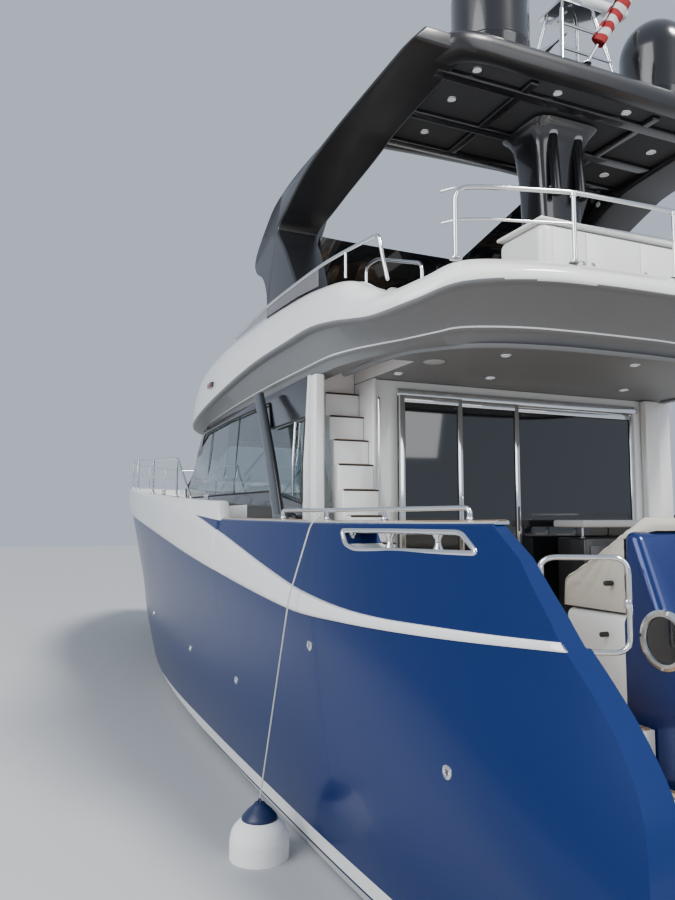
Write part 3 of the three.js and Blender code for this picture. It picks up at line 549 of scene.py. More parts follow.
def node_copy(node: str, name: str | None = None) -> Object:
    """Merged copy of a CAD node's mesh as a new piece.

    Args:
        node: the CAD node that is copied.
        name: piece name, or none for the node's own with a suffix.

    Returns:
        The new piece.
    """
    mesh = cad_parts[node].data.copy()
    mesh.materials.clear()
    piece = link(name or f"{node}_finish", mesh)
    shape = bmesh.new()
    shape.from_mesh(mesh)
    bmesh.ops.remove_doubles(shape, verts=shape.verts, dist=MERGED)
    bmesh.ops.dissolve_limit(shape, angle_limit=math.radians(0.6), verts=shape.verts, edges=shape.edges)
    shape.to_mesh(mesh)
    shape.free()
    return piece


def dress(piece: Object, finish: Surface, slot: str, *nodes: str, body: str = BOAT) -> Object:
    """Gives a piece its material and body, and hides the CAD nodes it stands for.

    Args:
        piece: finished mesh.
        finish: its surface, used where the mesh has none.
        slot: the record's material slot; not used.
        nodes: CAD nodes that it replaces.
        body: the body it moves with.

    Returns:
        The piece.
    """
    if not piece.data.materials:
        piece.data.materials.append(finish.material())
    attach(piece, body)
    if nodes:
        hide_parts(*nodes)
    LOG.info("%s on %s", piece.name, body)
    return piece


class Tree:
    """Small helper that adds and links shader nodes."""

    def __init__(self, tree: bpy.types.NodeTree) -> None:
        """Wraps a node tree."""
        self.tree = tree

    def add(self, kind: str, **values: object) -> bpy.types.Node:
        """Adds a node and sets its plain properties.

        Args:
            kind: the node's type.
            values: its plain properties.

        Returns:
            The node.
        """
        node = self.tree.nodes.new(kind)
        for key, value in values.items():
            setattr(node, key, value)
        return node

    def join(self, source: Socket, target: Socket) -> None:
        """Links two sockets."""
        self.tree.links.new(source, target)

    def math(self, operation: str, a: object, b: object = 0.0, c: object = 0.0) -> Socket:
        """Math node on numbers or sockets.

        Args:
            operation: the node's operation.
            a: first value.
            b: second value.
            c: third value.

        Returns:
            The result's socket.
        """
        node = self.add("ShaderNodeMath", operation=operation)
        for place, value in enumerate((a, b, c)):
            if isinstance(value, Socket):
                self.join(value, node.inputs[place])
            else:
                node.inputs[place].default_value = value
        return node.outputs[0]

    def mix(self, part: object, a: object, b: object) -> Socket:
        """Colour mix of a and b.

        Args:
            part: 0 for a, 1 for b.
            a: colour or socket.
            b: colour or socket.

        Returns:
            The colour's socket.
        """
        node = self.add("ShaderNodeMix", data_type="RGBA")
        for place, value in ((0, part), (6, a), (7, b)):
            if isinstance(value, Socket):
                self.join(value, node.inputs[place])
            elif place:
                node.inputs[place].default_value = (*value, 1.0)
            else:
                node.inputs[place].default_value = value
        return node.outputs[2]

    def step(self, value: object, edge: float, soft: float = 0.002) -> Socket:
        """0 below an edge and 1 above it.

        Args:
            value: what is compared.
            edge: where it steps.
            soft: half width of the ramp.

        Returns:
            The result's socket.
        """
        node = self.add("ShaderNodeMapRange", clamp=True)
        self.join(value, node.inputs[0])
        node.inputs[1].default_value = edge - soft
        node.inputs[2].default_value = edge + soft
        return node.outputs[0]

    def noise(self, vector: Socket, scale: float, detail: float = 3.0) -> Socket:
        """Noise value at a scale.

        Args:
            vector: where the pattern is read.
            scale: how fine it is.
            detail: octaves.

        Returns:
            The value's socket.
        """
        node = self.add("ShaderNodeTexNoise")
        self.join(vector, node.inputs["Vector"])
        node.inputs["Scale"].default_value = scale
        node.inputs["Detail"].default_value = detail
        return node.outputs["Fac"]

    def stretch(self, vector: Socket, scale: Point) -> Socket:
        """Vector scaled along each axis.

        Args:
            vector: where the pattern is read.
            scale: factor along each axis.

        Returns:
            The vector's socket.
        """
        node = self.add("ShaderNodeMapping")
        self.join(vector, node.inputs["Vector"])
        node.inputs["Scale"].default_value = scale
        return node.outputs[0]


class Surface(Protocol):
    """Anything that gives a material."""

    def material(self) -> bpy.types.Material:
        """The material, made once."""


class Grain(Enum):
    """Fine structure of a surface."""

    PLAIN = "plain"
    FLAKE = "flake"
    BRUSHED = "brushed"
    WEAVE = "weave"
    LEATHER = "leather"
    PLANKS = "planks"
    VENEER = "veneer"
    CAST = "cast"
    NONSKID = "nonskid"


def new_group(name: str, inputs: Sequence[tuple[str, str, object]],
              outputs: Sequence[tuple[str, str]]) -> bpy.types.NodeTree:
    """Shader group with named sockets.

    Args:
        name: the group's name.
        inputs: name, kind and value of each input.
        outputs: name and kind of each output.

    Returns:
        The new group.
    """
    group = bpy.data.node_groups.new(name, "ShaderNodeTree")
    for label, kind, value in inputs:
        socket = group.interface.new_socket(name=label, in_out="INPUT", socket_type=f"NodeSocket{kind}")
        if value is not None:
            socket.default_value = value
    for label, kind in outputs:
        group.interface.new_socket(name=label, in_out="OUTPUT", socket_type=f"NodeSocket{kind}")
    return group


def weathered_group() -> bpy.types.NodeTree:
    """Group that varies a colour and a roughness softly over a surface.

    Returns:
        The group.
    """
    found = bpy.data.node_groups.get("weathered")
    if found:
        return found
    group = new_group(
        "weathered",
        [("Vector", "Vector", None), ("Color", "Color", (0.8, 0.8, 0.8, 1)), ("Variation", "Float", 0.05),
         ("Roughness", "Float", 0.3), ("Uneven", "Float", 0.05), ("Scale", "Float", 3.0)],
        [("Color", "Color"), ("Roughness", "Float")],
    )
    t = Tree(group)
    source, sink = t.add("NodeGroupInput"), t.add("NodeGroupOutput")
    broad = t.add("ShaderNodeTexNoise")
    fine = t.add("ShaderNodeTexNoise")
    t.join(source.outputs["Vector"], broad.inputs["Vector"])
    t.join(source.outputs["Vector"], fine.inputs["Vector"])
    t.join(source.outputs["Scale"], broad.inputs["Scale"])
    t.join(t.math("MULTIPLY", source.outputs["Scale"], 9.0), fine.inputs["Scale"])
    blend = t.math("ADD", t.math("MULTIPLY", broad.outputs["Fac"], 0.65), t.math("MULTIPLY", fine.outputs["Fac"], 0.35))
    centred = t.math("SUBTRACT", blend, 0.5)
    value = t.math("MULTIPLY_ADD", t.math("MULTIPLY", centred, source.outputs["Variation"]), 4.0, 1.0)
    shade = t.add("ShaderNodeHueSaturation")
    t.join(source.outputs["Color"], shade.inputs["Color"])
    t.join(value, shade.inputs["Value"])
    t.join(shade.outputs[0], sink.inputs["Color"])
    rough = t.math("ADD", source.outputs["Roughness"], t.math("MULTIPLY", centred, source.outputs["Uneven"]))
    t.join(rough, sink.inputs["Roughness"])
    return group


def made_once(name: str, fill: Callable[[Tree, bpy.types.Node, Socket], None]) -> bpy.types.Material:
    """Material of a name, given its nodes when it is first asked for.

    Args:
        name: the material's name.
        fill: sets the tree's nodes, from the Principled node and object coordinates.

    Returns:
        The material.
    """
    material = bpy.data.materials.get(name)
    if material is None:
        material = bpy.data.materials.new(name)
        material.use_nodes = True
        t = Tree(material.node_tree)
        fill(t, material.node_tree.nodes["Principled BSDF"], t.add("ShaderNodeTexCoord").outputs["Object"])
    return material


def weather(t: Tree, shader: bpy.types.Node, vector: Socket, color: object, numbers: Sequence[float]) -> None:
    """Feeds a shader's colour and roughness through the weathered group.

    Args:
        t: the material's tree.
        shader: its Principled node.
        vector: object coordinates.
        color: a colour or its socket.
        numbers: variation, roughness, unevenness and scale.
    """
    node = t.add("ShaderNodeGroup", node_tree=weathered_group())
    t.join(vector, node.inputs["Vector"])
    if isinstance(color, Socket):
        t.join(color, node.inputs["Color"])
    else:
        node.inputs["Color"].default_value = (*color, 1)
    for key, value in zip(("Variation", "Roughness", "Uneven", "Scale"), numbers):
        node.inputs[key].default_value = value
    t.join(node.outputs["Color"], shader.inputs["Base Color"])
    t.join(node.outputs["Roughness"], shader.inputs["Roughness"])


@dataclass(frozen=True)
class Finish:
    """Numbers of one surface finish."""

    name: str
    color: Rgb
    roughness: float
    metallic: float = 0.0
    coat: float = 0.0
    variation: float = 0.04
    uneven: float = 0.06
    scale: float = 2.0
    grain: Grain = Grain.PLAIN
    grain_size: float = 0.004
    grain_depth: float = 0.0004
    sheen: float = 0.0
    transmission: float = 0.0

    def material(self) -> bpy.types.Material:
        """The finish as a material, made once."""
        return made_once(self.name, self._fill)

    def _fill(self, t: Tree, shader: bpy.types.Node, vector: Socket) -> None:
        """Sets the shader's numbers and joins its colour and grain.

        Args:
            t: the material's tree.
            shader: its Principled node.
            vector: object coordinates.
        """
        color, height = self._pattern(t, vector)
        if self.transmission:
            shader.inputs["Base Color"].default_value = (*self.color, 1)
            shader.inputs["Transmission Weight"].default_value = self.transmission
            shader.inputs["Roughness"].default_value = self.roughness
        else:
            weather(t, shader, vector, color, (self.variation, self.roughness, self.uneven, self.scale))
        shader.inputs["Metallic"].default_value = self.metallic
        shader.inputs["Coat Weight"].default_value = self.coat
        shader.inputs["Coat Roughness"].default_value = 0.04
        shader.inputs["Sheen Weight"].default_value = self.sheen
        if height is not None:
            bump = t.add("ShaderNodeBump")
            bump.inputs["Distance"].default_value = self.grain_depth
            bump.inputs["Strength"].default_value = 1.0
            t.join(height, bump.inputs["Height"])
            t.join(bump.outputs[0], shader.inputs["Normal"])

    def _pattern(self, t: Tree, vector: Socket) -> tuple[object, Socket | None]:
        """Colour and height of the fine structure.

        Args:
            t: the material's tree.
            vector: object coordinates.

        Returns:
            A colour or its socket, and the height's socket.
        """
        size = 1.0 / self.grain_size
        if self.grain is Grain.PLAIN:
            return self.color, None
        if self.grain in (Grain.CAST, Grain.FLAKE):
            grains = t.noise(vector, size, 2.0)
            return t.mix(grains, self.color, tuple(clamp(c * 1.35) for c in self.color)), grains
        if self.grain is Grain.BRUSHED:
            return self.color, t.noise(t.stretch(vector, (size * 0.05, size, size)), 1.0, 2.0)
        if self.grain is Grain.WEAVE:
            heights = []
            for axis in ("X", "Y", "Z"):
                wave = t.add("ShaderNodeTexWave", bands_direction=axis)
                t.join(vector, wave.inputs["Vector"])
                wave.inputs["Scale"].default_value = size * 0.5
                wave.inputs["Distortion"].default_value = 0.4
                heights.append(wave.outputs["Fac"])
            height = t.math("ADD", t.math("ADD", heights[0], heights[1]), heights[2])
            threads = t.math("MULTIPLY", height, 0.22)
            return t.mix(threads, tuple(c * 0.86 for c in self.color), self.color), height
        if self.grain is Grain.LEATHER:
            cells = t.add("ShaderNodeTexVoronoi", feature="DISTANCE_TO_EDGE")
            t.join(vector, cells.inputs["Vector"])
            cells.inputs["Scale"].default_value = size
            height = t.math("MINIMUM", cells.outputs["Distance"], 0.25)
            return self.color, height
        if self.grain is Grain.NONSKID:
            cells = t.add("ShaderNodeTexVoronoi")
            t.join(vector, cells.inputs["Vector"])
            cells.inputs["Scale"].default_value = size
            return self.color, t.math("LESS_THAN", cells.outputs["Distance"], 0.38)
        parts = t.add("ShaderNodeSeparateXYZ")
        t.join(vector, parts.inputs[0])
        rings = t.noise(t.stretch(vector, (1.2, 26.0, 26.0)), 1.6, 6.0)
        wood = t.mix(rings, tuple(c * 0.62 for c in self.color), tuple(clamp(c * 1.3) for c in self.color))
        if self.grain is Grain.VENEER:
            return wood, rings
        across = t.math("FRACT", t.math("DIVIDE", parts.outputs["Y"], PLANK))
        seam = t.math("LESS_THAN", across, 0.1)
        row = t.math("FLOOR", t.math("DIVIDE", parts.outputs["Y"], PLANK))
        shade = t.add("ShaderNodeTexWhiteNoise", noise_dimensions="1D")
        t.join(row, shade.inputs["W"])
        plank = t.mix(t.math("MULTIPLY", shade.outputs["Value"], 0.35), wood, tuple(c * 0.7 for c in self.color))
        return t.mix(seam, plank, CAULK), t.math("SUBTRACT", 1.0, seam)


WHITE = Finish("white_gelcoat", (0.82, 0.82, 0.80), 0.22, coat=0.5, variation=0.012, uneven=0.05)
NONSKID = Finish("nonskid_white", (0.72, 0.72, 0.70), 0.55, variation=0.02, grain=Grain.NONSKID, grain_size=0.006,
                 grain_depth=0.0006)
DARK_GELCOAT = Finish("dark_gelcoat", (0.012, 0.012, 0.014), 0.34, coat=0.16, variation=0.05, uneven=0.05)
BLACK = Finish("black_gloss", (0.010, 0.010, 0.012), 0.20, coat=0.55, variation=0.05, uneven=0.04)
GREY = Finish("grey_liner", (0.42, 0.43, 0.44), 0.45, variation=0.03)
STEEL = Finish("polished_steel", (0.76, 0.77, 0.78), 0.10, metallic=1.0, variation=0.03, uneven=0.10,
               grain=Grain.BRUSHED, grain_size=0.0012, grain_depth=0.00002)
GLASS = Finish("tinted_glass", (0.50, 0.58, 0.60), 0.01, transmission=0.97)
SMOKE = Finish("smoked_acrylic", (0.30, 0.27, 0.29), 0.03, transmission=0.9)
BLACK_GLASS = Finish("black_glass", (0.008, 0.009, 0.011), 0.03, coat=1.0, variation=0.02, uneven=0.01)
TEAK = Finish("teak_planks", (0.43, 0.29, 0.17), 0.6, variation=0.10, grain=Grain.PLANKS, grain_depth=0.0015)
TEAK_PLAIN = Finish("teak_trim", (0.42, 0.25, 0.13), 0.45, variation=0.10, grain=Grain.VENEER, grain_depth=0.0003)
WALNUT = Finish("walnut_veneer", (0.20, 0.12, 0.07), 0.35, variation=0.08, coat=0.3, grain=Grain.VENEER,
                grain_depth=0.0001)
CANVAS = Finish("beige_canvas", (0.62, 0.575, 0.48), 0.9, variation=0.05, grain=Grain.WEAVE, grain_size=0.0024,
                grain_depth=0.0004, sheen=0.3)
VINYL = Finish("pale_vinyl", (0.68, 0.66, 0.61), 0.5, variation=0.02, grain=Grain.LEATHER, grain_size=0.004,
               grain_depth=0.0003)
DARK_VINYL = Finish("dark_vinyl", (0.035, 0.036, 0.04), 0.45, variation=0.05, grain=Grain.LEATHER, grain_size=0.004,
                    grain_depth=0.0003)
DARK = Finish("dark_satin", (0.05, 0.052, 0.056), 0.4, variation=0.05, grain=Grain.CAST, grain_size=0.002,
              grain_depth=0.0001)
BRONZE = Finish("cast_bronze", (0.46, 0.31, 0.15), 0.32, metallic=1.0, variation=0.12, grain=Grain.CAST,
                grain_size=0.006, grain_depth=0.0003)
RUBBER = Finish("black_rubber", (0.02, 0.02, 0.02), 0.7, variation=0.06, grain=Grain.CAST, grain_size=0.002,
                grain_depth=0.0002)
FENDER_VINYL = Finish("fender_vinyl", (0.72, 0.72, 0.70), 0.38, variation=0.06, uneven=0.12, scale=5.0)
NAVY = Finish("navy_metallic", (0.005, 0.018, 0.10), 0.22, metallic=0.4, coat=0.3, variation=0.02, grain=Grain.FLAKE,
              grain_size=0.0012, grain_depth=0.00001)
NAVY_TRIM = Finish("navy_trim", (0.01, 0.02, 0.07), 0.4, variation=0.05)
LINE = Finish("pale_line", (0.55, 0.55, 0.52), 0.8, variation=0.08)
# Darker grey for faces that look down under the flybridge and for the cockpit's ceiling trim: painted shade.
SOFFIT_SHADE_GREY = Finish("soffit_painted_shade", (0.17, 0.175, 0.18), 0.5, variation=0.03)
ROSE = Finish("rose_acrylic", (0.50, 0.30, 0.30), 0.08, transmission=0.55)
LINER = Finish("dark_liner", (0.028, 0.029, 0.031), 0.75, variation=0.05, grain=Grain.LEATHER, grain_size=0.004,
               grain_depth=0.0003)
BUNTING_RED = Finish("bunting_red", (0.36, 0.015, 0.02), 0.85, variation=0.08, grain=Grain.WEAVE, grain_size=0.0015,
                     grain_depth=0.0002)
BUNTING_WHITE = Finish("bunting_white", (0.72, 0.71, 0.69), 0.85, variation=0.05, grain=Grain.WEAVE, grain_size=0.0015,
                       grain_depth=0.0002)
LAMP = Finish("lamp_lens", (0.85, 0.86, 0.86), 0.15, variation=0.01)


@dataclass(frozen=True)
class HullPaint:
    """Metallic blue topsides with a white boot stripe, a white bulwark forward and dark bottom paint; under the stripe
    a navy line is a painted shadow and a grey band is painted shade.
    """

    navy: Rgb = (0.0035, 0.010, 0.055)
    flake: Rgb = (0.018, 0.060, 0.27)
    white: Rgb = (0.80, 0.80, 0.78)
    # Grey of the band under the boot stripe: the white hull painted darker as shade.
    painted_shade_grey: Rgb = (0.42, 0.43, 0.44)
    bottom: Rgb = (0.020, 0.022, 0.028)
    # Tops of the dark bottom paint, the grey band, the navy line and the white stripe; the navy line is a painted
    # shadow line and the grey band is painted shade.
    stripe: tuple[float, float, float, float] = (0.03, 0.075, 0.092, 0.20)
    well: Pair = (1.812, 0.0614)
    step_x: float = -2.635
    line: Pair = (2.467, 0.065)
    stem: Pair = (8.2, 2.592)
    inner: Pair = (1.797, 0.53)
    inside_z: float = 1.66
    top_z: float = 1.80

    def material(self) -> bpy.types.Material:
        """The paint of hull and deck moulding, made once."""
        return made_once("hull_paint", self._fill)

    def _fill(self, t: Tree, shader: bpy.types.Node, vector: Socket) -> None:
        """Joins the painted fields and stripes to the shader.

        Args:
            t: the material's tree.
            shader: its Principled node.
            vector: object coordinates.
        """
        parts = t.add("ShaderNodeSeparateXYZ")
        t.join(vector, parts.inputs[0])
        x, y, z = parts.outputs
        navy = t.mix(t.math("MULTIPLY", t.noise(vector, 1400.0, 1.0), 0.5), self.navy, self.flake)
        painted = self._painted(t, x, y, z)
        base = t.mix(painted, self.white, navy)
        # Below the stripe's top: the white stripe, a navy line painted as shadow, a grey band painted as shade, then
        # the dark bottom paint.
        below = t.math("LESS_THAN", z, self.stripe[3])
        bands_with_painted_shade: object = self.white
        for level, tint in zip(self.stripe[2::-1], (self.navy, self.painted_shade_grey, self.bottom)):
            bands_with_painted_shade = t.mix(t.math("LESS_THAN", z, level), bands_with_painted_shade, tint)
        base = t.mix(below, base, bands_with_painted_shade)
        metal = t.math("MULTIPLY", painted, t.math("SUBTRACT", 1.0, below))
        weather(t, shader, vector, base, (0.02, 0.24, 0.04, 1.2))
        t.join(t.math("MULTIPLY", metal, 0.2), shader.inputs["Metallic"])
        shader.inputs["Specular IOR Level"].default_value = 0.15
        shader.inputs["Coat Weight"].default_value = 0.14
        shader.inputs["Coat Roughness"].default_value = 0.02

    def _painted(self, t: Tree, x: object, y: object, z: object) -> Socket:
        """1 where the surface is blue.

        Args:
            t: the material's tree.
            x: object X.
            y: object Y.
            z: object Z.

        Returns:
            The mask's socket.
        """
        side = t.math("ABSOLUTE", y)
        normal = t.add("ShaderNodeSeparateXYZ")
        t.join(t.add("ShaderNodeNewGeometry").outputs["Normal"], normal.inputs[0])
        facing = t.math("MULTIPLY", normal.outputs["Y"], t.math("SIGN", y))
        half = t.math("MULTIPLY_ADD", t.math("ADD", x, 7.7), self.well[1], self.well[0])
        within = t.math("MULTIPLY", t.math("LESS_THAN", side, half), t.math("LESS_THAN", facing, -0.3))
        within = t.math("MAXIMUM", within, t.math("LESS_THAN", side, self.inner[0]))
        inside = t.math("MULTIPLY", within, t.math("GREATER_THAN", z, self.inner[1]))
        inside = t.math("MULTIPLY", inside, t.math("LESS_THAN", x, HOUSE_AFT + 0.05))
        line = t.math("MULTIPLY_ADD", x, self.line[1], self.line[0])
        white = t.math("MULTIPLY", t.math("GREATER_THAN", x, self.step_x), t.math("GREATER_THAN", z, line))
        stem = t.math("MULTIPLY", t.math("GREATER_THAN", x, self.stem[0]), t.math("GREATER_THAN", z, self.stem[1]))
        white = t.math("MAXIMUM", white, stem)
        inner = t.math("MULTIPLY", t.math("GREATER_THAN", z, self.inside_z), t.math("LESS_THAN", facing, -0.1))
        flat = t.math("MULTIPLY", t.math("GREATER_THAN", z, self.top_z),
                      t.math("GREATER_THAN", normal.outputs["Z"], 0.93))
        white = t.math("MAXIMUM", t.math("MAXIMUM", white, inner), t.math("MAXIMUM", flat, inside))
        return t.math("SUBTRACT", 1.0, white)


PAINT = HullPaint()


@dataclass
class Studio:
    """Camera, lights and floor."""

    eye: Point = (-9.65, 4.2, 2.3)
    yaw: float = 24.0
    pitch: float = 5.3
    focal_px: float = 754.0
    width_px: float = 675.0

    def build(self) -> None:
        """Makes the camera, the floor and the lights."""
        self._camera()
        self._floor()
        self._lights()

    def _camera(self) -> None:
        """Camera at the photograph's viewpoint."""
        yaw, pitch = math.radians(self.yaw), math.radians(self.pitch)
        ahead = Vector((math.cos(yaw) * math.cos(pitch), -math.sin(yaw) * math.cos(pitch), math.sin(pitch)))
        right = Vector((-math.sin(yaw), -math.cos(yaw), 0))
        up = right.cross(ahead)
        data = bpy.data.cameras.new("camera")
        data.sensor_fit = "HORIZONTAL"
        data.sensor_width = 36
        data.lens = 36 * self.focal_px / self.width_px
        data.clip_end = 200
        camera = bpy.data.objects.new("camera", data)
        bpy.context.scene.collection.objects.link(camera)
        camera.matrix_world = Matrix.Translation(self.eye) @ Matrix((right, up, -ahead)).transposed().to_4x4()
        bpy.context.scene.camera = camera

    def _floor(self) -> None:
        """Plain pale floor at the waterline."""
        reach = 60
        floor = mesh_object("floor", [(-reach, -reach, WATERLINE), (reach, -reach, WATERLINE),
                                      (reach, reach, WATERLINE), (-reach, reach, WATERLINE)], [(0, 1, 2, 3)])
        if floor.data.polygons[0].normal.z < 0:
            floor.data.flip_normals()
        floor.data.materials.append(Finish("studio_floor", (0.42, 0.43, 0.44), 0.85, variation=0.004).material())

    def _lights(self) -> None:
        """Soft sky, a sun from starboard astern, a broad light from port astern and a fill from astern."""
        world = bpy.data.worlds.new("studio")
        world.use_nodes = True
        background = world.node_tree.nodes["Background"]
        background.inputs["Color"].default_value = (0.74, 0.84, 1.0, 1)
        background.inputs["Strength"].default_value = 0.68
        bpy.context.scene.world = world
        sun = bpy.data.lights.new("key", "SUN")
        sun.energy = 3.6
        sun.angle = math.radians(14)
        sun.color = (1.0, 0.97, 0.93)
        lamp = bpy.data.objects.new("key", sun)
        lamp.rotation_euler = Vector((0.55, 0.30, -0.80)).to_track_quat("-Z", "Y").to_euler()
        bpy.context.scene.collection.objects.link(lamp)
        for name, place, size, power in (("sky_port", (-9, 15, 10), 12, 2600), ("fill_astern", (-20, -4, 9), 10, 900)):
            data = bpy.data.lights.new(name, "AREA")
            data.size = size
            data.energy = power
            fill = bpy.data.objects.new(name, data)
            fill.location = place
            fill.rotation_euler = (Vector((-3, 0, 1.5)) - Vector(place)).to_track_quat("-Z", "Y").to_euler()
            bpy.context.scene.collection.objects.link(fill)


def repeat_group() -> bpy.types.NodeTree:
    """Geometry Nodes group that sets copies of a piece at even steps along a line.

    Returns:
        The group.
    """
    found = bpy.data.node_groups.get("repeat_along")
    if found:
        return found
    group = bpy.data.node_groups.new("repeat_along", "GeometryNodeTree")
    for label, kind in (("Geometry", "Geometry"), ("Piece", "Object"), ("Count", "Int"), ("Material", "Material")):
        group.interface.new_socket(name=label, in_out="INPUT", socket_type=f"NodeSocket{kind}")
    group.interface.new_socket(name="Geometry", in_out="OUTPUT", socket_type="NodeSocketGeometry")
    t = Tree(group)
    source, sink = t.add("NodeGroupInput"), t.add("NodeGroupOutput")
    curve, steps = t.add("GeometryNodeMeshToCurve"), t.add("GeometryNodeResampleCurve")
    info, copies = t.add("GeometryNodeObjectInfo"), t.add("GeometryNodeInstanceOnPoints")
    turn = t.add("FunctionNodeAlignRotationToVector", axis="X")
    real, paint = t.add("GeometryNodeRealizeInstances"), t.add("GeometryNodeSetMaterial")
    t.join(source.outputs["Geometry"], curve.inputs["Mesh"])
    t.join(curve.outputs[0], steps.inputs["Curve"])
    t.join(source.outputs["Count"], steps.inputs["Count"])
    t.join(steps.outputs[0], copies.inputs["Points"])
    t.join(source.outputs["Piece"], info.inputs["Object"])
    t.join(info.outputs["Geometry"], copies.inputs["Instance"])
    t.join(t.add("GeometryNodeInputTangent").outputs[0], turn.inputs["Vector"])
    t.join(turn.outputs[0], copies.inputs["Rotation"])
    t.join(copies.outputs[0], real.inputs[0])
    t.join(real.outputs[0], paint.inputs["Geometry"])
    t.join(source.outputs["Material"], paint.inputs["Material"])
    t.join(paint.outputs[0], sink.inputs[0])
    return group


def repeated(name: str, path: Sequence[Point], piece: Object, count: int, finish: Finish) -> Object:
    """Copies of a piece at even steps along a path, its X along it; the piece is removed.

    Args:
        name: piece name.
        path: points of the line.
        piece: what is repeated, made around the origin.
        count: how many.
        finish: their finish.

    Returns:
        One object with every copy.
    """
    mesh = bpy.data.meshes.new(name)
    mesh.from_pydata([tuple(p) for p in path], [(i, i + 1) for i in range(len(path) - 1)], [])
    row = link(name, mesh)
    modifier = row.modifiers.new("repeat", "NODES")
    modifier.node_group = repeat_group()
    for item in modifier.node_group.interface.items_tree:
        if item.in_out == "INPUT" and item.name in ("Piece", "Count", "Material"):
            modifier[item.identifier] = {"Piece": piece, "Count": count, "Material": finish.material()}[item.name]
    evaluated(row)
    bpy.data.objects.remove(piece)
    return smooth(row, 40)


def rounded(name: str, low: Point, high: Point, radius: float, crown: float = 0.0,
            seams: Sequence[tuple[int, float]] = (), step: float = 0.05) -> Object:
    """Box with round edges and crowned faces.

    Args:
        name: piece name.
        low: lowest corner.
        high: highest corner.
        radius: radius of the edges.
        crown: how far the faces swell.
        seams: axis and place of each stitched groove.
        step: size of the faces.

    Returns:
        The new object.
    """
    size = [high[k] - low[k] for k in range(3)]
    r = min(radius, *(0.49 * s for s in size))
    lines = []
    for k in range(3):
        ends = [r * (1 - math.cos(math.pi / 2 * n / 6)) for n in range(7)]
        spans = max(1, round((size[k] - 2 * r) / step))
        middle = [lerp(r, size[k] - r, n / spans) for n in range(1, spans)]
        near = [p - low[k] + d for axis, p in seams if axis == k for d in (-0.018, -0.008, -0.003, 0, 0.003, 0.008,
                                                                           0.018)]
        middle = [m for m in middle if all(abs(m - p) > 0.012 for p in near)]
        lines.append(sorted({*ends, *(size[k] - e for e in ends), *middle, *near}))
    vertices: list[Vector] = []
    faces: list[list[int]] = []
    for k in range(3):
        a, b = (k + 1) % 3, (k + 2) % 3
        for end in (0.0, size[k]):
            start = len(vertices)
            for u in lines[a]:
                for v in lines[b]:
                    q = Vector((0, 0, 0))
                    q[k], q[a], q[b] = end, u, v
                    core = Vector([clamp(q[n], r, size[n] - r) for n in range(3)])
                    away = (q - core).normalized()
                    swell = crown * (1 - (2 * u / size[a] - 1) ** 4) * (1 - (2 * v / size[b] - 1) ** 4)
                    groove = sum(0.007 * math.exp(-((q[axis] - p + low[axis]) / 0.005) ** 2) for axis, p in seams
                                 if axis != k)
                    vertices.append(Vector(low) + core + away * (r + swell - groove))
            width = len(lines[b])
            for i in range(len(lines[a]) - 1):
                for j in range(width - 1):
                    n = start + i * width + j
                    faces.append([n, n + 1, n + width + 1, n + width])
    return mesh_object(name, vertices, faces, angle=60)


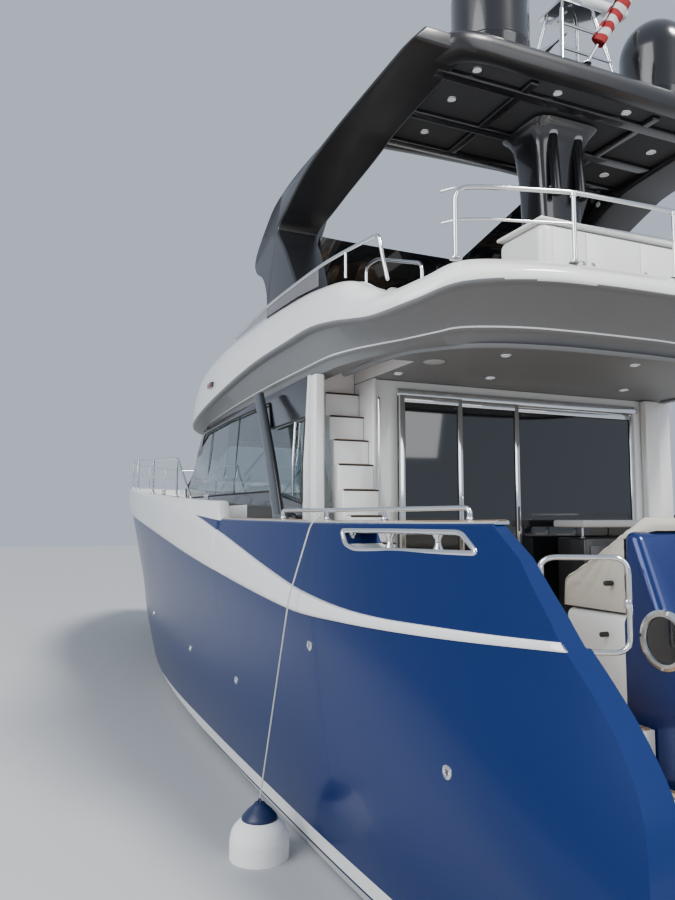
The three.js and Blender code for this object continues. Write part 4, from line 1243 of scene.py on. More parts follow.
@dataclass(frozen=True)
class Cushion:
    """One padded piece: its box, its fullness, its sewn channels and the face that it rests on."""

    name: str
    low: Point
    high: Point
    radius: float
    crown: float = 0.012
    seams: tuple[tuple[int, float], ...] = ()
    rest: tuple[int, int] = (2, -1)
    step: float = 0.026
    pull: float = 0.010
    swell: float = 0.009
    fill: float = 0.75

    def build(self, finish: Finish, slot: str, *nodes: str) -> Object:
        """Args:
            finish: what it is covered in.
            slot: the record's material slot.
            nodes: the CAD nodes that it replaces.

        Returns:
            The finished piece.
        """
        piece = rounded(self.name, self.low, self.high, self.radius, self.crown, self.seams, self.step)
        self._draw_in(piece)
        self._inflate(piece)
        self._settle(piece)
        smooth(piece, 60)
        whole = made_of(self.name, (finish, piece, self._piping(piece)))
        dress(whole, finish, slot, *nodes)
        return whole

    def _draw_in(self, piece: Object) -> None:
        """Pulls the sides in between the corners.

        Args:
            piece: the cover.
        """
        a, b = (k for k in range(3) if k != self.rest[0])
        for vertex in piece.data.vertices:
            u, v = (clamp(2 * (vertex.co[k] - self.low[k]) / (self.high[k] - self.low[k]) - 1, -1, 1) for k in (a, b))
            vertex.co[a] -= self.pull * u * u**4 * (1 - v * v)
            vertex.co[b] -= self.pull * v * v**4 * (1 - u * u)

    def _inflate(self, piece: Object) -> None:
        """Fills the cover by a cloth simulation under pressure, and limits how far a point moves.

        Args:
            piece: the cover.
        """
        start = [vertex.co.copy() for vertex in piece.data.vertices]
        settings = piece.modifiers.new("fill", "CLOTH").settings
        settings.quality, settings.mass = 4, 0.3
        settings.use_pressure, settings.uniform_pressure_force = True, 4.0
        settings.effector_weights.gravity = 0.0
        for number in range(1, 21):
            bpy.context.scene.frame_set(number)
        evaluated(piece)
        bpy.context.scene.frame_set(1)
        for vertex, place in zip(piece.data.vertices, start):
            move = vertex.co - place
            if move.length > self.swell:
                vertex.co = place + move * (self.swell / move.length)

    def _settle(self, piece: Object) -> None:
        """Flattens the face that the cushion rests on.

        Args:
            piece: the cover.
        """
        axis, way = self.rest
        limit = self.low[axis] if way < 0 else self.high[axis]
        for vertex in piece.data.vertices:
            vertex.co[axis] = max(vertex.co[axis], limit) if way < 0 else min(vertex.co[axis], limit)

    def _piping(self, piece: Object) -> Object:
        """Cord sewn round the open face's rim.

        Args:
            piece: the filled cover.

        Returns:
            The cord.
        """
        axis, way = self.rest
        a, b = (k for k in range(3) if k != axis)
        edge = self.high[axis] - 0.3 * self.radius if way < 0 else self.low[axis] + 0.3 * self.radius
        corners = []
        for u, v in ((0, 0), (1, 0), (1, 1), (0, 1)):
            point = [0.0, 0.0, 0.0]
            point[axis], point[a], point[b] = edge, (self.low, self.high)[u][a], (self.low, self.high)[v][b]
            corners.append(tuple(point))
        line = [Vector(p) for p in ring_line(corners, self.radius, 6)]
        dense = []
        for p, q in zip(line, line[1:] + line[:1]):
            parts = max(1, round((q - p).length / 0.035))
            dense += [p.lerp(q, n / parts) for n in range(parts)]
        tree = BVHTree.FromPolygons([v.co for v in piece.data.vertices],
                                    [tuple(f.vertices) for f in piece.data.polygons])
        return sweep("piping", [tree.find_nearest(p)[0] for p in dense], 0.0042, 8, closed=True)


def tube(name: str, corners: Sequence[Point], radius: float, bend: float = 0.06, sides: int = 14) -> Object:
    """Bent tube through corners, with round ends.

    Args:
        name: piece name.
        corners: corners of the centreline.
        radius: radius of the tube.
        bend: length of the bends.
        sides: faces around it.

    Returns:
        The new object.
    """
    path = fillet(corners, bend, 6)
    first = (path[0] - path[1]).normalized() * radius
    last = (path[-1] - path[-2]).normalized() * radius
    path = [path[0] + first * 0.9, path[0] + first * 0.5, *path, path[-1] + last * 0.5, path[-1] + last * 0.9]
    radii = [radius * 0.4, radius * 0.85, *[radius] * (len(path) - 4), radius * 0.85, radius * 0.4]
    return sweep(name, path, radii, sides)


def foot(x: float, y: float, z: float, radius: float = 0.034) -> Object:
    """Round base plate of a rail post."""
    return lathe("foot", [(0, 0), (radius, 0), (radius, 0.004), (radius * 0.8, 0.009), (radius * 0.55, 0.012),
                          (radius * 0.5, 0.022), (0, 0.022)], (x, y, z), sides=24)


def painted(piece: Object, finish: Finish) -> Object:
    """Piece with one finish as its material.

    Args:
        piece: the object.
        finish: the finish it gets.

    Returns:
        The same object.
    """
    piece.data.materials.clear()
    piece.data.materials.append(finish.material())
    return piece


def made_of(name: str, *groups: Sequence[object]) -> Object:
    """One piece from groups that each start with a finish and go on with their pieces."""
    return joined(name, [painted(piece, finish) for finish, *pieces in groups for piece in pieces])


def slab(name: str, outline: Sequence[Point], axis: str, low: float, high: float, ease: float = 0.006,
         segments: int = 2) -> Object:
    """Prism with eased edges."""
    return bevelled(prism(name, outline, axis, low, high), ease, segments)


def plate(name: str, axis: str, corner: Pair, other: Pair, low: float, high: float, ease: float = 0.006,
          segments: int = 2) -> Object:
    """Rectangular slab with eased edges.

    Args:
        name: piece name.
        axis: X, Y or Z, the way through it.
        corner: one corner in the two other axes.
        other: the opposite corner.
        low: start along the axis.
        high: end along the axis.
        ease: width of the eased edges.
        segments: steps across them.

    Returns:
        The new object.
    """
    (a, b), (c, d) = corner, other
    return slab(name, [(a, b), (c, b), (c, d), (a, d)], axis, low, high, ease, segments)


def steering_wheel(middle: Triple, lean: float, hub: Triple, column: Sequence[Triple], grip: float, count: int,
                   sides: int) -> list[Object]:
    """Leaning wheel: rim, three spokes and a column.

    Args:
        middle: centre of the rim.
        lean: how far the rim's top and bottom lean along X.
        hub: where the spokes meet.
        column: both ends of the column.
        grip: radius of the rim's tube.
        count: points round the rim.
        sides: faces round its tube.

    Returns:
        The wheel's pieces.
    """
    def at(a: float) -> Triple:
        """Point on the rim."""
        return (middle[0] + lean * math.sin(a), middle[1] + 0.19 * math.cos(a), middle[2] + 0.165 * math.sin(a))

    rim = sweep("rim", [at(a) for a in angles(count)], grip, sides, closed=True)
    spokes = [sweep("spoke", [hub, at(math.radians(turn))], 0.008, sides - 2) for turn in (90, 210, 330)]
    return [rim, *spokes, sweep("column", column, 0.03, sides + 8)]


def lamp(place: Point, radius: float) -> Object:
    """Round light let into a ceiling.

    Args:
        place: its middle.
        radius: its radius.

    Returns:
        The new object.
    """
    ring = lathe("light", [(radius * 0.72, 0.0), (radius * 0.76, -0.006), (radius * 0.95, -0.006), (radius, -0.002),
                           (radius, 0.002), (radius * 0.72, 0.002), (radius * 0.72, 0.0)], place, sides=28)
    lens = lathe("lens", [(0, -0.003), (radius * 0.5, -0.0025), (radius * 0.74, 0), (radius * 0.74, 0.003), (0, 0.003)],
                 place, sides=28)
    return made_of("light", (STEEL, ring), (LAMP, lens))


def section(x: float, upper: bool) -> list[Pair]:
    """Half section of the hull at x.

    Args:
        x: station.
        upper: whether it is the part from the joint to the sheer.

    Returns:
        Pairs of y and z from the bottom up.
    """
    s = station(x)
    bulge = 0.015 if x < 3 else -0.015 * s[CHINE_Y]
    chine = (s[CHINE_Y], s[CHINE_Z])
    middle = (lerp(s[CHINE_Y], s[KNEE_Y], 0.55) + bulge, lerp(s[CHINE_Z], s[KNEE_Z], 0.5))
    side = spline([chine, middle, (s[KNEE_Y], s[KNEE_Z]), (s[JOINT_Y], s[JOINT_Z]), (s[SHEER_Y], s[SHEER_Z])], 8)
    if upper:
        return [tuple(p) for p in side[24:]]
    inner = (max(s[CHINE_Y] - 0.07, s[CHINE_Y] * 0.7), s[CHINE_Z] - 0.012)
    half = (s[CHINE_Y] * 0.5, lerp(s[KEEL], s[CHINE_Z], 0.5) - 0.015)
    bottom = spline([(0, s[KEEL]), half, inner], 6)
    return [tuple(p) for p in bottom] + [tuple(p) for p in side[:25]]


def across(x: float, half: Sequence[Point]) -> list[Triple]:
    """Full ring at x from a half that starts near the centreline.

    Args:
        x: station.
        half: pairs of y and z.

    Returns:
        The ring's points.
    """
    port = [(x, y, z) for y, z in half]
    starboard = [(x, -y, z) for y, z in reversed(half) if y > 1e-6]
    return port + starboard


COCKPIT = ((-7.7, 1.80), (-6.9, 1.83), (-6.2, 1.89), (HOUSE_AFT + 0.008, 2.02))
HOUSE_BASE = ((-4.12, 2.0), (-1.5, 1.96), (0.6, 1.88), (1.9, 1.64), (2.85, 1.18), (3.43, 0.62), (3.6, 0.0))
STERN = (
    (-6.49, 2.5), (-6.49, 2.275), (-6.69, 2.115), (-6.80, 1.98), (-6.90, 1.865), (-7.00, 1.745), (-7.15, 1.60),
    (-7.32, 1.41), (-7.46, 1.17), (-7.55, 0.80), (-7.585, 0.40), (-7.59, -0.9),
    (-9.0, -0.9), (-9.0, 2.5),
)
SLOT = ((-6.29, 2.236), (-6.43, 2.130), (-5.40, 2.122), (-5.29, 2.150), (-5.23, 2.236))


def mirrored(half: Sequence[Point]) -> list[Pair]:
    """Closed plan from its port half."""
    return [(x, y) for x, y in half] + [(x, -y) for x, y in reversed(half) if y > 1e-6]


def stern_cutter() -> Object:
    """Solid aft of the wings' sloping edge.

    Returns:
        The new object.
    """
    lower = [tuple(p) for p in spline(STERN[2:11], 4)]
    outline = [*STERN[:2], *lower, *STERN[11:]]
    return prism("stern_cut", outline, "Y", -3.2, 3.2)


def house_cutter(low: float) -> Object:
    """Solid of the house's plan, from a height up."""
    return prism("house", mirrored([(x, y + (0.004 if y else 0)) for x, y in HOUSE_BASE]), "Z", low, 5.0)


@dataclass
class HullSkin:
    """Hull, deck moulding and rub bands."""

    passage: Pair = (1.30, 1.80)
    flat_to: float = -4.5
    mooring_posts: tuple[float, ...] = (-6.05, -5.65, -5.25)

    def places(self) -> list[float]:
        """Even stations, with more of them near the stem.

        Returns:
            The stations.
        """
        low, high = STATIONS[0][0], STATIONS[-1][0]
        body = [lerp(low, 7.0, n / 110) for n in range(110)]
        stem = [lerp(7.0, high, 1 - (1 - n / 30) ** 1.6) for n in range(31)]
        step = [lerp(RISE_AFT - 0.02, RISE_FULL + 0.02, n / 8) for n in range(9)]
        return sorted([x for x in body if abs(x + 2.58) > 0.07] + stem + step)

    def build(self) -> None:
        """Makes every piece of the hull's outside."""
        self._hull()
        self._deck()
        for side, hand in SIDES:
            self._band(side, hand)
            self._frame(side, hand)
        self._trunk()

    def _hull(self) -> None:
        """Hull up to the joint, with the cockpit and passages cut."""
        skin = loft("hull_skin", [across(x, section(x, False)) for x in self.places()], angle=24)
        well = [(max(x, -6.72), y) for x, y in COCKPIT]
        cutters = [prism("well", mirrored(well[1:]), "Z", SOLE, 4.0),
                   block("locker", (-7.9, -1.31, 0.5), (-6.6, 1.31, 4.0)), house_cutter(SOLE), stern_cutter()]
        for side in (1, -1):
            for n in range(4):
                low, high = sorted(side * y for y in self.passage)
                cutters.append(block("step", (-7.9, low, STEP_LOW + n * STEP_RISE),
                                     (STEP_AFT + n * STEP_RUN, high, 2.5)))
        cut(skin, *cutters)
        smooth(skin, 24)
        dress(skin, PAINT, "hull", "hull")
        self._wells()

    def _wells(self) -> None:
        """Bearing wells of the pods and brackets of the platform's arms."""
        for side, hand in SIDES:
            well = lathe(f"pod_well_{hand}", [(0, 0), (0.31, 0), (0.32, 0.01), (0.32, 0.5), (0, 0.5)],
                         (POD_X, side * POD_Y, POD_TOP))
            dress(well, DARK, "hull")
            y, (pin_x, pin_z) = side * ARM_Y, ARM_FOOT
            plates = [bevelled(block("plate", (-7.85, y + d - 0.012, -0.375), (-7.58, y + d + 0.012, -0.285)), 0.004)
                      for d in (-0.052, 0.052)]
            base = bevelled(block("base", (-7.65, y - 0.09, -0.41), (-7.56, y + 0.09, -0.25)), 0.006)
            pin = sweep("pin", [(pin_x, y - 0.064, pin_z), (pin_x, y + 0.064, pin_z)], 0.015)
            dress(joined(f"arm_bracket_{hand}", [*plates, base, pin]), STEEL, "steel")

    def _deck(self) -> None:
        """Deck moulding: outer side, rounded bulwark, side decks and foredeck."""
        edge = self.flat_to
        places = [x for x in self.places() if abs(x - edge) > 0.03] + [edge - 0.001, edge + 0.001]
        rings = [self._deck_ring(x, x < edge) for x in sorted(places)]
        deck = loft("deck_moulding_skin", rings, angle=26)
        slots = [prism("slot", SLOT, "Y", *sorted((side * 0.9, side * 3.0))) for side in (1, -1)]
        cut(deck, prism("well", mirrored(COCKPIT), "Z", SOLE, 4.0), house_cutter(SOLE), stern_cutter(), *slots)
        smooth(deck, 26)
        dress(deck, PAINT, "white_moulding", "deck_moulding")

    def _deck_ring(self, x: float, flat: bool) -> list[Triple]:
        """Ring of the deck moulding at x.

        Args:
            x: station.
            flat: whether the top is level with the sheer, as beside the cockpit.

        Returns:
            The ring's points.
        """
        s = station(x)
        outer = section(x, True)
        wall = min(BULWARK, s[SHEER_Y] * 0.4)
        top = [(s[SHEER_Y] - 0.012, s[SHEER_Z] + 0.012), (s[SHEER_Y] - wall * 0.5, s[SHEER_Z] + 0.016),
               (s[SHEER_Y] - wall + 0.012, s[SHEER_Z] + 0.012), (s[SHEER_Y] - wall, s[SHEER_Z])]
        if flat:
            floor = [(s[SHEER_Y] - wall - 0.02, s[SHEER_Z]), (s[SHEER_Y] * 0.3, s[SHEER_Z]), (0.02, s[SHEER_Z])]
        else:
            deck = s[JOINT_Z] + DECK_STEP
            edge = s[JOINT_Y] - wall
            floor = [(edge, deck + 0.02), (edge * 0.97, deck), (0.02, deck)]
        half = [*outer, *top, *floor]
        port = [(x, y, z) for y, z in half]
        return port + [(x, -y, z) for y, z in reversed(half)]

    def _band(self, side: int, hand: str) -> None:
        """Rub band that widens forward, with a rounded upper edge.

        Args:
            side: 1 for port and -1 for starboard.
            hand: port or starboard, for the names.
        """
        rings = []
        for x in [-7.22, *[p for p in self.places() if -7.2 <= p <= 8.25]]:
            s = station(x)
            outer = section(x, True)
            share = min(sample(BAND, x)[1] / (s[SHEER_Z] - s[JOINT_Z]), 0.97)

            def at(part: float, out: float) -> Triple:
                """Point on the side at a share of the way up, stood off.

                Args:
                    part: share of the way up.
                    out: how far off the face.

                Returns:
                    The point.
                """
                place = clamp(part) * (len(outer) - 1)
                low = min(int(place), len(outer) - 2)
                a, b = outer[low], outer[low + 1]
                y, z = lerp(a[0], b[0], place - low), lerp(a[1], b[1], place - low)
                extra = min(part, 0) * (s[SHEER_Z] - s[JOINT_Z])
                return (x, side * (y + out), z + extra)

            profile = [(-0.02, -0.01), (-0.02, 0.018), (0.0, 0.027), (share * 0.2, 0.031), (share * 0.5, 0.032),
                       (share * 0.8, 0.030), (share * 0.96, 0.024), (share, 0.012), (share, -0.01)]
            swell = lerp(0.35, 1.0, clamp((x + 7.05) / 2.2))
            thin = lerp(0.62, 1.0, smoothstep(x, -7.05, -6.0))
            rings.append([at(part * thin, out * swell if out > 0 else out) for part, out in profile])
        band = cut(loft(f"rub_band_{hand}_skin", rings, angle=40), stern_cutter())
        dress(band, WHITE, "white_moulding", f"rub_band_{hand}")

    def _frame(self, side: int, hand: str) -> None:
        """Polished frame of the mooring slot, with waisted posts.

        Args:
            side: 1 for port and -1 for starboard.
            hand: port or starboard, for the names.
        """
        pieces = []
        loop = []
        for x, z in ring_line(SLOT, 0.04):
            s = station(x)
            part = (z - s[JOINT_Z]) / (s[SHEER_Z] - s[JOINT_Z])
            loop.append((x, side * (lerp(s[JOINT_Y], s[SHEER_Y], part) - 0.004), z))
        pieces.append(sweep("rim", loop, 0.016, closed=True))
        for x in self.mooring_posts:
            y = side * (station(x)[SHEER_Y] - 0.06)
            profile = [(0, 0), (0.034, 0), (0.033, 0.008), (0.018, 0.04), (0.016, 0.055), (0.018, 0.07), (0.033, 0.10),
                       (0.034, 0.112), (0, 0.112)]
            pieces.append(lathe("post", profile, (x, y, 2.122), sides=28))
            for z in (2.124, 2.234):
                pieces.append(lathe("seat", [(0, -0.004), (0.045, -0.004), (0.045, 0.004), (0, 0.004)], (x, y, z),
                                    sides=28))
        lining = []
        for z in (2.123, 2.236):
            ends = (-6.42, -5.03) if z < 2.2 else (-6.28, -5.06)
            ring = []
            for n in range(17):
                x = lerp(*ends, n / 16)
                s = station(x)
                ring.append((x, s[SHEER_Y] - 0.012, s[SHEER_Y] - 0.13))
            lining.append(loft("lining", [[(x, side * a, z - 0.003), (x, side * b, z - 0.003), (x, side * b, z + 0.003),
                                           (x, side * a, z + 0.003)] for x, a, b in ring]))
        dress(joined(f"mooring_frame_{hand}_finish", pieces + lining), STEEL, "steel", f"mooring_frame_{hand}")

    def _trunk(self) -> None:
        """Raised foredeck ahead of the windscreen."""
        rows = spline([(3.3, 1.24, 2.90), (4.6, 1.12, 2.89), (5.9, 0.78, 2.83), (6.6, 0.43, 2.74)], 8)
        rings = []
        for x, y, z in rows:
            deck = sample(STATIONS, x)[JOINT_Z] + DECK_STEP
            half = [(0.001, z + 0.015), (y * 0.5, z + 0.008), (y * 0.8, z), (y * 0.93, z - 0.012), (y, z - 0.045),
                    (y + 0.05, deck)]
            rings.append(across(x, half))
        trunk = loft("foredeck_trunk", rings, angle=45)
        cut(trunk, house_cutter(1.5))
        dress(smooth(trunk, 45), WHITE, "white_moulding")


@dataclass
class Stern:
    """Transom block, its porthole, the sofa under its canvas cover and the stern gates."""

    half: float = 1.30
    port_x: float = -6.95
    port_z: float = 1.73
    cover_low: float = 1.83
    cover_half: float = 1.296
    cover_length: float = 2.9
    gate: tuple[Pair, Pair] = ((-6.66, 1.795), (-6.88, 1.44))
    gate_z: Pair = (1.67, 2.12)
    stops: tuple[Pair, ...] = ((-6.62, 1.975), (-6.58, 1.71))

    def build(self) -> None:
        """Makes the stern's pieces."""
        self._block()
        self._cover()
        for side, hand in SIDES:
            self._porthole(side, hand)
            self._gate(side, hand)
            self._fittings(side, hand)

    def _block(self) -> None:
        """Painted block with a white sofa base ahead of it."""
        outline = [(-6.79, 2.24), (-6.70, 2.24), (-6.70, 1.82), (-6.255, 1.82), (-6.255, SOLE + 0.001),
                   (-6.603, SOLE + 0.001), (-6.603, 0.502), (-7.36, 0.502), (-7.30, 0.90)]
        body = prism("transom_block_skin", outline, "Y", -self.half, self.half)
        bevelled(body, 0.045, 5)
        grooves = [block("groove", (-7.5, side * 1.12 - 0.004, 0.7), (-6.9, side * 1.12 + 0.004, 1.9))
                   for side in (1, -1)]
        grooves += [block("groove", (-7.5, -1.12, z - 0.004), (-6.9, 1.12, z + 0.004)) for z in (0.95, 1.72)]
        cut(body, *grooves)
        split_at(body, (-6.701, 0, 0), (1, 0, 0))
        smooth(body, 40)
        body.data.materials.append(NAVY.material())
        body.data.materials.append(WHITE.material())
        for face in body.data.polygons:
            face.material_index = 1 if face.center.x > -6.701 else 0
        dress(body, NAVY, "hull", "transom_block")
        lid = plate("sofa_locker_front", "X", (-1.18, 1.36), (1.18, 1.74), -6.262, -6.248)
        dress(lid, WHITE, "white_moulding")

    def _cover(self) -> None:
        """Canvas cover from the block's top to the sofa's front edge, sagging between bays, creased at the ends."""
        low = self.cover_low
        crest = spline([(-6.782, 2.246), (-6.788, 2.280), (-6.765, 2.308), (-6.715, 2.312), (-6.640, 2.264),
                        (-6.500, 2.162), (-6.390, 2.086), (-6.300, 2.020), (-6.264, 1.965), (-6.253, low)], 9)
        slope = spline([(-6.706, 2.205), (-6.705, 2.214), (-6.704, 2.222), (-6.699, 2.228), (-6.640, 2.196),
                        (-6.500, 2.112), (-6.390, 2.052), (-6.300, 2.002), (-6.268, 1.965), (-6.256, low)], 9)
        columns, drops = 190, 22
        rings: list[list[Vector]] = []
        for n in range(columns + 1):
            y = lerp(-self.cover_half, self.cover_half, n / columns)
            end = smoothstep(abs(y), 1.14, 1.288)
            ring = []
            for i, (dome, line) in enumerate(zip(crest, slope)):
                along = i / (len(crest) - 1)
                bay = 0.5 - 0.5 * math.cos(2 * math.pi * (y + self.cover_half) / 0.648)
                span = math.sin(math.pi * clamp((along - 0.10) / 0.86))
                sag = (0.014 * bay * (1 - end) + self._rucks(y * 5.0, along * 4.0, 3.0)) * span
                round_end = 0.016 * clamp((abs(y) - 1.262) / 0.034) ** 2 * span
                ring.append(Vector((lerp(dome[0], line[0], end), y, lerp(dome[1], line[1], end) - sag - round_end)))
            rings.append(ring)
        count = len(crest)
        vertices = [p for ring in rings for p in ring]
        faces = [[r * count + i, r * count + i + 1, (r + 1) * count + i + 1, (r + 1) * count + i]
                 for r in range(columns) for i in range(count - 1)]
        for r in (0, columns):
            y = rings[r][0].y
            start = len(vertices)
            for i, p in enumerate(rings[r]):
                for k in range(1, drops + 1):
                    z = lerp(p.z, low, k / drops)
                    vertices.append(Vector((p.x, y - math.copysign(self._drag(p.x, z), y), z)))
                if i:
                    for k in range(drops):
                        a = r * count + i - 1 if k == 0 else start + (i - 1) * drops + k - 1
                        b = r * count + i if k == 0 else start + i * drops + k - 1
                        faces.append([a, b, start + i * drops + k, start + (i - 1) * drops + k])
        cloth = mesh_object("canvas_cover", vertices, faces, angle=70)
        top = max(v.co.z for v in cloth.data.vertices)
        if next(f for f in cloth.data.polygons if f.center.z > top - 0.02).normal.z < 0:
            cloth.data.flip_normals()
        thick = cloth.modifiers.new("thickness", "SOLIDIFY")
        thick.thickness, thick.offset = 0.0016, 1.0
        evaluated(cloth)
        smooth(cloth, 70)
        dress(cloth, CANVAS, "canvas", "sofa_cover")
        hem = self._hem()

    @staticmethod
    def _rucks(u: float, v: float, seed: float) -> float:
        """Depth of loose creases in laid canvas.

        Args:
            u: place along the cloth, in creases.
            v: place across it.
            seed: picks the pattern.

        Returns:
            The depth in metres.
        """
        drift = noise.noise(Vector((u * 0.4, v * 0.4, seed)))
        lines = 1 - abs(noise.noise(Vector((u * 0.9 + 1.4 * v, v * 0.7 - 0.5 * u, seed + 5.0))))
        fine = 1 - abs(noise.noise(Vector((u * 1.9 - 1.1 * v, v * 1.6, seed + 9.0))))
        return 0.008 * drift - 0.009 * lines**12 - 0.005 * fine**14

    def _drag(self, x: float, z: float) -> float:
        """Depth of the creases that the hem draws across the cover's end.

        Args:
            x: place on the end.
            z: its height.

        Returns:
            How far the cloth lies inside the end, in metres.
        """
        away = Vector((x + 6.69, 2.26 - z))
        turn = math.degrees(math.atan2(away.y, max(away.x, 1e-4)))
        reach = math.sin(math.pi * clamp(away.length / 0.56))
        folds = sum(size * math.exp(-((turn - at) / wide) ** 2)
                    for at, wide, size in ((34, 3.2, 0.013), (44, 2.6, 0.016), (55, 3.4, 0.015), (69, 3.0, 0.009)))
        low = math.exp(-((z - self.cover_low) / 0.02) ** 2)
        return 0.005 + (folds * reach + 0.8 * self._rucks(x * 7.0, z * 7.0, 1.0)) * (1 - low)

    def _hem(self) -> Object:
        """Rope sewn into the cover's hem, with its row of stitches.

        Returns:
            The rope and its stitches.
        """
        z = self.cover_low + 0.004
        line = fillet([(-6.253, -1.28, z), (-6.253, 1.295, z), (-6.699, 1.295, z)], 0.02, 5)
        edge = sweep("hem_rope", line, 0.0035, 8)
        painted(edge, CANVAS)
        stitch = sweep("stitch", [(-0.004, 0, 0), (-0.002, 0, 0.0008), (0.002, 0, 0.0008), (0.004, 0, 0)], 0.0007, 6)
        raised = [(p[0] + (0.0022 if p[0] > -6.3 else 0), p[1] + (0.0022 if p[1] > 1.29 else 0), p[2] + 0.022)
                  for p in line]
        row = repeated("hem_stitches", raised, stitch, 230, VINYL)
        return dress(joined("cover_hem", [edge, row]), CANVAS, "canvas")

    def _porthole(self, side: int, hand: str) -> None:
        """Round opening port in the block's side.

        Args:
            side: 1 for port and -1 for starboard.
            hand: port or starboard, for the names.
        """
        y = side * (self.half - 0.001)
        profile = [(0.108, 0.0), (0.112, 0.012), (0.128, 0.016), (0.143, 0.010), (0.146, 0.0), (0.146, -0.004),
                   (0.104, -0.004), (0.104, -0.001), (0.108, 0.0)]
        ring = lathe("port_ring", [(r, side * h) for r, h in profile], (self.port_x, y, self.port_z), "Y")
        pane = lathe("port_pane", [(0, side * 0.006), (0.07, side * 0.0055), (0.107, side * 0.003),
                                   (0.107, -side * 0.003), (0, -side * 0.003)], (self.port_x, y, self.port_z), "Y")
        bolts = [(self.port_x + 0.128 * math.cos(a), y + side * 0.015, self.port_z + 0.128 * math.sin(a))
                 for a in (math.pi / 6 + n * math.pi / 3 for n in range(6))]
        heads = [lathe("head", [(0.0, side * 0.003), (0.004, side * 0.0025), (0.006, 0), (0.006, -side * 0.002),
                                (0, -side * 0.002)], place, "Y", sides=16) for place in bolts]
        dress(made_of(f"porthole_{hand}", (STEEL, ring), (BLACK_GLASS, pane), (STEEL, *heads)), STEEL, "steel")

    def _gate(self, side: int, hand: str) -> None:
        """Bent tube gate with hinge barrels and a latch.

        Args:
            side: 1 for port and -1 for starboard.
            hand: port or starboard, for the names.
        """
        hinge, tip = (Vector(p) for p in self.gate)
        foot_z, top_z = self.gate_z

        def at(part: float, z: float) -> Triple:
            """Point in the gate's plane."""
            p = hinge.lerp(tip, part)
            return (p.x, side * p.y, z)

        corners = [at(0, foot_z - 0.02), at(0, top_z), at(1, top_z), at(1, foot_z), at(0, foot_z)]
        frame_tube = tube("gate_tube", corners, 0.0138, 0.08)
        barrels = [lathe("barrel", [(0, -0.03), (0.021, -0.03), (0.0225, -0.024), (0.0225, 0.024), (0.021, 0.03),
                                    (0, 0.03)], at(0, z), sides=20) for z in (1.745, 2.05)]
        latch = lathe("latch", [(0, -0.02), (0.018, -0.02), (0.02, -0.012), (0.02, 0.012), (0.018, 0.02), (0, 0.02)],
                      at(0.985, 1.9), sides=20)
        dress(joined(f"gate_{hand}_finish", [frame_tube, *barrels, latch]), STEEL, "steel", f"gate_{hand}",
              body=f"gate_{hand}")

    def _fittings(self, side: int, hand: str) -> None:
        """Rubber stops that the gate meets.

        Args:
            side: 1 for port and -1 for starboard.
            hand: port or starboard, for the names.
        """
        stops = []
        for x, z in self.stops:
            stop = lathe("stop", [(0, 0), (0.0135, 0), (0.0135, 0.040), (0.0125, 0.046), (0.009, 0.049), (0, 0.049)],
                         (x, side * 1.298, z), "Y", sides=20)
            for vertex in stop.data.vertices:
                if side < 0:
                    vertex.co.y = 2 * side * 1.298 - vertex.co.y
            tidy(stop)
            stops.append(stop)
        dress(made_of(f"gate_stops_{hand}", (RUBBER, *stops)), RUBBER, "dark_helm")


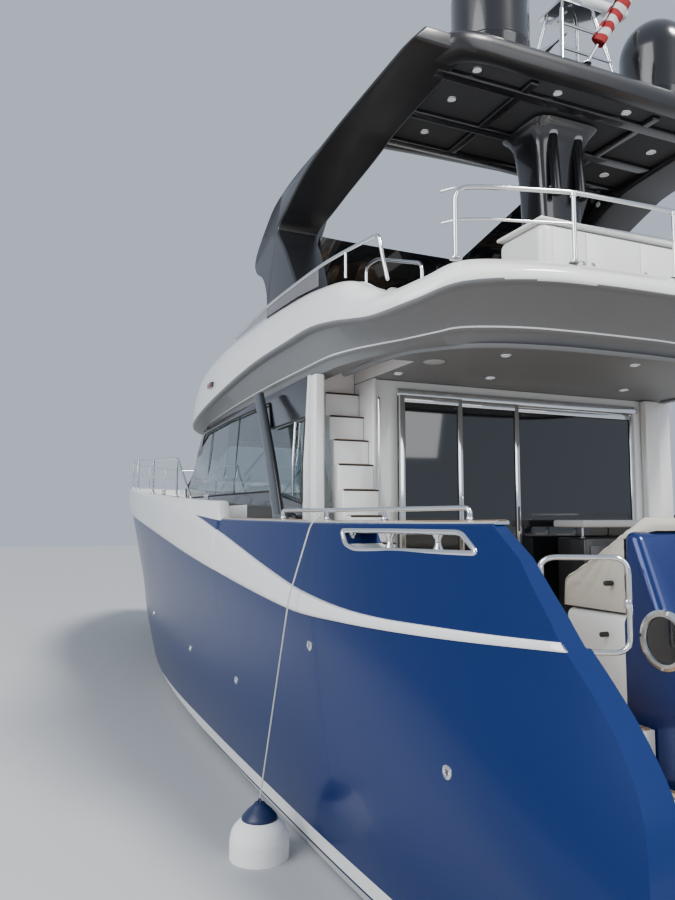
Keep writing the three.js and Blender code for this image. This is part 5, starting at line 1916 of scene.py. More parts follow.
@dataclass
class Cockpit:
    """Teak sole, cap strips, grab rails and passage steps of the aft cockpit."""

    side_line: tuple[Pair, ...] = ((-6.56, 1.80), (-6.2, 1.84), (-4.18, 1.965))
    hatch_y: Pair = (-0.45, 0.45)
    cap: Pair = (-6.50, -2.66)
    rail_posts: tuple[float, ...] = (-6.28, -5.6, -4.9, -4.1)
    rail_up: float = 0.095

    def build(self) -> None:
        """Makes the cockpit's pieces."""
        self._sole()
        for side, hand in SIDES:
            self._cap(side, hand)
            self._rail(side, hand)
            self._steps(side, hand)

    def _sole(self) -> None:
        """Planked teak with a margin board."""
        inner = self.side_line
        outline = [(-6.24, 1.31), (-6.60, 1.33), *inner, *[(x, -y) for x, y in reversed(inner)], (-6.60, -1.33),
                   (-6.24, -1.31)]
        floor = slab("cockpit_teak", outline, "Z", SOLE, SOLE + 0.009, 0.002, 1)
        dress(floor, TEAK, "teak")
        edges = []
        for side in (1, -1):
            line = [(x, side * (y - 0.045), SOLE + 0.0105) for x, y in inner]
            edges.append(loft("margin", [[(p[0], p[1] + side * 0.04, p[2] - 0.004),
                                          (p[0], p[1] + side * 0.04, p[2] + 0.002),
                                          (p[0], p[1] - side * 0.04, p[2] + 0.002),
                                          (p[0], p[1] - side * 0.04, p[2] - 0.004)] for p in line]))
        hatch = [plate("hatch_rim", "Z", (-5.65, y - 0.30), (-5.05, y + 0.30), SOLE + 0.004, SOLE + 0.0125, 0.003)
                 for y in self.hatch_y]
        rings = [lathe("pull", [(0, 0.0135), (0.022, 0.0135), (0.026, 0.0145), (0.028, 0.013), (0.028, 0.008),
                                (0, 0.008)], (-5.12, y, SOLE), sides=24) for y in self.hatch_y]
        dress(made_of("sole_trim", (TEAK_PLAIN, *edges), (TEAK, *hatch), (STEEL, *rings)), TEAK_PLAIN, "teak")

    def _cap(self, side: int, hand: str) -> None:
        """Polished strip on the bulwark's top with a teak inlay.

        Args:
            side: 1 for port and -1 for starboard.
            hand: port or starboard, for the names.
        """
        rows = [lerp(*self.cap, n / 40) for n in range(41)]
        rings, inlay = [], []
        for x in rows:
            s = station(x)
            y, z = s[SHEER_Y], s[SHEER_Z] + 0.010
            points = [(-0.008, -0.004), (-0.012, 0.004), (-0.008, 0.012), (-0.020, 0.016), (-0.085, 0.016),
                      (-0.095, 0.010), (-0.095, -0.004)]
            rings.append([(x, side * (y + a), z + b) for a, b in points])
            inlay.append([(x, side * (y + a), z + b) for a, b in ((-0.026, 0.012), (-0.026, 0.0185), (-0.078, 0.0185),
                                                                  (-0.078, 0.012))])
        strip, wood = loft("strip", rings, angle=40), loft("inlay", inlay, angle=40)
        dress(made_of(f"cap_strip_{hand}", (STEEL, strip), (TEAK_PLAIN, wood)), STEEL, "steel")

    def _rail(self, side: int, hand: str) -> None:
        """Grab rail over the cap on four posts.

        Args:
            side: 1 for port and -1 for starboard.
            hand: port or starboard, for the names.
        """
        def at(x: float, up: float) -> Triple:
            """Point over the bulwark's middle."""
            s = station(x)
            return (x, side * (s[SHEER_Y] - 0.06), s[SHEER_Z] + up)

        posts = self.rail_posts
        line = [at(posts[0], 0.03), *[at(x, self.rail_up) for x in posts], at(posts[-1], 0.03)]
        pieces = [tube("rail", line, 0.0145, 0.04)]
        for x in posts[1:3]:
            pieces.append(sweep("post", [at(x, 0.02), at(x, 0.06), at(x, 0.093)], 0.0115, 14))
        pieces += [foot(*at(x, 0.024)) for x in posts]
        dress(joined(f"cap_rail_{hand}_finish", pieces), STEEL, "steel", f"cap_rail_{hand}")

    def _steps(self, side: int, hand: str) -> None:
        """Teak treads of the passage between platform and cockpit.

        Args:
            side: 1 for port and -1 for starboard.
            hand: port or starboard, for the names.
        """
        treads = []
        for n in range(4):
            x0 = STEP_AFT + (n - 1) * STEP_RUN if n else -7.50
            x1 = STEP_AFT + n * STEP_RUN if n < 3 else -6.62
            z = STEP_LOW + n * STEP_RISE
            low, high = sorted((side * 1.325, side * 1.77))
            treads.append(plate("tread", "Z", (x0 + 0.012, low), (x1 - 0.012, high), z - 0.002, z + 0.009, 0.003))
        dress(joined(f"passage_treads_{hand}", treads), TEAK, "teak")


@dataclass
class AftFace:
    """Saloon bulkhead, sliding doors, counter, stairs and the ceiling over the cockpit."""

    leaf_z: Pair = (1.333, 3.337)
    counter_front: float = -4.262
    risers: tuple[float, ...] = (-5.0, -4.85, -4.7, -4.55, -4.4, -4.27, -4.18, -4.09, -4.0, -3.91, -3.82)
    tread_y: Pair = (1.465, 1.73)
    trim: tuple[Pair, ...] = ((-5.66, 0.0), (-5.62, 0.75), (-5.50, 1.25), (-5.28, 1.52), (-4.98, 1.66), (-4.22, 1.70))
    lights: tuple[Pair, ...] = (
        (-5.30, 0.95), (-5.42, -0.15), (-5.30, -1.1), (-4.55, 0.55), (-4.55, -0.9), (-4.40, 1.33),
    )

    def build(self) -> None:
        """Makes the pieces between cockpit and saloon."""
        self._bulkhead()
        self._leaf("aft_window", HOUSE_AFT + 0.012, -1.447, -0.02, BOAT)
        self._leaf("saloon_door_inner", HOUSE_AFT - 0.046, -0.03, 0.64, "door_inner")
        self._leaf("saloon_door_outer", HOUSE_AFT - 0.092, 0.60, 1.21, "door_outer")
        self._tracks()
        self._counter()
        self._stairs()
        self._pillars()
        self._ceiling()

    def _bulkhead(self) -> None:
        """White wall with the door opening."""
        wall = prism("bulkhead_skin", [(-1.93, SOLE + 0.001), (1.396, SOLE + 0.001), (1.396, 3.469), (-1.93, 3.469)],
                     "X", HOUSE_AFT, HOUSE_AFT + 0.06)
        cut(wall, block("door", (-4.5, -1.45, 1.33), (-3.5, 1.18, 3.34)))
        bevelled(wall, 0.01, 3)
        dress(wall, WHITE, "white_moulding", "bulkhead")

    def _leaf(self, node: str, x: float, low: float, high: float, body: str) -> None:
        """Glass leaf in a polished frame with a seal; the inner door gets a pull and the outer door a handle.

        Args:
            node: the CAD node that it replaces.
            x: its aft face.
            low: starboard edge.
            high: port edge.
            body: the body it moves with.
        """
        z0, z1 = self.leaf_z
        bars = []
        for y0, y1, a, b in ((low, low + 0.045, z0, z1), (high - 0.045, high, z0, z1),
                             (low + 0.04, high - 0.04, z0, z0 + 0.06), (low + 0.04, high - 0.04, z1 - 0.06, z1)):
            bars.append(plate("bar", "X", (y0, a), (y1, b), x + 0.001, x + 0.033, 0.004))
        pane = plate("pane", "X", (low + 0.03, z0 + 0.045), (high - 0.03, z1 - 0.045), x + 0.012, x + 0.022, 0.001, 1)
        seal_line = [(x + 0.009, low + 0.047, z0 + 0.062), (x + 0.009, high - 0.047, z0 + 0.062),
                     (x + 0.009, high - 0.047, z1 - 0.062), (x + 0.009, low + 0.047, z1 - 0.062)]
        seal = sweep("seal", ring_line(seal_line, 0.008, 3), 0.004, 8, closed=True)
        groups = [(STEEL, *bars), (BLACK_GLASS, pane), (RUBBER, seal)]
        if body == "door_inner":
            groups.append((DARK, rounded("pull", (x - 0.004, low + 0.012, 2.20), (x + 0.003, low + 0.034, 2.42),
                                         0.003)))
        elif body != BOAT:
            y = low + 0.022
            groups.append((STEEL, tube("handle", [(x + 0.002, y, 2.15), (x - 0.018, y, 2.15), (x - 0.018, y, 2.50),
                                                  (x + 0.002, y, 2.50)], 0.007, 0.02, 10)))
        dress(made_of(f"{node}_finish", *groups), STEEL, "glass", node, body=body)

    def _tracks(self) -> None:
        """Head and sill of the doors: a polished strip over them and a grooved sill."""
        head = plate("head", "X", (-1.47, 3.335), (1.20, 3.40), -4.155, -4.121, 0.006)
        sill = plate("sill", "Z", (-4.155, -1.44), (-4.065, 1.17), 1.301, 1.327, 0.004)
        ribs = [plate("rib", "Z", (x, -1.43), (x + 0.006, 1.16), 1.325, 1.3295, 0.001, 1)
                for x in (-4.148, -4.118, -4.09)]
        dress(joined("door_tracks", [head, sill, *ribs]), STEEL, "steel")

    def _counter(self) -> None:
        """Bar under the window at the starboard side, on short polished legs."""
        top = plate("counter_top", "Z", (-4.66, -1.62), (self.counter_front, -0.30), 2.236, 2.300, 0.018, 3)
        legs = [lathe("leg", [(0, 0), (0.03, 0), (0.03, 0.004), (0.012, 0.012), (0.012, 0.085), (0.024, 0.095),
                              (0, 0.095)], (-4.50, y, 2.145), sides=20) for y in (-0.42, -1.48)]
        base = plate("counter_base", "Z", (-4.62, -1.58), (self.counter_front, -0.34), ON_SOLE, 2.146, 0.02, 3)
        doors = [plate("door", "X", (y, 1.38), (y + 0.56, 2.08), -4.630, -4.618, 0.004) for y in (-1.54, -0.95)]
        knobs = [lathe("knob", [(0, 0), (0.018, 0), (0.018, -0.004), (0.008, -0.008), (0, -0.008)], (-4.629, y, 1.95),
                       "X", sides=18) for y in (-1.05, -0.88)]
        dress(made_of("aft_counter", (GREY, top), (STEEL, *legs), (DARK_GELCOAT, base, *doors), (STEEL, *knobs)),
              DARK_GELCOAT, "black_moulding")

    def _stairs(self) -> None:
        """Moulded flight with teak treads, a dark strip under each tread's nose as painted shadow, and a handrail."""
        flight = bevelled(node_copy("stairs", "stairs_skin"), 0.012, 3)
        dress(flight, WHITE, "white_moulding", "stairs")
        rise = (FLY_DECK - 0.03 - SOLE) / 11
        treads, nosing_shadow_strips = [], []
        low, high = self.tread_y
        for n, x in enumerate(self.risers[:-1]):
            z = SOLE + (n + 1) * rise
            deep = self.risers[n + 1] - x
            treads.append(plate("tread", "Z", (x + 0.006, low), (x + deep - 0.012, high), z - 0.001, z + 0.008, 0.002,
                                1))
            # A dark strip under each tread's nose: painted shadow.
            nosing_shadow_strips.append(sweep("nosing", [(x + 0.002, 1.445, z - 0.004), (x + 0.002, 1.6, z - 0.004),
                                           (x + 0.002, 1.75, z - 0.004)], 0.0075, 10))
        dress(made_of("stair_treads", (TEAK, *treads), (RUBBER, *nosing_shadow_strips)), TEAK, "teak")
        walls = bevelled(node_copy("stair_enclosure", "stair_enclosure_skin"), 0.01, 3)
        dress(walls, WHITE, "white_moulding", "stair_enclosure")
        rail = tube("rail", [(-4.166, 1.402, 2.2), (-4.20, 1.402, 2.2), (-4.20, 1.402, 3.3), (-4.166, 1.402, 3.3)],
                    0.011, 0.03)
        dress(rail, STEEL, "steel")

    def _pillars(self) -> None:
        """White corner pillars of the house beside doors and stairs."""
        corner = plate("house_corner_port", "Z", (-4.165, 1.865), (-4.06, 1.955), ON_SOLE, 3.466, 0.02, 4)
        dress(corner, WHITE, "white_moulding")
        other = plate("house_corner_starboard", "Z", (-4.20, -1.70), (-4.125, -1.52), ON_SOLE, 3.466, 0.02, 4)
        dress(other, WHITE, "white_moulding")

    def _ceiling(self) -> None:
        """Stepped trim round the ceiling over the cockpit in the darker grey of painted shade, lights and a speaker."""
        line = [Vector((x, y, 3.468)) for x, y in spline(self.trim, 8)]
        full = line[::-1] + [Vector((p.x, -p.y, p.z)) for p in line[1:]]
        rings = []
        for i, p in enumerate(full):
            a, b = full[max(i - 1, 0)], full[min(i + 1, len(full) - 1)]
            out = Vector((b.y - a.y, a.x - b.x, 0)).normalized()
            if out.dot(Vector((p.x + 4.2, p.y, 0))) < 0:
                out = -out
            rings.append([p + out * w + Vector((0, 0, h)) for w, h in ((0.0, 0.006), (0.0, -0.018), (0.012, -0.022),
                                                                       (0.034, -0.022), (0.046, -0.010),
                                                                       (0.05, 0.006))])
        # The trim takes the darker soffit grey: painted shade.
        dress(loft("ceiling_trim", rings, angle=40), SOFFIT_SHADE_GREY, "white_moulding")
        lights = [lamp((x, y, CEILING), 0.042) for x, y in self.lights]
        dress(joined("ceiling_lights", lights), STEEL, "steel")
        speakers = [lathe("speaker", [(0, -0.006), (0.05, -0.007), (0.075, -0.004), (0.08, 0.0), (0.08, 0.003),
                                      (0, 0.003)], (-4.9, y, CEILING), sides=36) for y in (-1.30, 1.30)]
        dress(joined("ceiling_speakers", speakers), GREY, "white_moulding")


@dataclass
class FlyMoulding:
    """Flybridge deck, coaming and overhang in one smooth form, with its teak sole."""

    hatch: tuple[Point, Point] = ((-4.85, 1.44), (-3.78, 1.755))

    def build(self) -> None:
        """Makes the moulding and the sole."""
        half = spline(FLY, 7)
        full = half + [Vector((p[0], -p[1], p[2], p[3])) for p in reversed(half[1:-1])]
        rings = [self._column(full, i) for i in range(len(full))]
        count = len(rings[0])
        vertices = [p for ring in rings for p in ring]
        faces: list[list[int]] = []
        for r in range(len(rings)):
            s = (r + 1) % len(rings)
            for i in range(count - 1):
                faces.append([r * count + i, r * count + i + 1, s * count + i + 1, s * count + i])
        faces.append([r * count for r in range(len(rings))])
        faces.append([r * count + count - 1 for r in range(len(rings))])
        skin = mesh_object("flybridge_skin", vertices, faces, angle=34)
        (x0, y0), (x1, y1) = self.hatch
        cut(skin, block("well", (x0, y0, 3.0), (x1, y1, 4.0)))
        smooth(skin, 34)
        # Faces that look down under the lip take the darker grey: painted shade on the overhang's underside.
        skin.data.materials.append(WHITE.material())
        skin.data.materials.append(SOFFIT_SHADE_GREY.material())
        for face in skin.data.polygons:
            if face.normal.z < -0.30 and face.center.z < 3.79:
                face.material_index = 1
        dress(skin, WHITE, "white_moulding", "flybridge_moulding")
        self._sole()

    def _column(self, full: list[Vector], i: int) -> list[Vector]:
        """Section of the moulding at one point of the outline, from the soffit round to the deck.

        Args:
            full: the whole outline.
            i: which point of it.

        Returns:
            The section's points.
        """
        point = full[i]
        before, after = full[i - 1], full[(i + 1) % len(full)]
        along = Vector((after[0] - before[0], after[1] - before[1])).normalized()
        inward = Vector((along.y, -along.x))
        if inward.dot(Vector((point[0] + 2.2, point[1]))) > 0:
            inward = -inward
        lip, top = point[2], point[3]
        low = lerp(0.45, 0.22, clamp((point[0] + 6.05) / 1.6))
        slope = [(lerp(low, 0.06, t) - out * 0.63, lerp(SOFFIT, lip - 0.004, t) - out * 0.77)
                 for t, out in ((0.27, 0), (0.28, 0.012), (0.33, 0.012), (0.34, 0.0))]
        profile = [(0.06, lip - 0.004), (0.012, lip + 0.01), (0.0, lip + 0.04), (0.004, lip + 0.08),
                   (0.035, lerp(lip, top, 0.62)), (0.095, top - 0.03), (0.15, top), (0.23, top), (0.27, top - 0.025),
                   (0.30, FLY_DECK + 0.02)]
        curve = [(low, SOFFIT), *slope, *[tuple(p) for p in spline(profile, 3)], (0.32, FLY_DECK)]
        return [Vector((point[0] + inward.x * inset, point[1] + inward.y * inset, z)) for inset, z in curve]

    def _sole(self) -> None:
        """Planked teak between the coamings, around the hatch."""
        half = [(-5.70, 0.0), (-5.62, 0.9), (-5.42, 1.35), (-5.10, 1.62), (-4.90, 1.72), (-2.75, 1.74), (-2.75, 0.0)]
        floor = prism("fly_teak", mirrored(half), "Z", FLY_DECK + 0.001, FLY_DECK + 0.009)
        (x0, y0), (x1, _) = self.hatch
        cut(floor, block("gap", (x0 - 0.05, y0 - 0.05, 3.5), (x1 + 0.05, 2.0, 3.7)))
        dress(bevelled(floor, 0.002, 1), TEAK, "teak")


@dataclass
class FlyFittings:
    """Rails, wet bar, helm, seats, table, screens and hatch of the flybridge."""

    aft_rail: tuple[Pair, ...] = ((-5.67, 1.60), (-5.76, 1.42), (-5.925, 0.85), (-5.965, 0.0))
    rail_z: tuple[float, float, float] = (3.99, 4.225, 4.44)
    stair_rail: tuple[float, float, float] = (-4.90, -3.96, 1.395)
    hatch: tuple[float, float, float, float] = (-4.87, -3.76, 1.42, 1.747)
    chairs: Pair = (-0.35, -0.83)
    sofa: tuple[Pair, ...] = ((-3.895, -3.335), (-3.33, -2.765))
    pads: tuple[Pair, ...] = ((-1.25, -0.43), (-0.42, 0.42), (0.43, 1.25))
    screen_rim: tuple[Triple, ...] = (
        (-5.37, 1.935, 3.88), (-5.29, 1.96, 4.205), (-4.6, 2.002, 4.25), (-3.94, 2.012, 4.265), (-3.03, 2.014, 4.262),
        (-2.04, 2.004, 4.2),
    )
    side_light: Triple = (-1.40, 2.09, 3.81)

    def build(self) -> None:
        """Makes the flybridge's pieces."""
        self._aft_rail()
        self._stair_rail()
        self._hatch()
        self._wet_bar()
        self._helm()
        self._seats()
        self._sofa()
        self._table()
        self._dash()
        for side, hand in SIDES:
            self._screen(side, hand)
            self._marks(side, hand)

    def _aft_rail(self) -> None:
        """Two-bar rail across the aft edge."""
        half = self.aft_rail
        foot_z, middle_z, top_z = self.rail_z
        (end_x, end_y), (post_x, post_y), (back_x, _) = half[0], half[2], half[3]

        def loop(z: float) -> list[Point]:
            """Line of a bar at a height."""
            return [(x, y, z) for x, y in mirrored(half)]

        top = [(end_x, end_y, foot_z), *loop(top_z), (end_x, -end_y, foot_z)]
        pieces = [tube("top", top, 0.0155, 0.10, 18), tube("middle", loop(middle_z), 0.0095, 0.05)]
        for x, y in mirrored([(end_x, end_y), (post_x, post_y), (back_x, 0.0)]):
            if abs(y) < 1.5:
                pieces.append(sweep("post", [(x, y, 3.97), (x, y, 4.2), (x, y, 4.43)], 0.0150, 16))
                pieces.append(lathe("collar", [(0, -0.012), (0.021, -0.012), (0.021, 0.012), (0, 0.012)], (x, y, 4.424),
                                    sides=20))
            pieces.append(foot(x, y, 3.964, 0.042))
        for z in (middle_z, top_z):
            pieces.append(tube("stub", [(-5.67, 1.60, z - 0.004), (-5.63, 1.63, z - 0.004), (-5.59, 1.655, z - 0.004)],
                               0.009, 0.02))
        dress(joined("fly_rail_finish", pieces), STEEL, "steel", "fly_rail")

    def _stair_rail(self) -> None:
        """Rail around the stairs' head."""
        aft, fore, y = self.stair_rail
        line = [(aft, y, 3.62), (aft, y, 4.21), (-4.16, y, 4.48), (fore, y, 4.48), (fore, y, 3.62)]
        pieces = [tube("rail", line, 0.0145, 0.07, 16), foot(aft, y, 3.608), foot(fore, y, 3.608)]
        pieces.append(sweep("mid", [(aft, y, 3.95), (-4.43, y, 4.06), (fore, y, 4.16)], 0.009, 12))
        dress(joined("stair_rail_finish", pieces), STEEL, "steel", "stair_rail")

    def _hatch(self) -> None:
        """Acrylic hatch over the stairs with a polished edge and a lock."""
        x0, x1, y0, y1 = self.hatch
        pane = plate("hatch_pane", "Z", (x0 + 0.006, y0 + 0.006), (x1 - 0.006, y1 - 0.004), 3.609, 3.621, 0.003)
        corners = [(x0 + 0.01, y0 + 0.01, 3.615), (x1 - 0.01, y0 + 0.01, 3.615), (x1 - 0.01, y1 - 0.01, 3.615),
                   (x0 + 0.01, y1 - 0.01, 3.615)]
        edge = sweep("edge", ring_line(corners, 0.03, 4), 0.0085, 10, closed=True)
        lock = lathe("lock", [(0, 0.016), (0.02, 0.016), (0.026, 0.010), (0.026, 0.0), (0, 0.0)],
                     (-4.3, y0 + 0.05, 3.619), sides=24)
        dress(made_of("stair_hatch_finish", (ROSE, pane), (STEEL, edge, lock)), ROSE, "smoked_acrylic", "stair_hatch",
              body="hatch")

    def _wet_bar(self) -> None:
        """Rounded cabinet with doors, latches, a lid line and a grill."""
        body = rounded("cabinet", (-5.48, -1.15, ON_FLY), (-4.96, 0.75, 4.435), 0.07)
        lid = rounded("lid", (-5.488, -1.158, 4.440), (-4.952, 0.758, 4.470), 0.014)
        doors = [plate("door", "X", (a + 0.004, 3.70), (b - 0.004, 4.40), -5.487, -5.474, 0.005)
                 for a, b in ((-1.08, -0.70), (-0.70, -0.18), (-0.18, 0.35), (0.35, 0.66))]
        latches = [lathe("latch", [(0, -0.004), (0.012, -0.004), (0.014, 0), (0.022, 0), (0.024, 0.003), (0, 0.004)],
                         (-5.489, y, 4.16), "X", sides=24) for y in (0.38, 0.29, -0.23, -0.66)]
        sink = lathe("sink", [(0, -0.002), (0.15, -0.002), (0.16, 0.004), (0.175, 0.003), (0.178, 0), (0.178, -0.004),
                              (0, -0.004)], (-5.22, 0.35, 4.471), sides=40)
        tap = tube("tap", [(-5.03, 0.35, 4.47), (-5.03, 0.35, 4.60), (-5.15, 0.35, 4.60), (-5.15, 0.35, 4.57)], 0.009,
                   0.05)
        grill = plate("grill", "Z", (-5.42, -0.95), (-5.02, -0.35), 4.4705, 4.4745, 0.002, 1)
        bar = repeated("bars", [(-5.38, -0.92, 4.477), (-5.38, -0.38, 4.477)],
                       sweep("bar", [(0, -0.0, 0), (0, -0.17, 0), (0, -0.34, 0)], 0.003, 6), 22, STEEL)
        cabinet = made_of("cabinet_set", (WHITE, body, lid, *doors), (STEEL, *latches, sink, tap), (BLACK, grill))
        dress(joined("wet_bar_finish", [cabinet, bar]), WHITE, "white_moulding", "wet_bar")

    def _helm(self) -> None:
        """Console with wheel, screens and throttle levers."""
        body = prism("console", [(-3.65, ON_FLY), (-2.702, ON_FLY), (-2.702, 4.20), (-3.05, 4.52), (-3.45, 4.40)], "Y",
                     -1.05, -0.15)
        bevelled(body, 0.035, 4)
        wheel = steering_wheel((-3.74, -0.60, 4.30), 0.10, (-3.70, -0.60, 4.285),
                               ((-3.69, -0.60, 4.283), (-3.56, -0.60, 4.20)), 0.014, 40, 12)
        groups = [(BLACK, body), (DARK, *wheel)]
        for y in (-0.36, -0.84):
            screen = plate("screen", "X", (y - 0.19, 0), (y + 0.19, 0.25), -0.008, 0.008, 0.006)
            screen.data.transform(Matrix.Translation((-3.32, 0, 4.43)) @ Matrix.Rotation(math.radians(62), 4, "Y"))
            groups.append((BLACK_GLASS, screen))
        groups.append((STEEL, rounded("throttle_base", (-3.44, -0.30, 4.405), (-3.30, -0.20, 4.45), 0.015)))
        for y in (-0.27, -0.23):
            groups.append((STEEL, tube("lever", [(-3.37, y, 4.44), (-3.39, y, 4.54), (-3.45, y, 4.56)], 0.007, 0.02)))
        dress(made_of("helm_console_finish", *groups), BLACK, "black_moulding", "helm_console")

    def _seats(self) -> None:
        """Two helm chairs with stitched cushions on one pedestal box."""
        base = rounded("base", (-4.29, -1.0, ON_FLY), (-3.93, -0.18, 4.145), 0.03)
        dress(base, WHITE, "white_moulding")
        for n, y in enumerate(self.chairs):
            Cushion(f"helm_seat_{n + 1}", (-4.33, y - 0.225, 4.15), (-3.85, y + 0.225, 4.285), 0.055,
                    seams=((0, -4.16), (0, -4.02))).build(DARK_VINYL, "dark_upholstery",
                                                          *(("helm_seats",) if n == 0 else ()))
            Cushion(f"helm_back_{n + 1}", (-4.41, y - 0.215, 4.27), (-4.31, y + 0.215, 4.985), 0.045, 0.008,
                    ((2, 4.55), (2, 4.78)), (0, -1)).build(DARK_VINYL, "dark_upholstery")
            arms = [tube("arm", [(-4.33, y + d, 4.30), (-4.33, y + d, 4.50), (-3.98, y + d, 4.50)], 0.014, 0.06)
                    for d in (-0.235, 0.235)]
            dress(joined(f"helm_arms_{n + 1}", arms), STEEL, "steel")

    def _sofa(self) -> None:
        """Port sofa: moulded base with loose cushions."""
        for part, low, high in (("base", (-3.90, 0.43, ON_FLY), (-2.77, 1.18, 3.885)),
                                ("back", (-3.89, 1.125, 3.80), (-2.77, 1.18, 4.30))):
            dress(rounded(f"fly_sofa_{part}", low, high, 0.02), WHITE, "white_moulding")
        for n, (x0, x1) in enumerate(self.sofa):
            Cushion(f"fly_seat_{n + 1}", (x0, 0.42, 3.885), (x1, 0.985, 4.0), 0.045, 0.014,
                    ((1, 0.70),)).build(VINYL, "upholstery", *(("fly_sofa",) if n == 0 else ()))
            Cushion(f"fly_back_{n + 1}", (x0, 1.005, 4.0), (x1, 1.125, 4.37), 0.05, 0.010, ((0, (x0 + x1) / 2),),
                    (1, 1)).build(VINYL, "upholstery")

    def _table(self) -> None:
        """Teak table on a polished leg."""
        top = rounded("top", (-4.88, -1.68, 4.252), (-4.08, -1.10, 4.288), 0.016)
        leg = lathe("leg", [(0, 0), (0.15, 0), (0.15, 0.008), (0.13, 0.014), (0.062, 0.02), (0.055, 0.03),
                            (0.055, 0.58), (0.10, 0.62), (0.12, 0.645), (0, 0.645)], (-4.48, -1.39, 3.609), sides=40)
        dress(made_of("fly_table_finish", (TEAK_PLAIN, top), (STEEL, leg)), TEAK_PLAIN, "teak", "fly_table")

    def _dash(self) -> None:
        """Forward moulding with sunpads, and the dark wind deflector over it."""
        body = bevelled(node_copy("fly_dash", "fly_dash_skin"), 0.03, 4)
        dress(body, WHITE, "white_moulding", "fly_dash")
        for n, (y0, y1) in enumerate(self.pads):
            Cushion(f"fly_sunpad_{n + 1}", (-1.95, y0, 4.013), (0.55 - 0.25 * abs(n - 1), y1, 4.095), 0.036, 0.008,
                    ((0, -1.1), (0, -0.3)), step=0.036).build(VINYL, "upholstery")
        screen = bevelled(node_copy("fly_screen", "fly_screen_skin"), 0.006, 2)
        dress(screen, BLACK_GLASS, "black_moulding", "fly_screen")

    def _screen(self, side: int, hand: str) -> None:
        """Smoked pane on the coaming under a polished rim.

        Args:
            side: 1 for port and -1 for starboard.
            hand: port or starboard, for the names.
        """
        rim = [(x, side * y, z) for x, y, z in self.screen_rim]
        bar = tube("rim", [*rim[:2], *[tuple(p) for p in spline(rim[1:], 6)[1:]]], 0.0135, 0.05, 16)
        post = sweep("post", [(-4.83, side * 1.99, 4.042), (-4.83, side * 1.99, 4.15), (-4.83, side * 1.99, 4.236)],
                     0.0105, 14)
        low = [(-4.35, 4.114), (-3.9, 4.153), (-2.9, 4.189), (-2.1, 4.182)]
        high = [(-2.1, 4.20), (-3.03, 4.258), (-3.94, 4.262), (-4.35, 4.25)]
        pane = slab("pane", [(x, z) for x, z in low + high], "Y", *sorted((side * 2.003, side * 2.011)), 0.001, 1)
        dress(made_of(f"side_screen_{hand}_finish", (STEEL, bar, post), (SMOKE, pane)), STEEL, "smoked_acrylic",
              f"side_screen_{hand}")

    def _marks(self, side: int, hand: str) -> None:
        """Side light on the coaming: a shell with a tinted lens.

        Args:
            side: 1 for port and -1 for starboard.
            hand: port or starboard, for the names.
        """
        x, y, z = self.side_light
        low, high = sorted((side * y - side * 0.03, side * y + side * 0.022))
        shell = rounded("shell", (x - 0.09, low, z - 0.03), (x + 0.09, high, z + 0.03), 0.012)
        low, high = sorted((side * y, side * y + side * 0.026))
        lens = rounded("lens", (x - 0.03, low, z - 0.02), (x + 0.07, high, z + 0.02), 0.01)
        tint = Finish(f"side_light_{hand}", (0.45, 0.01, 0.01) if side > 0 else (0.01, 0.30, 0.05), 0.1, coat=0.6,
                      variation=0.02)
        dress(made_of(f"navigation_light_{hand}", (BLACK, shell), (tint, lens)), BLACK, "black_moulding")


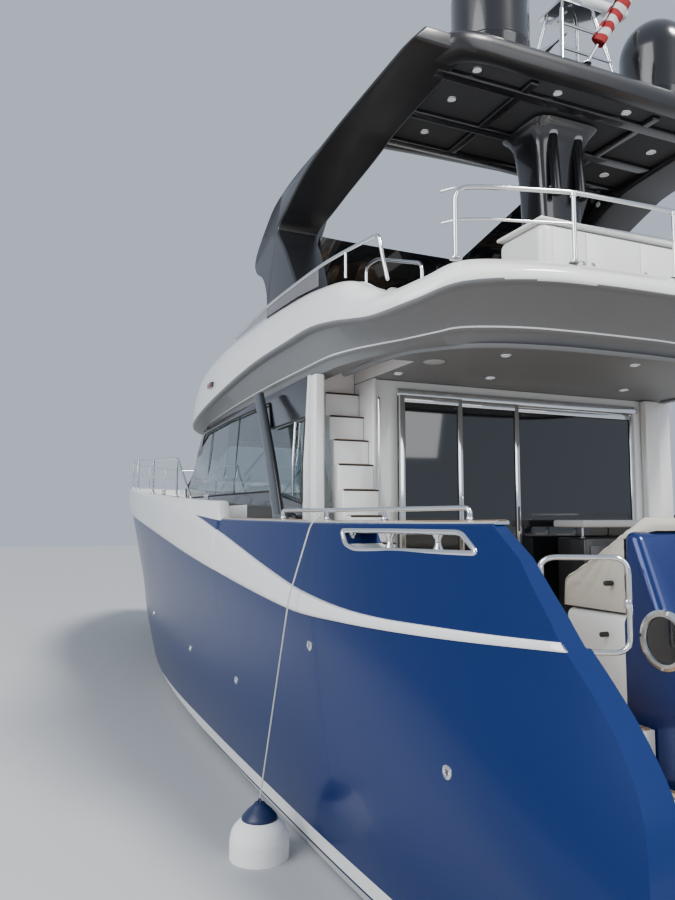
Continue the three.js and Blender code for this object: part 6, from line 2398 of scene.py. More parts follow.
@dataclass
class Hardtop:
    """Dark roof on two side arms and a pylon, with domes, radar and the furled ensign."""

    low: float = 5.59
    plan: tuple[Pair, ...] = ((-5.50, 0.0), (-5.49, 0.9), (-5.48, 1.28), (-5.37, 1.47), (-5.0, 1.59), (-4.3, 1.62),
                              (-3.96, 1.62), (-3.87, 1.56), (-3.90, 1.2), (-3.93, 0.8), (-3.96, 0.0))
    dome: Pair = (-5.08, 0.87)
    mast: float = -5.0
    mast_legs: tuple[Pair, ...] = ((-5.23, 0.3), (-5.23, -0.3), (-4.75, 0.3), (-4.75, -0.3))
    staff: tuple[Triple, Triple] = ((-5.44, 0.25, 5.764), (-5.70, -0.15, 6.56))
    spots: tuple[Pair, ...] = ((-5.23, 1.10), (-5.23, 0.35), (-5.23, -0.35), (-5.23, -1.10), (-4.82, 1.06),
                               (-4.82, -1.06), (-4.30, 1.0), (-4.30, -1.0))
    arm: tuple[Point, ...] = (
        (-5.40, 5.715), (-4.90, 5.735), (-4.50, 5.735), (-4.09, 5.70), (-3.70, 5.655), (-3.41, 5.59), (-2.95, 5.395),
        (-2.70, 5.20), (-2.50, 4.99), (-2.47, 4.87), (-2.56, 4.76), (-2.78, 4.64), (-2.95, 4.42), (-3.02, 4.145),
    )
    inner_edge: tuple[Point, ...] = (
        (-3.90, 4.145), (-3.70, 4.40), (-3.40, 4.74), (-3.12, 5.03), (-3.33, 5.17), (-3.54, 5.28), (-3.80, 5.38),
        (-4.11, 5.47), (-4.40, 5.53), (-5.40, 5.60),
    )
    face_out: tuple[Point, ...] = ((4.145, 1.985), (4.87, 1.93), (5.20, 1.89), (5.40, 1.85), (5.60, 1.74), (5.74, 1.61))
    face_in: tuple[Point, ...] = ((4.145, 1.70), (5.03, 1.50), (5.26, 1.39), (5.47, 1.30), (5.74, 1.29))

    def build(self) -> None:
        """Makes the roof and what stands on it."""
        roof = self._roof()
        arms = [self._arm(side) for side in (1, -1)]
        screen = loft("helm_screen", [[(x, a, z), (x, b, z), (x - 0.026, b, z), (x - 0.026, a, z)]
                                      for x, z, a, b in ((-3.085, 5.033, -0.13, -1.35), (-3.90, 5.60, -0.56, -1.56))])
        whole = made_of("hardtop_finish", (DARK_GELCOAT, roof, *arms), (BLACK_GLASS, bevelled(screen, 0.005, 2)))
        dress(whole, DARK_GELCOAT, "black_moulding", "hardtop")
        self._underside()
        self._pylon()
        for side, hand in SIDES:
            self._dome(side, hand)
        self._mast()
        self._ensign()

    def _plan(self, inset: float) -> list[Pair]:
        """Rounded outline of the roof, moved in.

        Args:
            inset: how far it is moved in.

        Returns:
            The closed outline.
        """
        middle = Vector((-4.70, 0.0))
        plan = []
        for p in spline(self.plan, 4):
            reach = Vector((p.x - middle.x, p.y))
            plan.append((p.x - inset * clamp(reach.x / 0.5, -1, 1), max(0.0, p.y - inset * clamp(p.y / 0.8))))
        return mirrored(plan)

    def _roof(self) -> Object:
        """Roof shell with a crowned top and a recess below.

        Returns:
            The shell.
        """
        levels = ((5.635, 0.155), (5.600, 0.150), (5.590, 0.135), (5.590, 0.045), (5.600, 0.015), (5.640, 0.0),
                  (5.700, 0.004), (5.742, 0.03), (5.757, 0.09), (5.762, 0.25))
        return loft("roof", [[(x, y, z) for x, y in self._plan(inset)] for z, inset in levels], angle=50)

    def _arm(self, side: int) -> Object:
        """Arm that sweeps from the coaming up to the roof.

        Args:
            side: 1 for port and -1 for starboard.

        Returns:
            The arm.
        """
        top = [tuple(p) for p in spline(self.arm, 5)]
        below = [tuple(p) for p in spline(self.inner_edge, 5)]
        outline = top + below
        rings = [[(x, side * sample(table, z)[1], z + 0.001) for x, z in outline]
                 for table in (self.face_out, self.face_in)]
        arm = loft("arm", rings, angle=40)
        return bevelled(arm, 0.022, 4, 50)

    def _underside(self) -> None:
        """Recessed lining, beams, lights, and the pale line along each arm."""
        z = self.low + 0.04
        lining = prism("lining", self._plan(0.17), "Z", z - 0.010, z)
        beams = [rounded("beam", (x - 0.05, -1.40, z - 0.05), (x + 0.05, 1.40, z - 0.002), 0.015)
                 for x in (-5.12, -4.55, -4.08)]
        beams += [rounded("spine", (-5.30, y - 0.04, z - 0.045), (-4.05, y + 0.04, z - 0.002), 0.015)
                  for y in (-0.62, 0.62)]
        dress(made_of("roof_lining", (LINER, lining), (BLACK, *beams)), LINER, "black_moulding")
        dress(joined("roof_lights", [lamp((x, y, z - 0.0105), 0.045) for x, y in self.spots]), STEEL, "steel")
        for side, hand in SIDES:
            line = [(-3.80, 4.30), (-3.62, 4.52), (-3.42, 4.72), (-3.22, 4.94)]
            strip = sweep("strip", [(x + 0.09, side * (sample(self.face_in, z0)[1] - 0.003), z0)
                                    for x, z0 in spline(line, 6)], 0.006, 8)
            lamps = []
            for x, z0 in ((-3.06, 5.16), (-3.42, 5.40), (-3.9, 5.53)):
                y = sample(self.face_in, z0)[1] - 0.001
                lamps.append(lathe("spot", [(0, -0.004), (0.02, -0.004), (0.028, -0.001), (0.028, 0.004), (0, 0.004)],
                                   (x, y, z0), "Y", sides=20))
                if side < 0:
                    for vertex in lamps[-1].data.vertices:
                        vertex.co.y = -vertex.co.y
                    tidy(lamps[-1])
            dress(made_of(f"arm_trim_{hand}", (STEEL, strip), (LAMP, *lamps)), STEEL, "steel")

    def _pylon(self) -> None:
        """Tapered pylon with two tubes on its aft face."""
        rows = spline([(ON_FLY, 0.20, 0.24), (4.7, 0.17, 0.21), (5.4, 0.19, 0.26), (5.586, 0.30, 0.33)], 6)
        rings = []
        for z, dx, dy in rows:
            rings.append([(-4.7 + dx * c, dy * s, z) for c, s in soft_box(40, (0.35, 0.35))])
        groups = [(BLACK, loft("pylon", rings, angle=50))]
        for y in (0.13, -0.13):
            groups.append((BLACK, sweep("tube", [(-4.935, y, 4.96), (-4.915, y, 5.23), (-4.895, y, 5.49)], 0.041, 24)))
            groups.append((GREY, lathe("cap", [(0, 0), (0.045, 0), (0.048, 0.01), (0.045, 0.03), (0.02, 0.045),
                                               (0, 0.047)], (-4.895, y, 5.485), sides=28)))
            groups += [(STEEL, sweep("clip", [(-4.93, y, z), (-4.86, y, z)], 0.02, 12)) for z in (5.05, 5.40)]
        dress(made_of("hardtop_pylon_finish", *groups), BLACK, "black_moulding", "hardtop_pylon")

    def _dome(self, side: int, hand: str) -> None:
        """Satellite dome with a seam and a base ring.

        Args:
            side: 1 for port and -1 for starboard.
            hand: port or starboard, for the names.
        """
        x, y = self.dome[0], side * self.dome[1]
        profile = [(0, 0.001), (0.225, 0.001), (0.232, 0.006), (0.285, 0.036), (0.294, 0.07), (0.2995, 0.12),
                   (0.3005, 0.124), (0.2975, 0.128), (0.2975, 0.134), (0.3005, 0.138), (0.3, 0.145)]
        profile += [(0.30 * math.cos(a), 0.52 + 0.34 * math.sin(a)) for a in (math.pi / 2 * n / 16 for n in range(16))]
        profile.append((0, 0.86))
        dome = lathe("dome", profile, (x, y, ROOF_TOP), sides=64)
        bolts = [lathe("bolt", [(0, 0.012), (0.007, 0.011), (0.009, 0.006), (0.009, 0), (0, 0)],
                       (x + 0.27 * math.cos(a), y + 0.27 * math.sin(a), ROOF_TOP - 0.001), sides=8)
                 for a in (n * math.pi / 3 for n in range(6))]
        base = lathe("ring", [(0, 0), (0.30, 0), (0.30, 0.006), (0.0, 0.006)], (x, y, ROOF_TOP - 0.005), sides=48)
        whole = made_of(f"dome_{hand}_finish", (BLACK, dome), (DARK, base), (STEEL, *bolts))
        dress(whole, BLACK, "black_moulding", f"dome_{hand}")

    def _mast(self) -> None:
        """Radar mast of four legs with a platform, and the turning scanner."""
        pieces = []
        for x, y in self.mast_legs:
            pieces.append(sweep("leg", [(x, y, 5.764), (lerp(self.mast, x, 0.7), y * 0.775, 6.14),
                                        (lerp(self.mast, x, 0.4), y * 0.55, 6.50)], 0.019, 16))
            pieces.append(foot(x, y, 5.760, 0.045))
        for z, share in ((6.05, 0.32), (6.30, 0.66)):
            w = lerp(0.3, 0.165, share) * 0.98
            x = self.mast - lerp(0.23, 0.09, share)
            pieces.append(sweep("brace", [(x, w, z), (x, -w, z)], 0.012, 12))
        pieces.append(plate("plate", "Z", (-5.15, -0.21), (-4.85, 0.21), 6.492, 6.515, 0.006))
        pieces.append(lathe("drive", [(0, 0), (0.10, 0), (0.11, 0.01), (0.11, 0.06), (0.09, 0.076), (0, 0.078)],
                            (self.mast, 0, 6.512), sides=40))
        horn = lathe("horn", [(0, -0.16), (0.012, -0.16), (0.014, 0.0), (0.03, 0.10), (0.042, 0.13), (0.04, 0.13),
                              (0.0, 0.08)], (-4.80, 0.0, 6.38), "X", sides=28)
        pieces.append(horn)
        light = lathe("light", [(0, 0), (0.03, 0), (0.03, 0.02), (0.026, 0.025), (0.026, 0.07), (0.02, 0.08),
                                (0, 0.082)], (-5.12, 0.17, 6.514), sides=28)
        dress(made_of("radar_mast_finish", (STEEL, *pieces), (LAMP, light)), STEEL, "steel", "radar_mast")
        bar = rounded("bar", (-5.06, -0.62, 6.63), (-4.94, 0.62, 6.72), 0.04)
        hub = lathe("hub", [(0, 0), (0.055, 0), (0.06, 0.006), (0.055, 0.036), (0, 0.038)], (self.mast, 0, 6.597),
                    sides=40)
        dress(made_of("radar_scanner_finish", (WHITE, bar, hub)), WHITE, "white_moulding", "radar_scanner",
              body="scanner")

    def _ensign(self) -> None:
        """Staff with a striped ensign rolled round it."""
        low, high = (Vector(p) for p in self.staff)
        axis = (high - low).normalized()
        across = axis.orthogonal().normalized()
        other = axis.cross(across)
        staff = sweep("staff", [low, low.lerp(high, 0.5), high], 0.0135, 18)
        ball = lathe("ball", [(0, -0.024), (0.016, -0.018), (0.024, 0), (0.016, 0.018), (0, 0.024)], high, sides=20)
        socket = foot(low.x, low.y, low.z - 0.004, 0.04)
        dress(joined("ensign_staff", [staff, ball, socket]), STEEL, "steel")
        rows, columns, turns = 52, 150, 3.1
        vertices, faces, tints = [], [], []
        for i in range(rows + 1):
            t = i / rows
            centre = low.lerp(high, lerp(0.20, 0.93, t))
            loose = 0.62 + 0.38 * math.sin(math.pi * (1 - t) ** 0.7)
            for j in range(columns + 1):
                u = j / columns
                a = 2 * math.pi * turns * u + 0.5 * math.sin(5 * t)
                r = 0.0155 + (0.012 + 0.046 * loose * u) * u**0.4
                r += 0.006 * u * math.sin(3 * a + 9 * t) + 0.004 * u * math.sin(17 * t + 2 * a)
                vertices.append(centre + (across * math.cos(a) + other * math.sin(a)) * r)
        for i in range(rows):
            for j in range(columns):
                n = i * (columns + 1) + j
                faces.append((n, n + 1, n + columns + 2, n + columns + 1))
                tints.append(int(i * 13 / rows) % 2)
        mesh = bpy.data.meshes.new("ensign_cloth")
        mesh.from_pydata([tuple(v) for v in vertices], [], faces)
        cloth = link("ensign_cloth", mesh)
        for finish in (BUNTING_RED, BUNTING_WHITE):
            mesh.materials.append(finish.material())
        mesh.polygons.foreach_set("material_index", tints)
        thick = cloth.modifiers.new("thickness", "SOLIDIFY")
        thick.thickness = 0.0008
        evaluated(cloth)
        smooth(cloth, 70)
        dress(cloth, BUNTING_RED, "ensign_cloth", "ensign")


@dataclass(frozen=True)
class SideBand:
    """White house sides with a black band round the windows."""

    aft: float = -4.02
    fore: float = 1.42
    low: float = 2.45
    foot: float = 1.95
    turn: float = -2.45

    def material(self) -> bpy.types.Material:
        """The walls' material, made once."""
        return made_once("house_paint", self._fill)

    def _fill(self, t: Tree, shader: bpy.types.Node, vector: Socket) -> None:
        """Joins the band to the shader.

        Args:
            t: the material's tree.
            shader: its Principled node.
            vector: object coordinates.
        """
        place, normal = t.add("ShaderNodeSeparateXYZ"), t.add("ShaderNodeSeparateXYZ")
        t.join(vector, place.inputs[0])
        t.join(t.add("ShaderNodeNewGeometry").outputs["Normal"], normal.inputs[0])
        x, y, z = place.outputs
        outside = t.math("GREATER_THAN", t.math("MULTIPLY", normal.outputs["Y"], t.math("SIGN", y)), 0.3)
        along = t.math("MULTIPLY", t.math("GREATER_THAN", x, self.aft), t.math("LESS_THAN", x, self.fore))
        above = t.math("GREATER_THAN", z, self.low)
        foot = t.math("MULTIPLY", t.math("GREATER_THAN", z, self.foot), t.math("LESS_THAN", x, self.turn))
        band = t.math("MULTIPLY", t.math("MULTIPLY", outside, along), t.math("MAXIMUM", above, foot))
        weather(t, shader, vector, t.mix(band, WHITE.color, BLACK.color), (0.015, 0.16, 0.05, 2.0))
        shader.inputs["Coat Weight"].default_value = 0.4


@dataclass
class House:
    """House walls, glazing with its seals, struts and what shows through the glass."""

    belt: float = 2.75
    strut: tuple[tuple[float, float, float, float], ...] = (
        (-3.92, 2.125, 1.86, 0.15), (-3.88, 2.12, 2.10, 0.12), (-3.49, 2.085, 2.8, 0.10), (-3.02, 2.05, 3.466, 0.10),
    )
    seat: float = 0.8334
    top: float = 3.469
    window: tuple[Point, ...] = ((-4.02, 2.43), (-4.02, 3.13), (-3.13, 3.13), (-3.02, 3.39), (-0.15, 3.40),
                                 (1.10, 2.72), (1.00, 2.60), (-3.15, 2.56))
    crown: tuple[Point, ...] = ((-4.12, 1.96), (-1.5, 1.90), (0.0, 1.81), (0.75, 1.52), (1.18, 1.06), (1.42, 0.52),
                                (1.48, 0.0))

    def build(self) -> None:
        """Makes the house."""
        walls = bevelled(node_copy("house_walls", "house_walls_skin"), 0.008, 3)
        dress(walls, SideBand(), "white_moulding", "house_walls")
        for side, hand in SIDES:
            self._glass(side, hand)
            self._strut(side, hand)
        self._windscreen()
        self._galley()
        self._lounge()
        self._lower_helm()

    def _face(self, side: int, x: float, z: float, out: float = 0.0) -> Triple:
        """Point on the side's outer face.

        Args:
            side: 1 for port and -1 for starboard.
            x: place along the boat.
            z: height.
            out: how far off the face.

        Returns:
            The point.
        """
        share = clamp((z - self.belt) / (self.top - self.belt))
        rows = [sorted(table) for table in (HOUSE_BASE, self.crown)]
        base, crown = (self.straight(table, x) for table in rows)
        return (x, side * (lerp(base, crown, share) + out), z)

    @staticmethod
    def straight(table: Sequence[Point], x: float) -> float:
        """Width on straight runs between a table's rows.

        Args:
            table: rows of x and width.
            x: place along it.

        Returns:
            The width.
        """
        k = next((i for i in range(len(table) - 1) if table[i + 1][0] > x), len(table) - 2)
        a, b = table[k], table[k + 1]
        return lerp(a[1], b[1], clamp((x - a[0]) / (b[0] - a[0])))

    def _glass(self, side: int, hand: str) -> None:
        """Pane with a seal, a slim post and two joint lines.

        Args:
            side: 1 for port and -1 for starboard.
            hand: port or starboard, for the names.
        """
        node = f"side_glass_{hand}"
        pane = smooth(node_copy(node), 20)
        loop = []
        corners = ring_line(self.window, 0.03, 4)
        for a, b in zip(corners, corners[1:] + corners[:1]):
            steps = max(1, round((b - a).length / 0.25))
            loop += [self._face(side, *a.lerp(b, n / steps), out=0.001) for n in range(steps)]
        seal = sweep("seal", loop, 0.009, 8, closed=True)
        line = [self._face(side, x, z, -0.015) for x, z in ((-3.74, 2.50), (-3.74, 2.8), (-3.74, 3.12))]
        post = sweep("post", line, 0.012, 10)
        joints = [sweep("joint", [self._face(side, x, z, -0.0185) for z in (z0, (z0 + z1) / 2, z1)], 0.004, 6)
                  for x, z0, z1 in ((-1.9, 2.58, 3.39), (-0.55, 2.59, 3.38))]
        whole = made_of(f"{node}_set", (GLASS, pane), (RUBBER, seal), (STEEL, post), (RUBBER, *joints))
        dress(whole, GLASS, "glass", node)

    def _strut(self, side: int, hand: str) -> None:
        """Slanted strut with a rounded section on a moulded foot.

        Args:
            side: 1 for port and -1 for starboard.
            hand: port or starboard, for the names.
        """
        rings = []
        for x, y, z, half in spline(self.strut, 5):
            rings.append([(x + half * c, side * (y + 0.026 * s), z) for c, s in soft_box(28, (0.5, 0.6))])
        strut = loft("strut", rings, angle=50)
        low, high = sorted((side * 2.02, side * 2.145))
        shoe = rounded("shoe", (-4.08, low, 1.86), (-3.66, high, 2.36), 0.05, step=0.08)
        for vertex in shoe.data.vertices:
            lean = clamp((vertex.co.z - 1.86) / 0.5)
            vertex.co.x = lerp(vertex.co.x, -3.84 + (vertex.co.x + 3.87) * 0.72, lean)
        dress(made_of(f"side_strut_{hand}_finish", (BLACK, strut, shoe)), BLACK, "black_moulding", f"side_strut_{hand}")

    def _windscreen(self) -> None:
        """Windscreen with mullions and two wipers."""
        pane = smooth(node_copy("windscreen_glass"), 20)

        def at(y: float, share: float, out: float) -> Vector:
            """Point on the screen at a share of its height.

            Args:
                y: place across the screen.
                share: share of its height.
                out: how far off the face.

            Returns:
                The point.
            """
            base = sorted((b, a) for a, b in HOUSE_BASE)
            crown = sorted((b, a) for a, b in self.crown)
            x0, x1 = self.straight(base, abs(y)), self.straight(crown, abs(y) * 0.78)
            return Vector((lerp(x0, x1, share), y * lerp(1, 0.8, share),
                           lerp(self.belt, self.top, share))) + Vector((0.3, 0, 0.95)) * out

        bars = [sweep("mullion", [at(y, share, -0.01) for share in (0.06, 0.5, 0.93)], 0.016, 10) for y in (0.5, -0.5)]
        wipers: list[tuple[Finish | Object, ...]] = []
        for y in (0.30, -0.30):
            wipers.append((BLACK, tube("arm", [tuple(at(y, 0.03, 0.03)), tuple(at(y * 1.4, 0.30, 0.035))], 0.007, 0.02,
                                       10)))
            wipers.append((RUBBER, sweep("blade", [at(y * 0.5, 0.31, 0.018), at(y * 1.4, 0.30, 0.022),
                                                   at(y * 2.3, 0.29, 0.014)], 0.006, 8)))
            base = at(y, 0.03, 0.0)
            wipers.append((BLACK, lathe("hub", [(0, 0), (0.024, 0), (0.024, 0.03), (0.016, 0.04), (0, 0.041)], base,
                                        sides=20)))
        dress(made_of("windscreen_set", (GLASS, pane), (BLACK, *bars), *wipers), GLASS, "glass", "windscreen_glass")

    def _galley(self) -> None:
        """Cabinets with doors, a stone top, sink and tap."""
        groups: list[tuple[Finish | Object, ...]] = []
        for x0, x1, y0, y1 in ((-3.95, -1.5, -1.8, -1.2), (-2.3, -1.5, -1.205, -0.5)):
            groups.append((WALNUT, rounded("case", (x0, y0, ON_SOLE), (x1, y1, 2.165), 0.012, step=0.3)))
            groups.append((GREY, rounded("stone", (x0, y0, 2.170), (x1, y1, 2.209), 0.010, step=0.3)))
        for n in range(4):
            x = -3.93 + n * 0.405
            groups.append((WALNUT, plate("door", "Y", (x + 0.004, 1.36), (x + 0.40, 2.14), -1.201, -1.186, 0.003)))
            groups.append((STEEL, sweep("pull", [(x + 0.1, -1.172, 2.08), (x + 0.2, -1.172, 2.08),
                                                 (x + 0.3, -1.172, 2.08)], 0.006, 10)))
        groups.append((STEEL, rounded("sink", (-3.4, -1.68, 2.205), (-2.9, -1.32, 2.214), 0.004)))
        groups.append((STEEL, tube("tap", [(-3.15, -1.72, 2.21), (-3.15, -1.72, 2.45), (-3.15, -1.55, 2.45),
                                           (-3.15, -1.55, 2.40)], 0.010, 0.05)))
        dress(made_of("galley_finish", *groups), WALNUT, "walnut", "galley_counter")

    def _lounge(self) -> None:
        """Saloon sofa: wooden base, seat and back cushions, a walnut floor and a table."""
        base = rounded("saloon_base", (-2.69, 0.93, ON_SOLE), (-0.21, 1.78, 1.56), 0.01, step=0.3)
        dress(base, WALNUT, "walnut")
        for n in range(3):
            x0, x1 = -2.7 + n * self.seat, -2.7 + (n + 1) * self.seat - 0.004
            Cushion(f"saloon_seat_{n + 1}", (x0, 0.905, 1.56), (x1, 1.485, 1.74), 0.055,
                    step=0.036).build(VINYL, "upholstery", *(("saloon_sofa",) if n == 0 else ()))
            Cushion(f"saloon_back_{n + 1}", (x0, 1.505, 1.66), (x1, 1.785, 2.13), 0.07, 0.012, ((2, 1.92),), (1, 1),
                    step=0.036).build(VINYL, "upholstery")
        plan = [(x - 0.04, y - 0.10) for x, y in HOUSE_BASE if y > 1.0]
        floor = prism("saloon_planks", mirrored([(max(x, -4.05), y) for x, y in plan]), "Z", SOLE - 0.004, SOLE + 0.006)
        dress(floor, WALNUT, "walnut")
        table = made_of("saloon_table", (WALNUT, rounded("top", (-2.05, -0.30, 1.955), (-1.52, 0.55, 1.985), 0.012)),
                        (STEEL, lathe("leg", [(0, 0), (0.16, 0), (0.16, 0.01), (0.04, 0.02), (0.04, 0.62), (0.1, 0.65),
                                              (0, 0.65)], (-1.78, 0.12, 1.307), sides=32)))
        dress(table, WALNUT, "walnut")

    def _lower_helm(self) -> None:
        """Inside helm: dash, instruments, wheel and a bolstered seat."""
        dash = rounded("dash", (0.70, -1.25, ON_SOLE), (1.90, 1.25, 2.30), 0.06, step=0.2)
        brow = rounded("brow", (0.82, -1.15, 2.28), (1.88, -0.15, 2.448), 0.05, step=0.1)
        wheel = steering_wheel((0.60, -0.65, 2.20), 0.09, (0.62, -0.65, 2.19),
                               ((0.62, -0.65, 2.19), (0.80, -0.65, 2.10)), 0.013, 36, 10)
        screens = [plate("screen", "X", (y, 2.31), (y + 0.36, 2.43), 0.815, 0.83, 0.004) for y in (-1.08, -0.60)]
        pedestal = rounded("pedestal", (-0.20, -0.85, ON_SOLE), (0.70, -0.45, 1.56), 0.03, step=0.2)
        dress(made_of("lower_helm_finish", (DARK, dash, brow, *wheel), (BLACK_GLASS, *screens), (WALNUT, pedestal)),
              DARK, "dark_helm", "lower_helm")
        Cushion("lower_seat", (-0.29, -0.94, 1.56), (0.60, -0.36, 1.695), 0.05, 0.01, ((0, 0.15),),
                step=0.036).build(DARK_VINYL, "dark_upholstery")
        Cushion("lower_back", (-0.375, -0.925, 1.62), (-0.27, -0.375, 2.485), 0.05, 0.008, ((2, 2.1),), (0, -1),
                step=0.036).build(DARK_VINYL, "dark_upholstery")


@dataclass
class Foredeck:
    """Rails, anchor gear, hatches, sunpad and nonskid of the decks forward."""

    rail_posts: tuple[float, ...] = (-0.6, 0.9, 2.4, 3.9, 5.3, 6.6, 7.6)
    rail_up: float = 0.48
    windlass: float = 7.75
    pads: tuple[Triple, ...] = ((4.05, 4.60, 0.80), (4.605, 5.175, 0.74), (5.18, 5.745, 0.64))
    hatches: tuple[Pair, ...] = ((3.60, 2.906), (6.02, 2.832))
    treads: tuple[Pair, ...] = ((-3.4, -1.6), (-1.5, 0.4), (0.5, 2.0), (2.1, 3.6))
    cleats: tuple[float, ...] = (-1.9, 0.2, 6.9)

    def build(self) -> None:
        """Makes the foredeck's pieces."""
        self._rail()
        self._anchor()
        self._windlass()
        self._lid()
        self._sunpad()
        self._hatches()
        self._nonskid()
        self._cleats()

    def _rail(self) -> None:
        """Welded bow rail with an intermediate bar and round feet."""
        def at(x: float, side: int, up: float) -> Triple:
            """Point over the bulwark's outer part."""
            s = station(x)
            return (x, side * (s[SHEER_Y] - 0.045), s[SHEER_Z] + up)

        dense = [lerp(-0.6, 8.28, n / 34) for n in range(35)]
        pieces = []
        port = [at(-1.3, 1, 0.02), *[at(x, 1, self.rail_up) for x in dense]]
        loop = port + [(x, -y, z) for x, y, z in reversed(port)]
        pieces.append(tube("top", loop, 0.0138, 0.05))
        for side in (1, -1):
            pieces.append(sweep("wire", [at(x, side, 0.25) for x in dense[1:-1]], 0.006, 8))
            for x in self.rail_posts:
                pieces.append(sweep("post", [at(x, side, 0.01), at(x, side, 0.25), at(x, side, 0.478)], 0.0125, 12))
                pieces.append(lathe("collar", [(0, -0.01), (0.018, -0.01), (0.018, 0.01), (0, 0.01)],
                                    at(x, side, 0.466), sides=16))
                pieces.append(foot(*at(x, side, 0.012), 0.036))
            pieces.append(foot(*at(-1.3, side, 0.012), 0.036))
        dress(joined("bow_rail_finish", pieces), STEEL, "steel", "bow_rail")

    def _anchor(self) -> None:
        """Bow roller with cheeks and the plough anchor in it."""
        pieces = [plate("tray", "Z", (8.15, -0.055), (8.78, 0.055), 3.012, 3.022, 0.003)]
        for y in (-0.058, 0.052):
            pieces.append(slab("cheek", [(8.20, 3.012), (8.77, 3.0), (8.80, 2.955), (8.79, 3.03), (8.66, 3.10),
                                         (8.25, 3.05)], "Y", y, y + 0.006, 0.002))
        roller = lathe("roller", [(0, -0.045), (0.05, -0.045), (0.05, -0.035), (0.03, -0.01), (0.03, 0.01),
                                  (0.05, 0.035), (0.05, 0.045), (0, 0.045)], (8.74, 0, 2.99), "Y", sides=32)
        pieces.append(sweep("pin", [(8.74, -0.062, 2.99), (8.74, 0.062, 2.99)], 0.012, 14))
        shank = sweep("shank", [(8.45, 0, 3.085), (8.62, 0, 3.05), (8.78, 0, 2.98), (8.84, 0, 2.93)], 0.020, 14)
        pieces.append(shank)
        pieces.append(tube("swan", [(8.84, 0, 2.95), (8.83, 0, 2.80), (8.77, 0, 2.68)], 0.022, 0.06))
        fluke = []
        for part in (0.0, 0.25, 0.5, 0.75, 1.0):
            z, x = lerp(2.88, 2.56, part), lerp(8.62, 8.84, part)
            wide = 0.165 * (1 - part) ** 0.7 + 0.012
            fluke.append([(x + 0.035, 0, z - 0.01), (x - 0.02, wide, z + 0.02), (x - 0.032, wide * 0.98, z + 0.02),
                          (x + 0.005, 0, z - 0.02), (x - 0.032, -wide * 0.98, z + 0.02), (x - 0.02, -wide, z + 0.02)])
        pieces.append(loft("fluke", fluke, angle=30))
        pieces.append(sweep("shackle", fillet([(8.43, 0.0, 3.07), (8.38, 0, 3.10), (8.38, 0, 3.06), (8.43, 0, 3.06)],
                                              0.02, 4), 0.006, 10))
        dress(made_of("anchor_finish", (STEEL, *pieces), (RUBBER, roller)), STEEL, "steel", "anchor")

    def _windlass(self) -> None:
        """Windlass drum on its pad with a foot switch on each side."""
        z = sample(STATIONS, self.windlass)[JOINT_Z] + DECK_STEP
        drum = lathe("drum", [(0, 0), (0.13, 0), (0.135, 0.01), (0.12, 0.03), (0.075, 0.045), (0.06, 0.09),
                              (0.075, 0.13), (0.095, 0.145), (0.09, 0.165), (0.03, 0.175), (0, 0.175)],
                     (self.windlass, 0, z), sides=48)
        switches = [lathe("switch", [(0, 0), (0.04, 0), (0.042, 0.01), (0.03, 0.018), (0, 0.019)], (7.72, y, z),
                          sides=28) for y in (-0.22, 0.22)]
        dress(made_of("windlass", (STEEL, drum), (RUBBER, *switches)), STEEL, "steel")

    def _lid(self) -> None:
        """Locker lid with a rim and a flush latch."""
        body = bevelled(node_copy("anchor_locker_lid"), 0.008, 3)
        z = sample(STATIONS, 7.1)[JOINT_Z] + DECK_STEP + 0.034
        latch = lathe("latch", [(0, 0.004), (0.03, 0.004), (0.036, 0.001), (0.036, -0.004), (0, -0.004)], (7.10, 0, z),
                      sides=28)
        dress(made_of("anchor_locker_lid_set", (WHITE, body), (STEEL, latch)), WHITE, "white_moulding",
              "anchor_locker_lid", body="locker_lid")

    def _sunpad(self) -> None:
        """Foredeck sunpad in three lengths with piping."""
        for n, (x0, x1, w) in enumerate(self.pads):
            for side, hand in SIDES:
                low, high = sorted((side * 0.004, side * w))
                z = lerp(2.916, 2.876, clamp((x0 - 4.6) / 1.1))
                Cushion(f"sunpad_{n + 1}_{hand}", (x0, low, z), (x1, high, z + 0.088), 0.038, 0.008,
                        ((1, side * w * 0.5),)).build(VINYL, "upholstery",
                                                      *(("bow_sunpad",) if n == 0 and side > 0 else ()))

    def _hatches(self) -> None:
        """Dark deck hatches in polished rims on the trunk."""
        for n, (x, z) in enumerate(self.hatches):
            rim = rounded("rim", (x - 0.25, -0.25, z - 0.01), (x + 0.25, 0.25, z + 0.024), 0.012)
            pane = rounded("pane", (x - 0.22, -0.22, z + 0.018), (x + 0.22, 0.22, z + 0.029), 0.005)
            handles = [lathe("dog", [(0, 0), (0.02, 0), (0.02, 0.004), (0, 0.008)], (x - 0.17, y, z + 0.028), sides=20)
                       for y in (-0.15, 0.15)]
            dress(made_of(f"deck_hatch_{n + 1}", (STEEL, rim), (BLACK_GLASS, pane), (DARK, *handles)), STEEL, "steel")

    def _nonskid(self) -> None:
        """Textured treads on the side decks and foredeck."""
        for side, hand in SIDES:
            for n, (x0, x1) in enumerate(self.treads):
                rings = []
                for k in range(13):
                    x = lerp(x0, x1, k / 12)
                    s = station(x)
                    outer = s[JOINT_Y] - min(BULWARK, s[SHEER_Y] * 0.4) - 0.06
                    inner = max(House.straight(sorted(HOUSE_BASE), x) + 0.05, 0.3)
                    z = s[JOINT_Z] + DECK_STEP
                    rings.append([(x, side * a, z + h) for a, h in ((inner, -0.002), (inner, 0.003), (outer, 0.003),
                                                                    (outer, -0.002))])
                if all(r[2][1] * side > r[1][1] * side + 0.05 for r in rings):
                    dress(loft(f"nonskid_{hand}_{n + 1}", rings), NONSKID, "white_moulding")

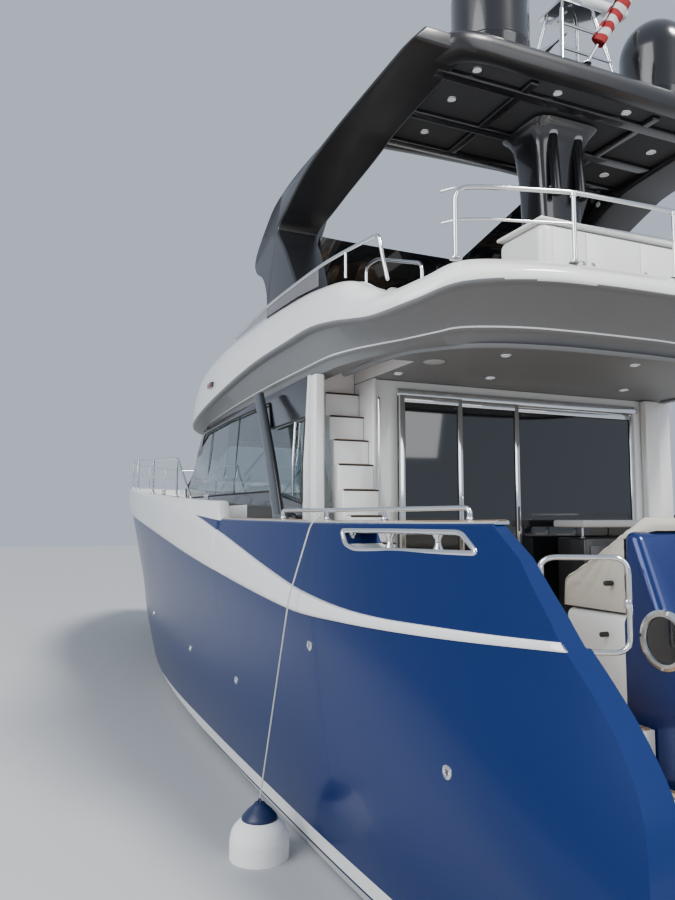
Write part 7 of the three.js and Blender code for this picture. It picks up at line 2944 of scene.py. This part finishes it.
    def _cleats(self) -> None:
        """Polished cleats along the bulwarks and spring cleats amidships."""
        for side, hand in SIDES:
            pieces = []
            for x in self.cleats:
                s = station(x)
                y, z = side * (s[SHEER_Y] - 0.055), s[SHEER_Z] + 0.014
                bar = [(x - 0.13, y, z + 0.052), (x - 0.06, y, z + 0.05), (x, y, z + 0.046), (x + 0.06, y, z + 0.05),
                       (x + 0.13, y, z + 0.052)]
                pieces.append(sweep("horn", bar, [0.007, 0.012, 0.015, 0.012, 0.007], 14))
                pieces += [lathe("leg", [(0, 0), (0.026, 0), (0.026, 0.004), (0.013, 0.014), (0.012, 0.045),
                                         (0, 0.045)], (x + d, y, z), sides=20) for d in (-0.045, 0.045)]
            dress(joined(f"cleats_{hand}", pieces), STEEL, "steel")


@dataclass
class Flanks:
    """Fittings on the hull: skin fittings in its sides and anodes below."""

    places: tuple[Pair, ...] = ((-4.90, 1.466), (-6.457, 1.10), (-3.1, 0.9), (-1.3, 0.9), (1.2, 1.0))
    anode: Triple = (-3.0, 0.35, -0.70)

    def build(self) -> None:
        """Makes the pieces on both sides."""
        for side, hand in SIDES:
            self._fittings(side, hand)
        self._anodes()

    def _on(self, side: int, x: float, z: float) -> tuple[Vector, Vector]:
        """Point on the flank and the direction out of it.

        Args:
            side: 1 for port and -1 for starboard.
            x: place along the boat.
            z: height.

        Returns:
            The point and the direction.
        """
        def width(px: float, pz: float) -> float:
            """Half width of the hull at a height.

            Args:
                px: station.
                pz: height.

            Returns:
                The width.
            """
            line = section(px, False) + section(px, True)[1:]
            line = [p for p in line if p[1] > station(px)[CHINE_Z]]
            k = next((i for i in range(len(line) - 1) if line[i + 1][1] > pz), len(line) - 2)
            (y0, z0), (y1, z1) = line[k], line[k + 1]
            return lerp(y0, y1, clamp((pz - z0) / (z1 - z0)))

        y = width(x, z)
        out = Vector((-(width(x + 0.05, z) - width(x - 0.05, z)) / 0.1, 1,
                      -(width(x, z + 0.03) - width(x, z - 0.03)) / 0.06)).normalized()
        return Vector((x, side * y, z)), Vector((out.x, side * out.y, out.z))

    def _turned(self, side: int, x: float, z: float, profile: Sequence[Point]) -> Object:
        """Lathed piece set square on the flank.

        Args:
            side: 1 for port and -1 for starboard.
            x: place along the boat.
            z: height.
            profile: radius and height pairs.

        Returns:
            The piece.
        """
        place, out = self._on(side, x, z)
        piece = lathe("fitting", profile, (0, 0, 0), sides=40)
        along = Vector((1, 0, 0))
        along = (along - out * along.dot(out)).normalized()
        up = out.cross(along)
        turn = Matrix((along, up, out)).transposed().to_4x4()
        piece.data.transform(Matrix.Translation(place) @ turn)
        tidy(piece)
        return piece

    def _fittings(self, side: int, hand: str) -> None:
        """Polished skin fittings with flared lips and a dark disc in each opening as painted shade.

        Args:
            side: 1 for port and -1 for starboard.
            hand: port or starboard, for the names.
        """
        profile = [(0, 0.001), (0.014, 0.001), (0.016, 0.006), (0.024, 0.009), (0.034, 0.005), (0.036, 0.0),
                   (0.036, -0.006), (0, -0.006)]
        pieces = [self._turned(side, x, z, profile) for x, z in self.places]
        # A dark disc inside each lip stands for the opening's inside: painted shade.
        opening_shade_profile = [(0, 0.0022), (0.013, 0.0022), (0.013, 0.0008), (0, 0.0008)]
        opening_shade_discs = [self._turned(side, x, z, opening_shade_profile) for x, z in self.places]
        dress(made_of(f"skin_fittings_{hand}", (STEEL, *pieces), (DARK, *opening_shade_discs)), STEEL, "steel")

    def _anodes(self) -> None:
        """Anodes on the bottom beside the keel."""
        x, out, z = self.anode
        anodes = [bevelled(block("anode", (x - 0.15, y - 0.035, z - 0.02), (x + 0.15, y + 0.035, z + 0.02)), 0.012, 3)
                  for y in (out, -out)]
        dress(joined("hull_anodes", anodes), GREY, "steel")


@dataclass
class Underwater:
    """Steering pods with their contra-rotating propellers."""

    axis: float = -1.08
    reach: float = 0.48
    leg: tuple[Triple, ...] = ((-0.64, 0.345, 0.075), (-0.70, 0.325, 0.058), (-0.88, 0.275, 0.047),
                               (-1.03, 0.245, 0.046))
    blade: tuple[Triple, ...] = (
        (0.07, 0.058, 0.75), (0.11, 0.074, 0.68), (0.15, 0.084, 0.60), (0.19, 0.088, 0.52), (0.23, 0.082, 0.45),
        (0.258, 0.060, 0.40), (0.272, 0.030, 0.385),
    )

    def build(self) -> None:
        """Makes pods and propellers."""
        for side, hand in SIDES:
            self._pod(side, hand)
            for n, place in enumerate(("aft", "fore")):
                self._propeller(side, f"propeller_{hand}_{place}", POD_X + self.reach + n * 0.126, 1 if n == 0 else -1)

    def _pod(self, side: int, hand: str) -> None:
        """Streamlined leg and body under a turning disc.

        Args:
            side: 1 for port and -1 for starboard.
            hand: port or starboard, for the names.
        """
        y = side * POD_Y
        body = lathe("body", [(0, -0.558), (0.03, -0.552), (0.06, -0.54), (0.095, -0.46), (0.12, -0.38), (0.137, -0.22),
                              (0.14, -0.10), (0.14, 0.06), (0.135, 0.20), (0.12, 0.31), (0.10, 0.394), (0, 0.398)],
                     (POD_X, y, self.axis), "X", sides=56)
        rings = []
        for z, half, thick in spline(self.leg, 4):
            rings.append([(POD_X + half * math.cos(a), y + thick * math.sin(a) * (0.75 + 0.25 * math.cos(a)), z)
                          for a in angles(36)])
        leg = loft("leg", rings, angle=50)
        disc = lathe("disc", [(0, -0.052), (0.270, -0.052), (0.284, -0.040), (0.284, 0.002), (0, 0.002)],
                     (POD_X, y, POD_TOP - 0.008), sides=56)
        anode = lathe("anode", [(0, -0.02), (0.1025, -0.02), (0.1025, 0.0), (0.095, 0.004), (0, 0.004)],
                      (POD_X + 0.392, y, self.axis), "X", sides=48)
        # Dark bars on the leg mark the grille's slots: painted shade in the openings.
        slot_shade_bars = [sweep("slot", [(POD_X + 0.05 + 0.035 * k, y + side * 0.0475, z) for z in (-0.80, -0.85, -0.90)],
                        0.005, 8) for k in range(5)]
        dress(made_of(f"pod_{hand}_finish", (BRONZE, body, leg, disc), (GREY, anode), (DARK, *slot_shade_bars)), BRONZE,
              "bronze", f"pod_{hand}", body=f"pod_{hand}")

    def _propeller(self, side: int, node: str, x: float, hand: int) -> None:
        """Three-bladed propeller with rounded tips on a tapered hub.

        Args:
            side: 1 for port and -1 for starboard.
            node: the CAD node that it replaces.
            x: place along the boat.
            hand: 1 or -1 for the way it turns.
        """
        y = side * POD_Y
        hub = lathe("hub", [(0, -0.056), (0.090, -0.057), (0.095, -0.050), (0.092, 0.050), (0.087, 0.057), (0, 0.056)],
                    (x, y, self.axis), "X", sides=48)
        rows = spline(self.blade, 3)
        blades = []
        for n in range(3):
            turn = n * 2 * math.pi / 3
            rings = []
            for r, chord, angle in rows:
                pitch = hand * angle
                ring = []
                for a in angles(16):
                    c = math.cos(a) * chord
                    thick = math.sin(a) * 0.0065 * (1 - 0.6 * (r - 0.07) / 0.2)
                    over = c * math.cos(pitch) - thick * math.sin(pitch)
                    along = c * math.sin(pitch) + thick * math.cos(pitch)
                    ring.append((x + along, y + r * math.cos(turn) - over * math.sin(turn),
                                 self.axis + r * math.sin(turn) + over * math.cos(turn)))
                rings.append(ring)
            blades.append(loft("blade", rings, angle=50))
        dress(joined(f"{node}_finish", [hub, *blades]), BRONZE, "bronze", node, body=node)


@dataclass
class SwimPlatform:
    """Teak-decked platform with a rubber edge, ladder box, and the arms that lift it."""

    half: tuple[Pair, ...] = ((-8.60, 0.0), (-8.60, 1.50), (-8.50, 1.80), (-8.30, 1.90), (-7.69, 1.90))
    inset: float = 0.045

    def build(self) -> None:
        """Makes platform and arms."""
        body = prism("platform", mirrored(self.half), "Z", 0.382, 0.462)
        bevelled(body, 0.018, 4)
        deck = slab("deck", self._inset(), "Z", 0.460, 0.470, 0.003, 1)
        line = ring_line([(x, y, 0.425) for x, y in mirrored(self.half) if y], 0.08, 5)
        edge = sweep("edge", line, 0.0125, 10, closed=True)
        groups = [(WHITE, body), (TEAK, deck), (RUBBER, edge)]
        for side in (1, -1):
            y = side * ARM_Y
            groups += [(STEEL, bevelled(block("bracket", (-8.345, y + d - 0.012, 0.185),
                                              (-8.255, y + d + 0.012, 0.385)), 0.006)) for d in (-0.052, 0.052)]
            groups.append((STEEL, sweep("pin", [(ARM_HEAD[0], y - 0.06, ARM_HEAD[1]),
                                                (ARM_HEAD[0], y + 0.06, ARM_HEAD[1])], 0.0148, 16)))
            groups.append((STEEL, lathe("cleat", [(0, 0), (0.03, 0), (0.03, 0.001), (0, 0.0015)],
                                        (-7.85, side * 1.55, 0.4695), sides=20)))
        groups.append((TEAK_PLAIN, plate("ladder", "Z", (-8.55, 1.05), (-8.10, 1.42), 0.466, 0.4725, 0.004)))
        groups.append((STEEL, lathe("pull", [(0, 0.0008), (0.02, 0.0008), (0.026, 0), (0.026, -0.004), (0, -0.004)],
                                    (-8.2, 1.235, 0.4728), sides=24)))
        dress(made_of("swim_platform_finish", *groups), TEAK, "teak", "swim_platform", body="platform")
        self._arms()

    def _inset(self) -> list[Pair]:
        """Closed plan moved in, for the teak.

        Returns:
            The closed plan.
        """
        by, (aft, _), (fore, side), corner = self.inset, self.half[0], self.half[-1], self.half[2]
        moved = [(min(max(x, aft + by), fore - by), min(y, side - by)) for x, y in self.half]
        moved[2] = (corner[0] + by * 0.5, corner[1] - by * 0.8)
        return mirrored(moved)

    def _arms(self) -> None:
        """Lifting arms with bossed ends and a cross tube."""
        pieces = []
        hull, tip = (Vector((x, 0, z)) for x, z in (ARM_FOOT, ARM_HEAD))
        way = (tip - hull).normalized()
        for side in (1, -1):
            over = Vector((0, side * ARM_Y, 0))
            pieces.append(sweep("arm", [hull + over + way * 0.03, (hull + tip) / 2 + over, tip + over - way * 0.03],
                                0.0275, 18))
            for end in (hull, tip):
                pieces.append(lathe("boss", [(0.0175, -0.033), (0.040, -0.033), (0.042, -0.030), (0.042, 0.030),
                                             (0.040, 0.033), (0.0175, 0.033), (0.0175, -0.033)], end + over, "Y",
                                    sides=36))
        middle = (hull + tip) / 2
        pieces.append(sweep("cross", [middle + Vector((0, y, 0)) for y in (-ARM_Y, 0, ARM_Y)], 0.0215, 18))
        dress(joined("platform_arms_finish", pieces), STEEL, "steel", "platform_arms", body="platform_arms")


@dataclass
class Fender:
    """Vinyl fender with a navy top cone, moulded seams, an eye and its taut lanyard."""

    x: float = -4.48
    y: float = 2.487
    radius: float = 0.205
    low: float = -0.67
    top: float = 0.19
    lay: float = 0.035
    strand: float = 0.0029

    def build(self) -> None:
        """Makes the fender and its lanyard."""
        profile = spline([(0, self.low), (0.06, self.low + 0.006), (0.11, self.low + 0.03), (0.165, self.low + 0.10),
                          (self.radius - 0.005, self.low + 0.20), (self.radius, self.low + 0.26),
                          (self.radius, self.top - 0.12), (self.radius - 0.003, self.top - 0.06),
                          (0.186, self.top - 0.002), (0.150, self.top + 0.040), (0.120, self.top + 0.062)], 4)
        body = lathe("body", [(p[0], p[1]) for p in profile] + [(0, self.top + 0.062)], (self.x, self.y, 0), sides=64,
                     angle=50)
        cone = [(0, self.top + 0.05), (0.124, self.top + 0.057), (0.126, self.top + 0.066), (0.118, self.top + 0.082),
                (0.085, self.top + 0.118), (0.050, self.top + 0.148), (0.036, self.top + 0.165), (0, self.top + 0.168)]
        hood = lathe("cone", cone, (self.x, self.y, 0), sides=64, angle=50)
        seams = [sweep("seam", [(self.x + (self.radius + 0.0004) * math.cos(a),
                                 self.y + (self.radius + 0.0004) * math.sin(a), z) for z in (-0.40, -0.1, 0.08)], 0.002,
                       6) for a in (math.pi / 4, math.pi * 1.25)]
        eye = sweep("eye", [(self.x + 0.022 * math.cos(a), self.y, self.top + 0.165 + 0.022 * math.sin(a))
                            for a in angles(24)], 0.008, 10, closed=True)
        rope = self._lanyard()
        whole = made_of("fender_finish", (FENDER_VINYL, body), (NAVY_TRIM, hood), (FENDER_VINYL, *seams),
                        (NAVY_TRIM, eye), (LINE, rope))
        dress(whole, FENDER_VINYL, "fender_vinyl", "fender")

    def _lanyard(self) -> Object:
        """Three twisted strands from the fender's eye over the cap to the rail, with a hitch.

        Returns:
            The lanyard.
        """
        points = [Vector(p) for p in ((self.x, self.y, self.top + 0.185), (-4.78, 2.392, 1.78), (-4.85, 2.262, 2.275),
                                      (-4.86, 2.20, 2.33))]
        line = fillet(points, 0.05, 6)
        run = [line[0]]
        for a, b in zip(line, line[1:]):
            steps = max(1, int((b - a).length / 0.006))
            run += [a.lerp(b, (n + 1) / steps) for n in range(steps)]
        strands, length = [], 0.0
        for k in range(3):
            path, length = [], 0.0
            for i, p in enumerate(run):
                ahead = (run[min(i + 1, len(run) - 1)] - run[max(i - 1, 0)]).normalized()
                length += (p - run[i - 1]).length if i else 0.0
                u = ahead.orthogonal().normalized() if i == 0 else (u - ahead * u.dot(ahead)).normalized()
                v = ahead.cross(u)
                turn = length / self.lay * 2 * math.pi + k * 2 * math.pi / 3
                path.append(p + (u * math.cos(turn) + v * math.sin(turn)) * self.strand)
            strands.append(sweep("strand", path, self.strand, 6))
        hitch = [points[-1] + Vector((0.018 * math.cos(a), 0.012 * (n / 30 - 0.5) * 4, 0.018 * math.sin(a)))
                 for n in range(31) for a in [4 * math.pi * n / 30]]
        return joined("lanyard", [*strands, sweep("hitch", hitch, 0.0045, 8)])


def main() -> None:
    """Builds every part in order."""
    logging.basicConfig(level=logging.INFO, format="%(message)s")
    Studio().build()
    HullSkin().build()
    Stern().build()
    Cockpit().build()
    AftFace().build()
    House().build()
    FlyMoulding().build()
    FlyFittings().build()
    Hardtop().build()
    Foredeck().build()
    Flanks().build()
    Underwater().build()
    SwimPlatform().build()
    Fender().build()


if __name__ == "__main__":
    main()
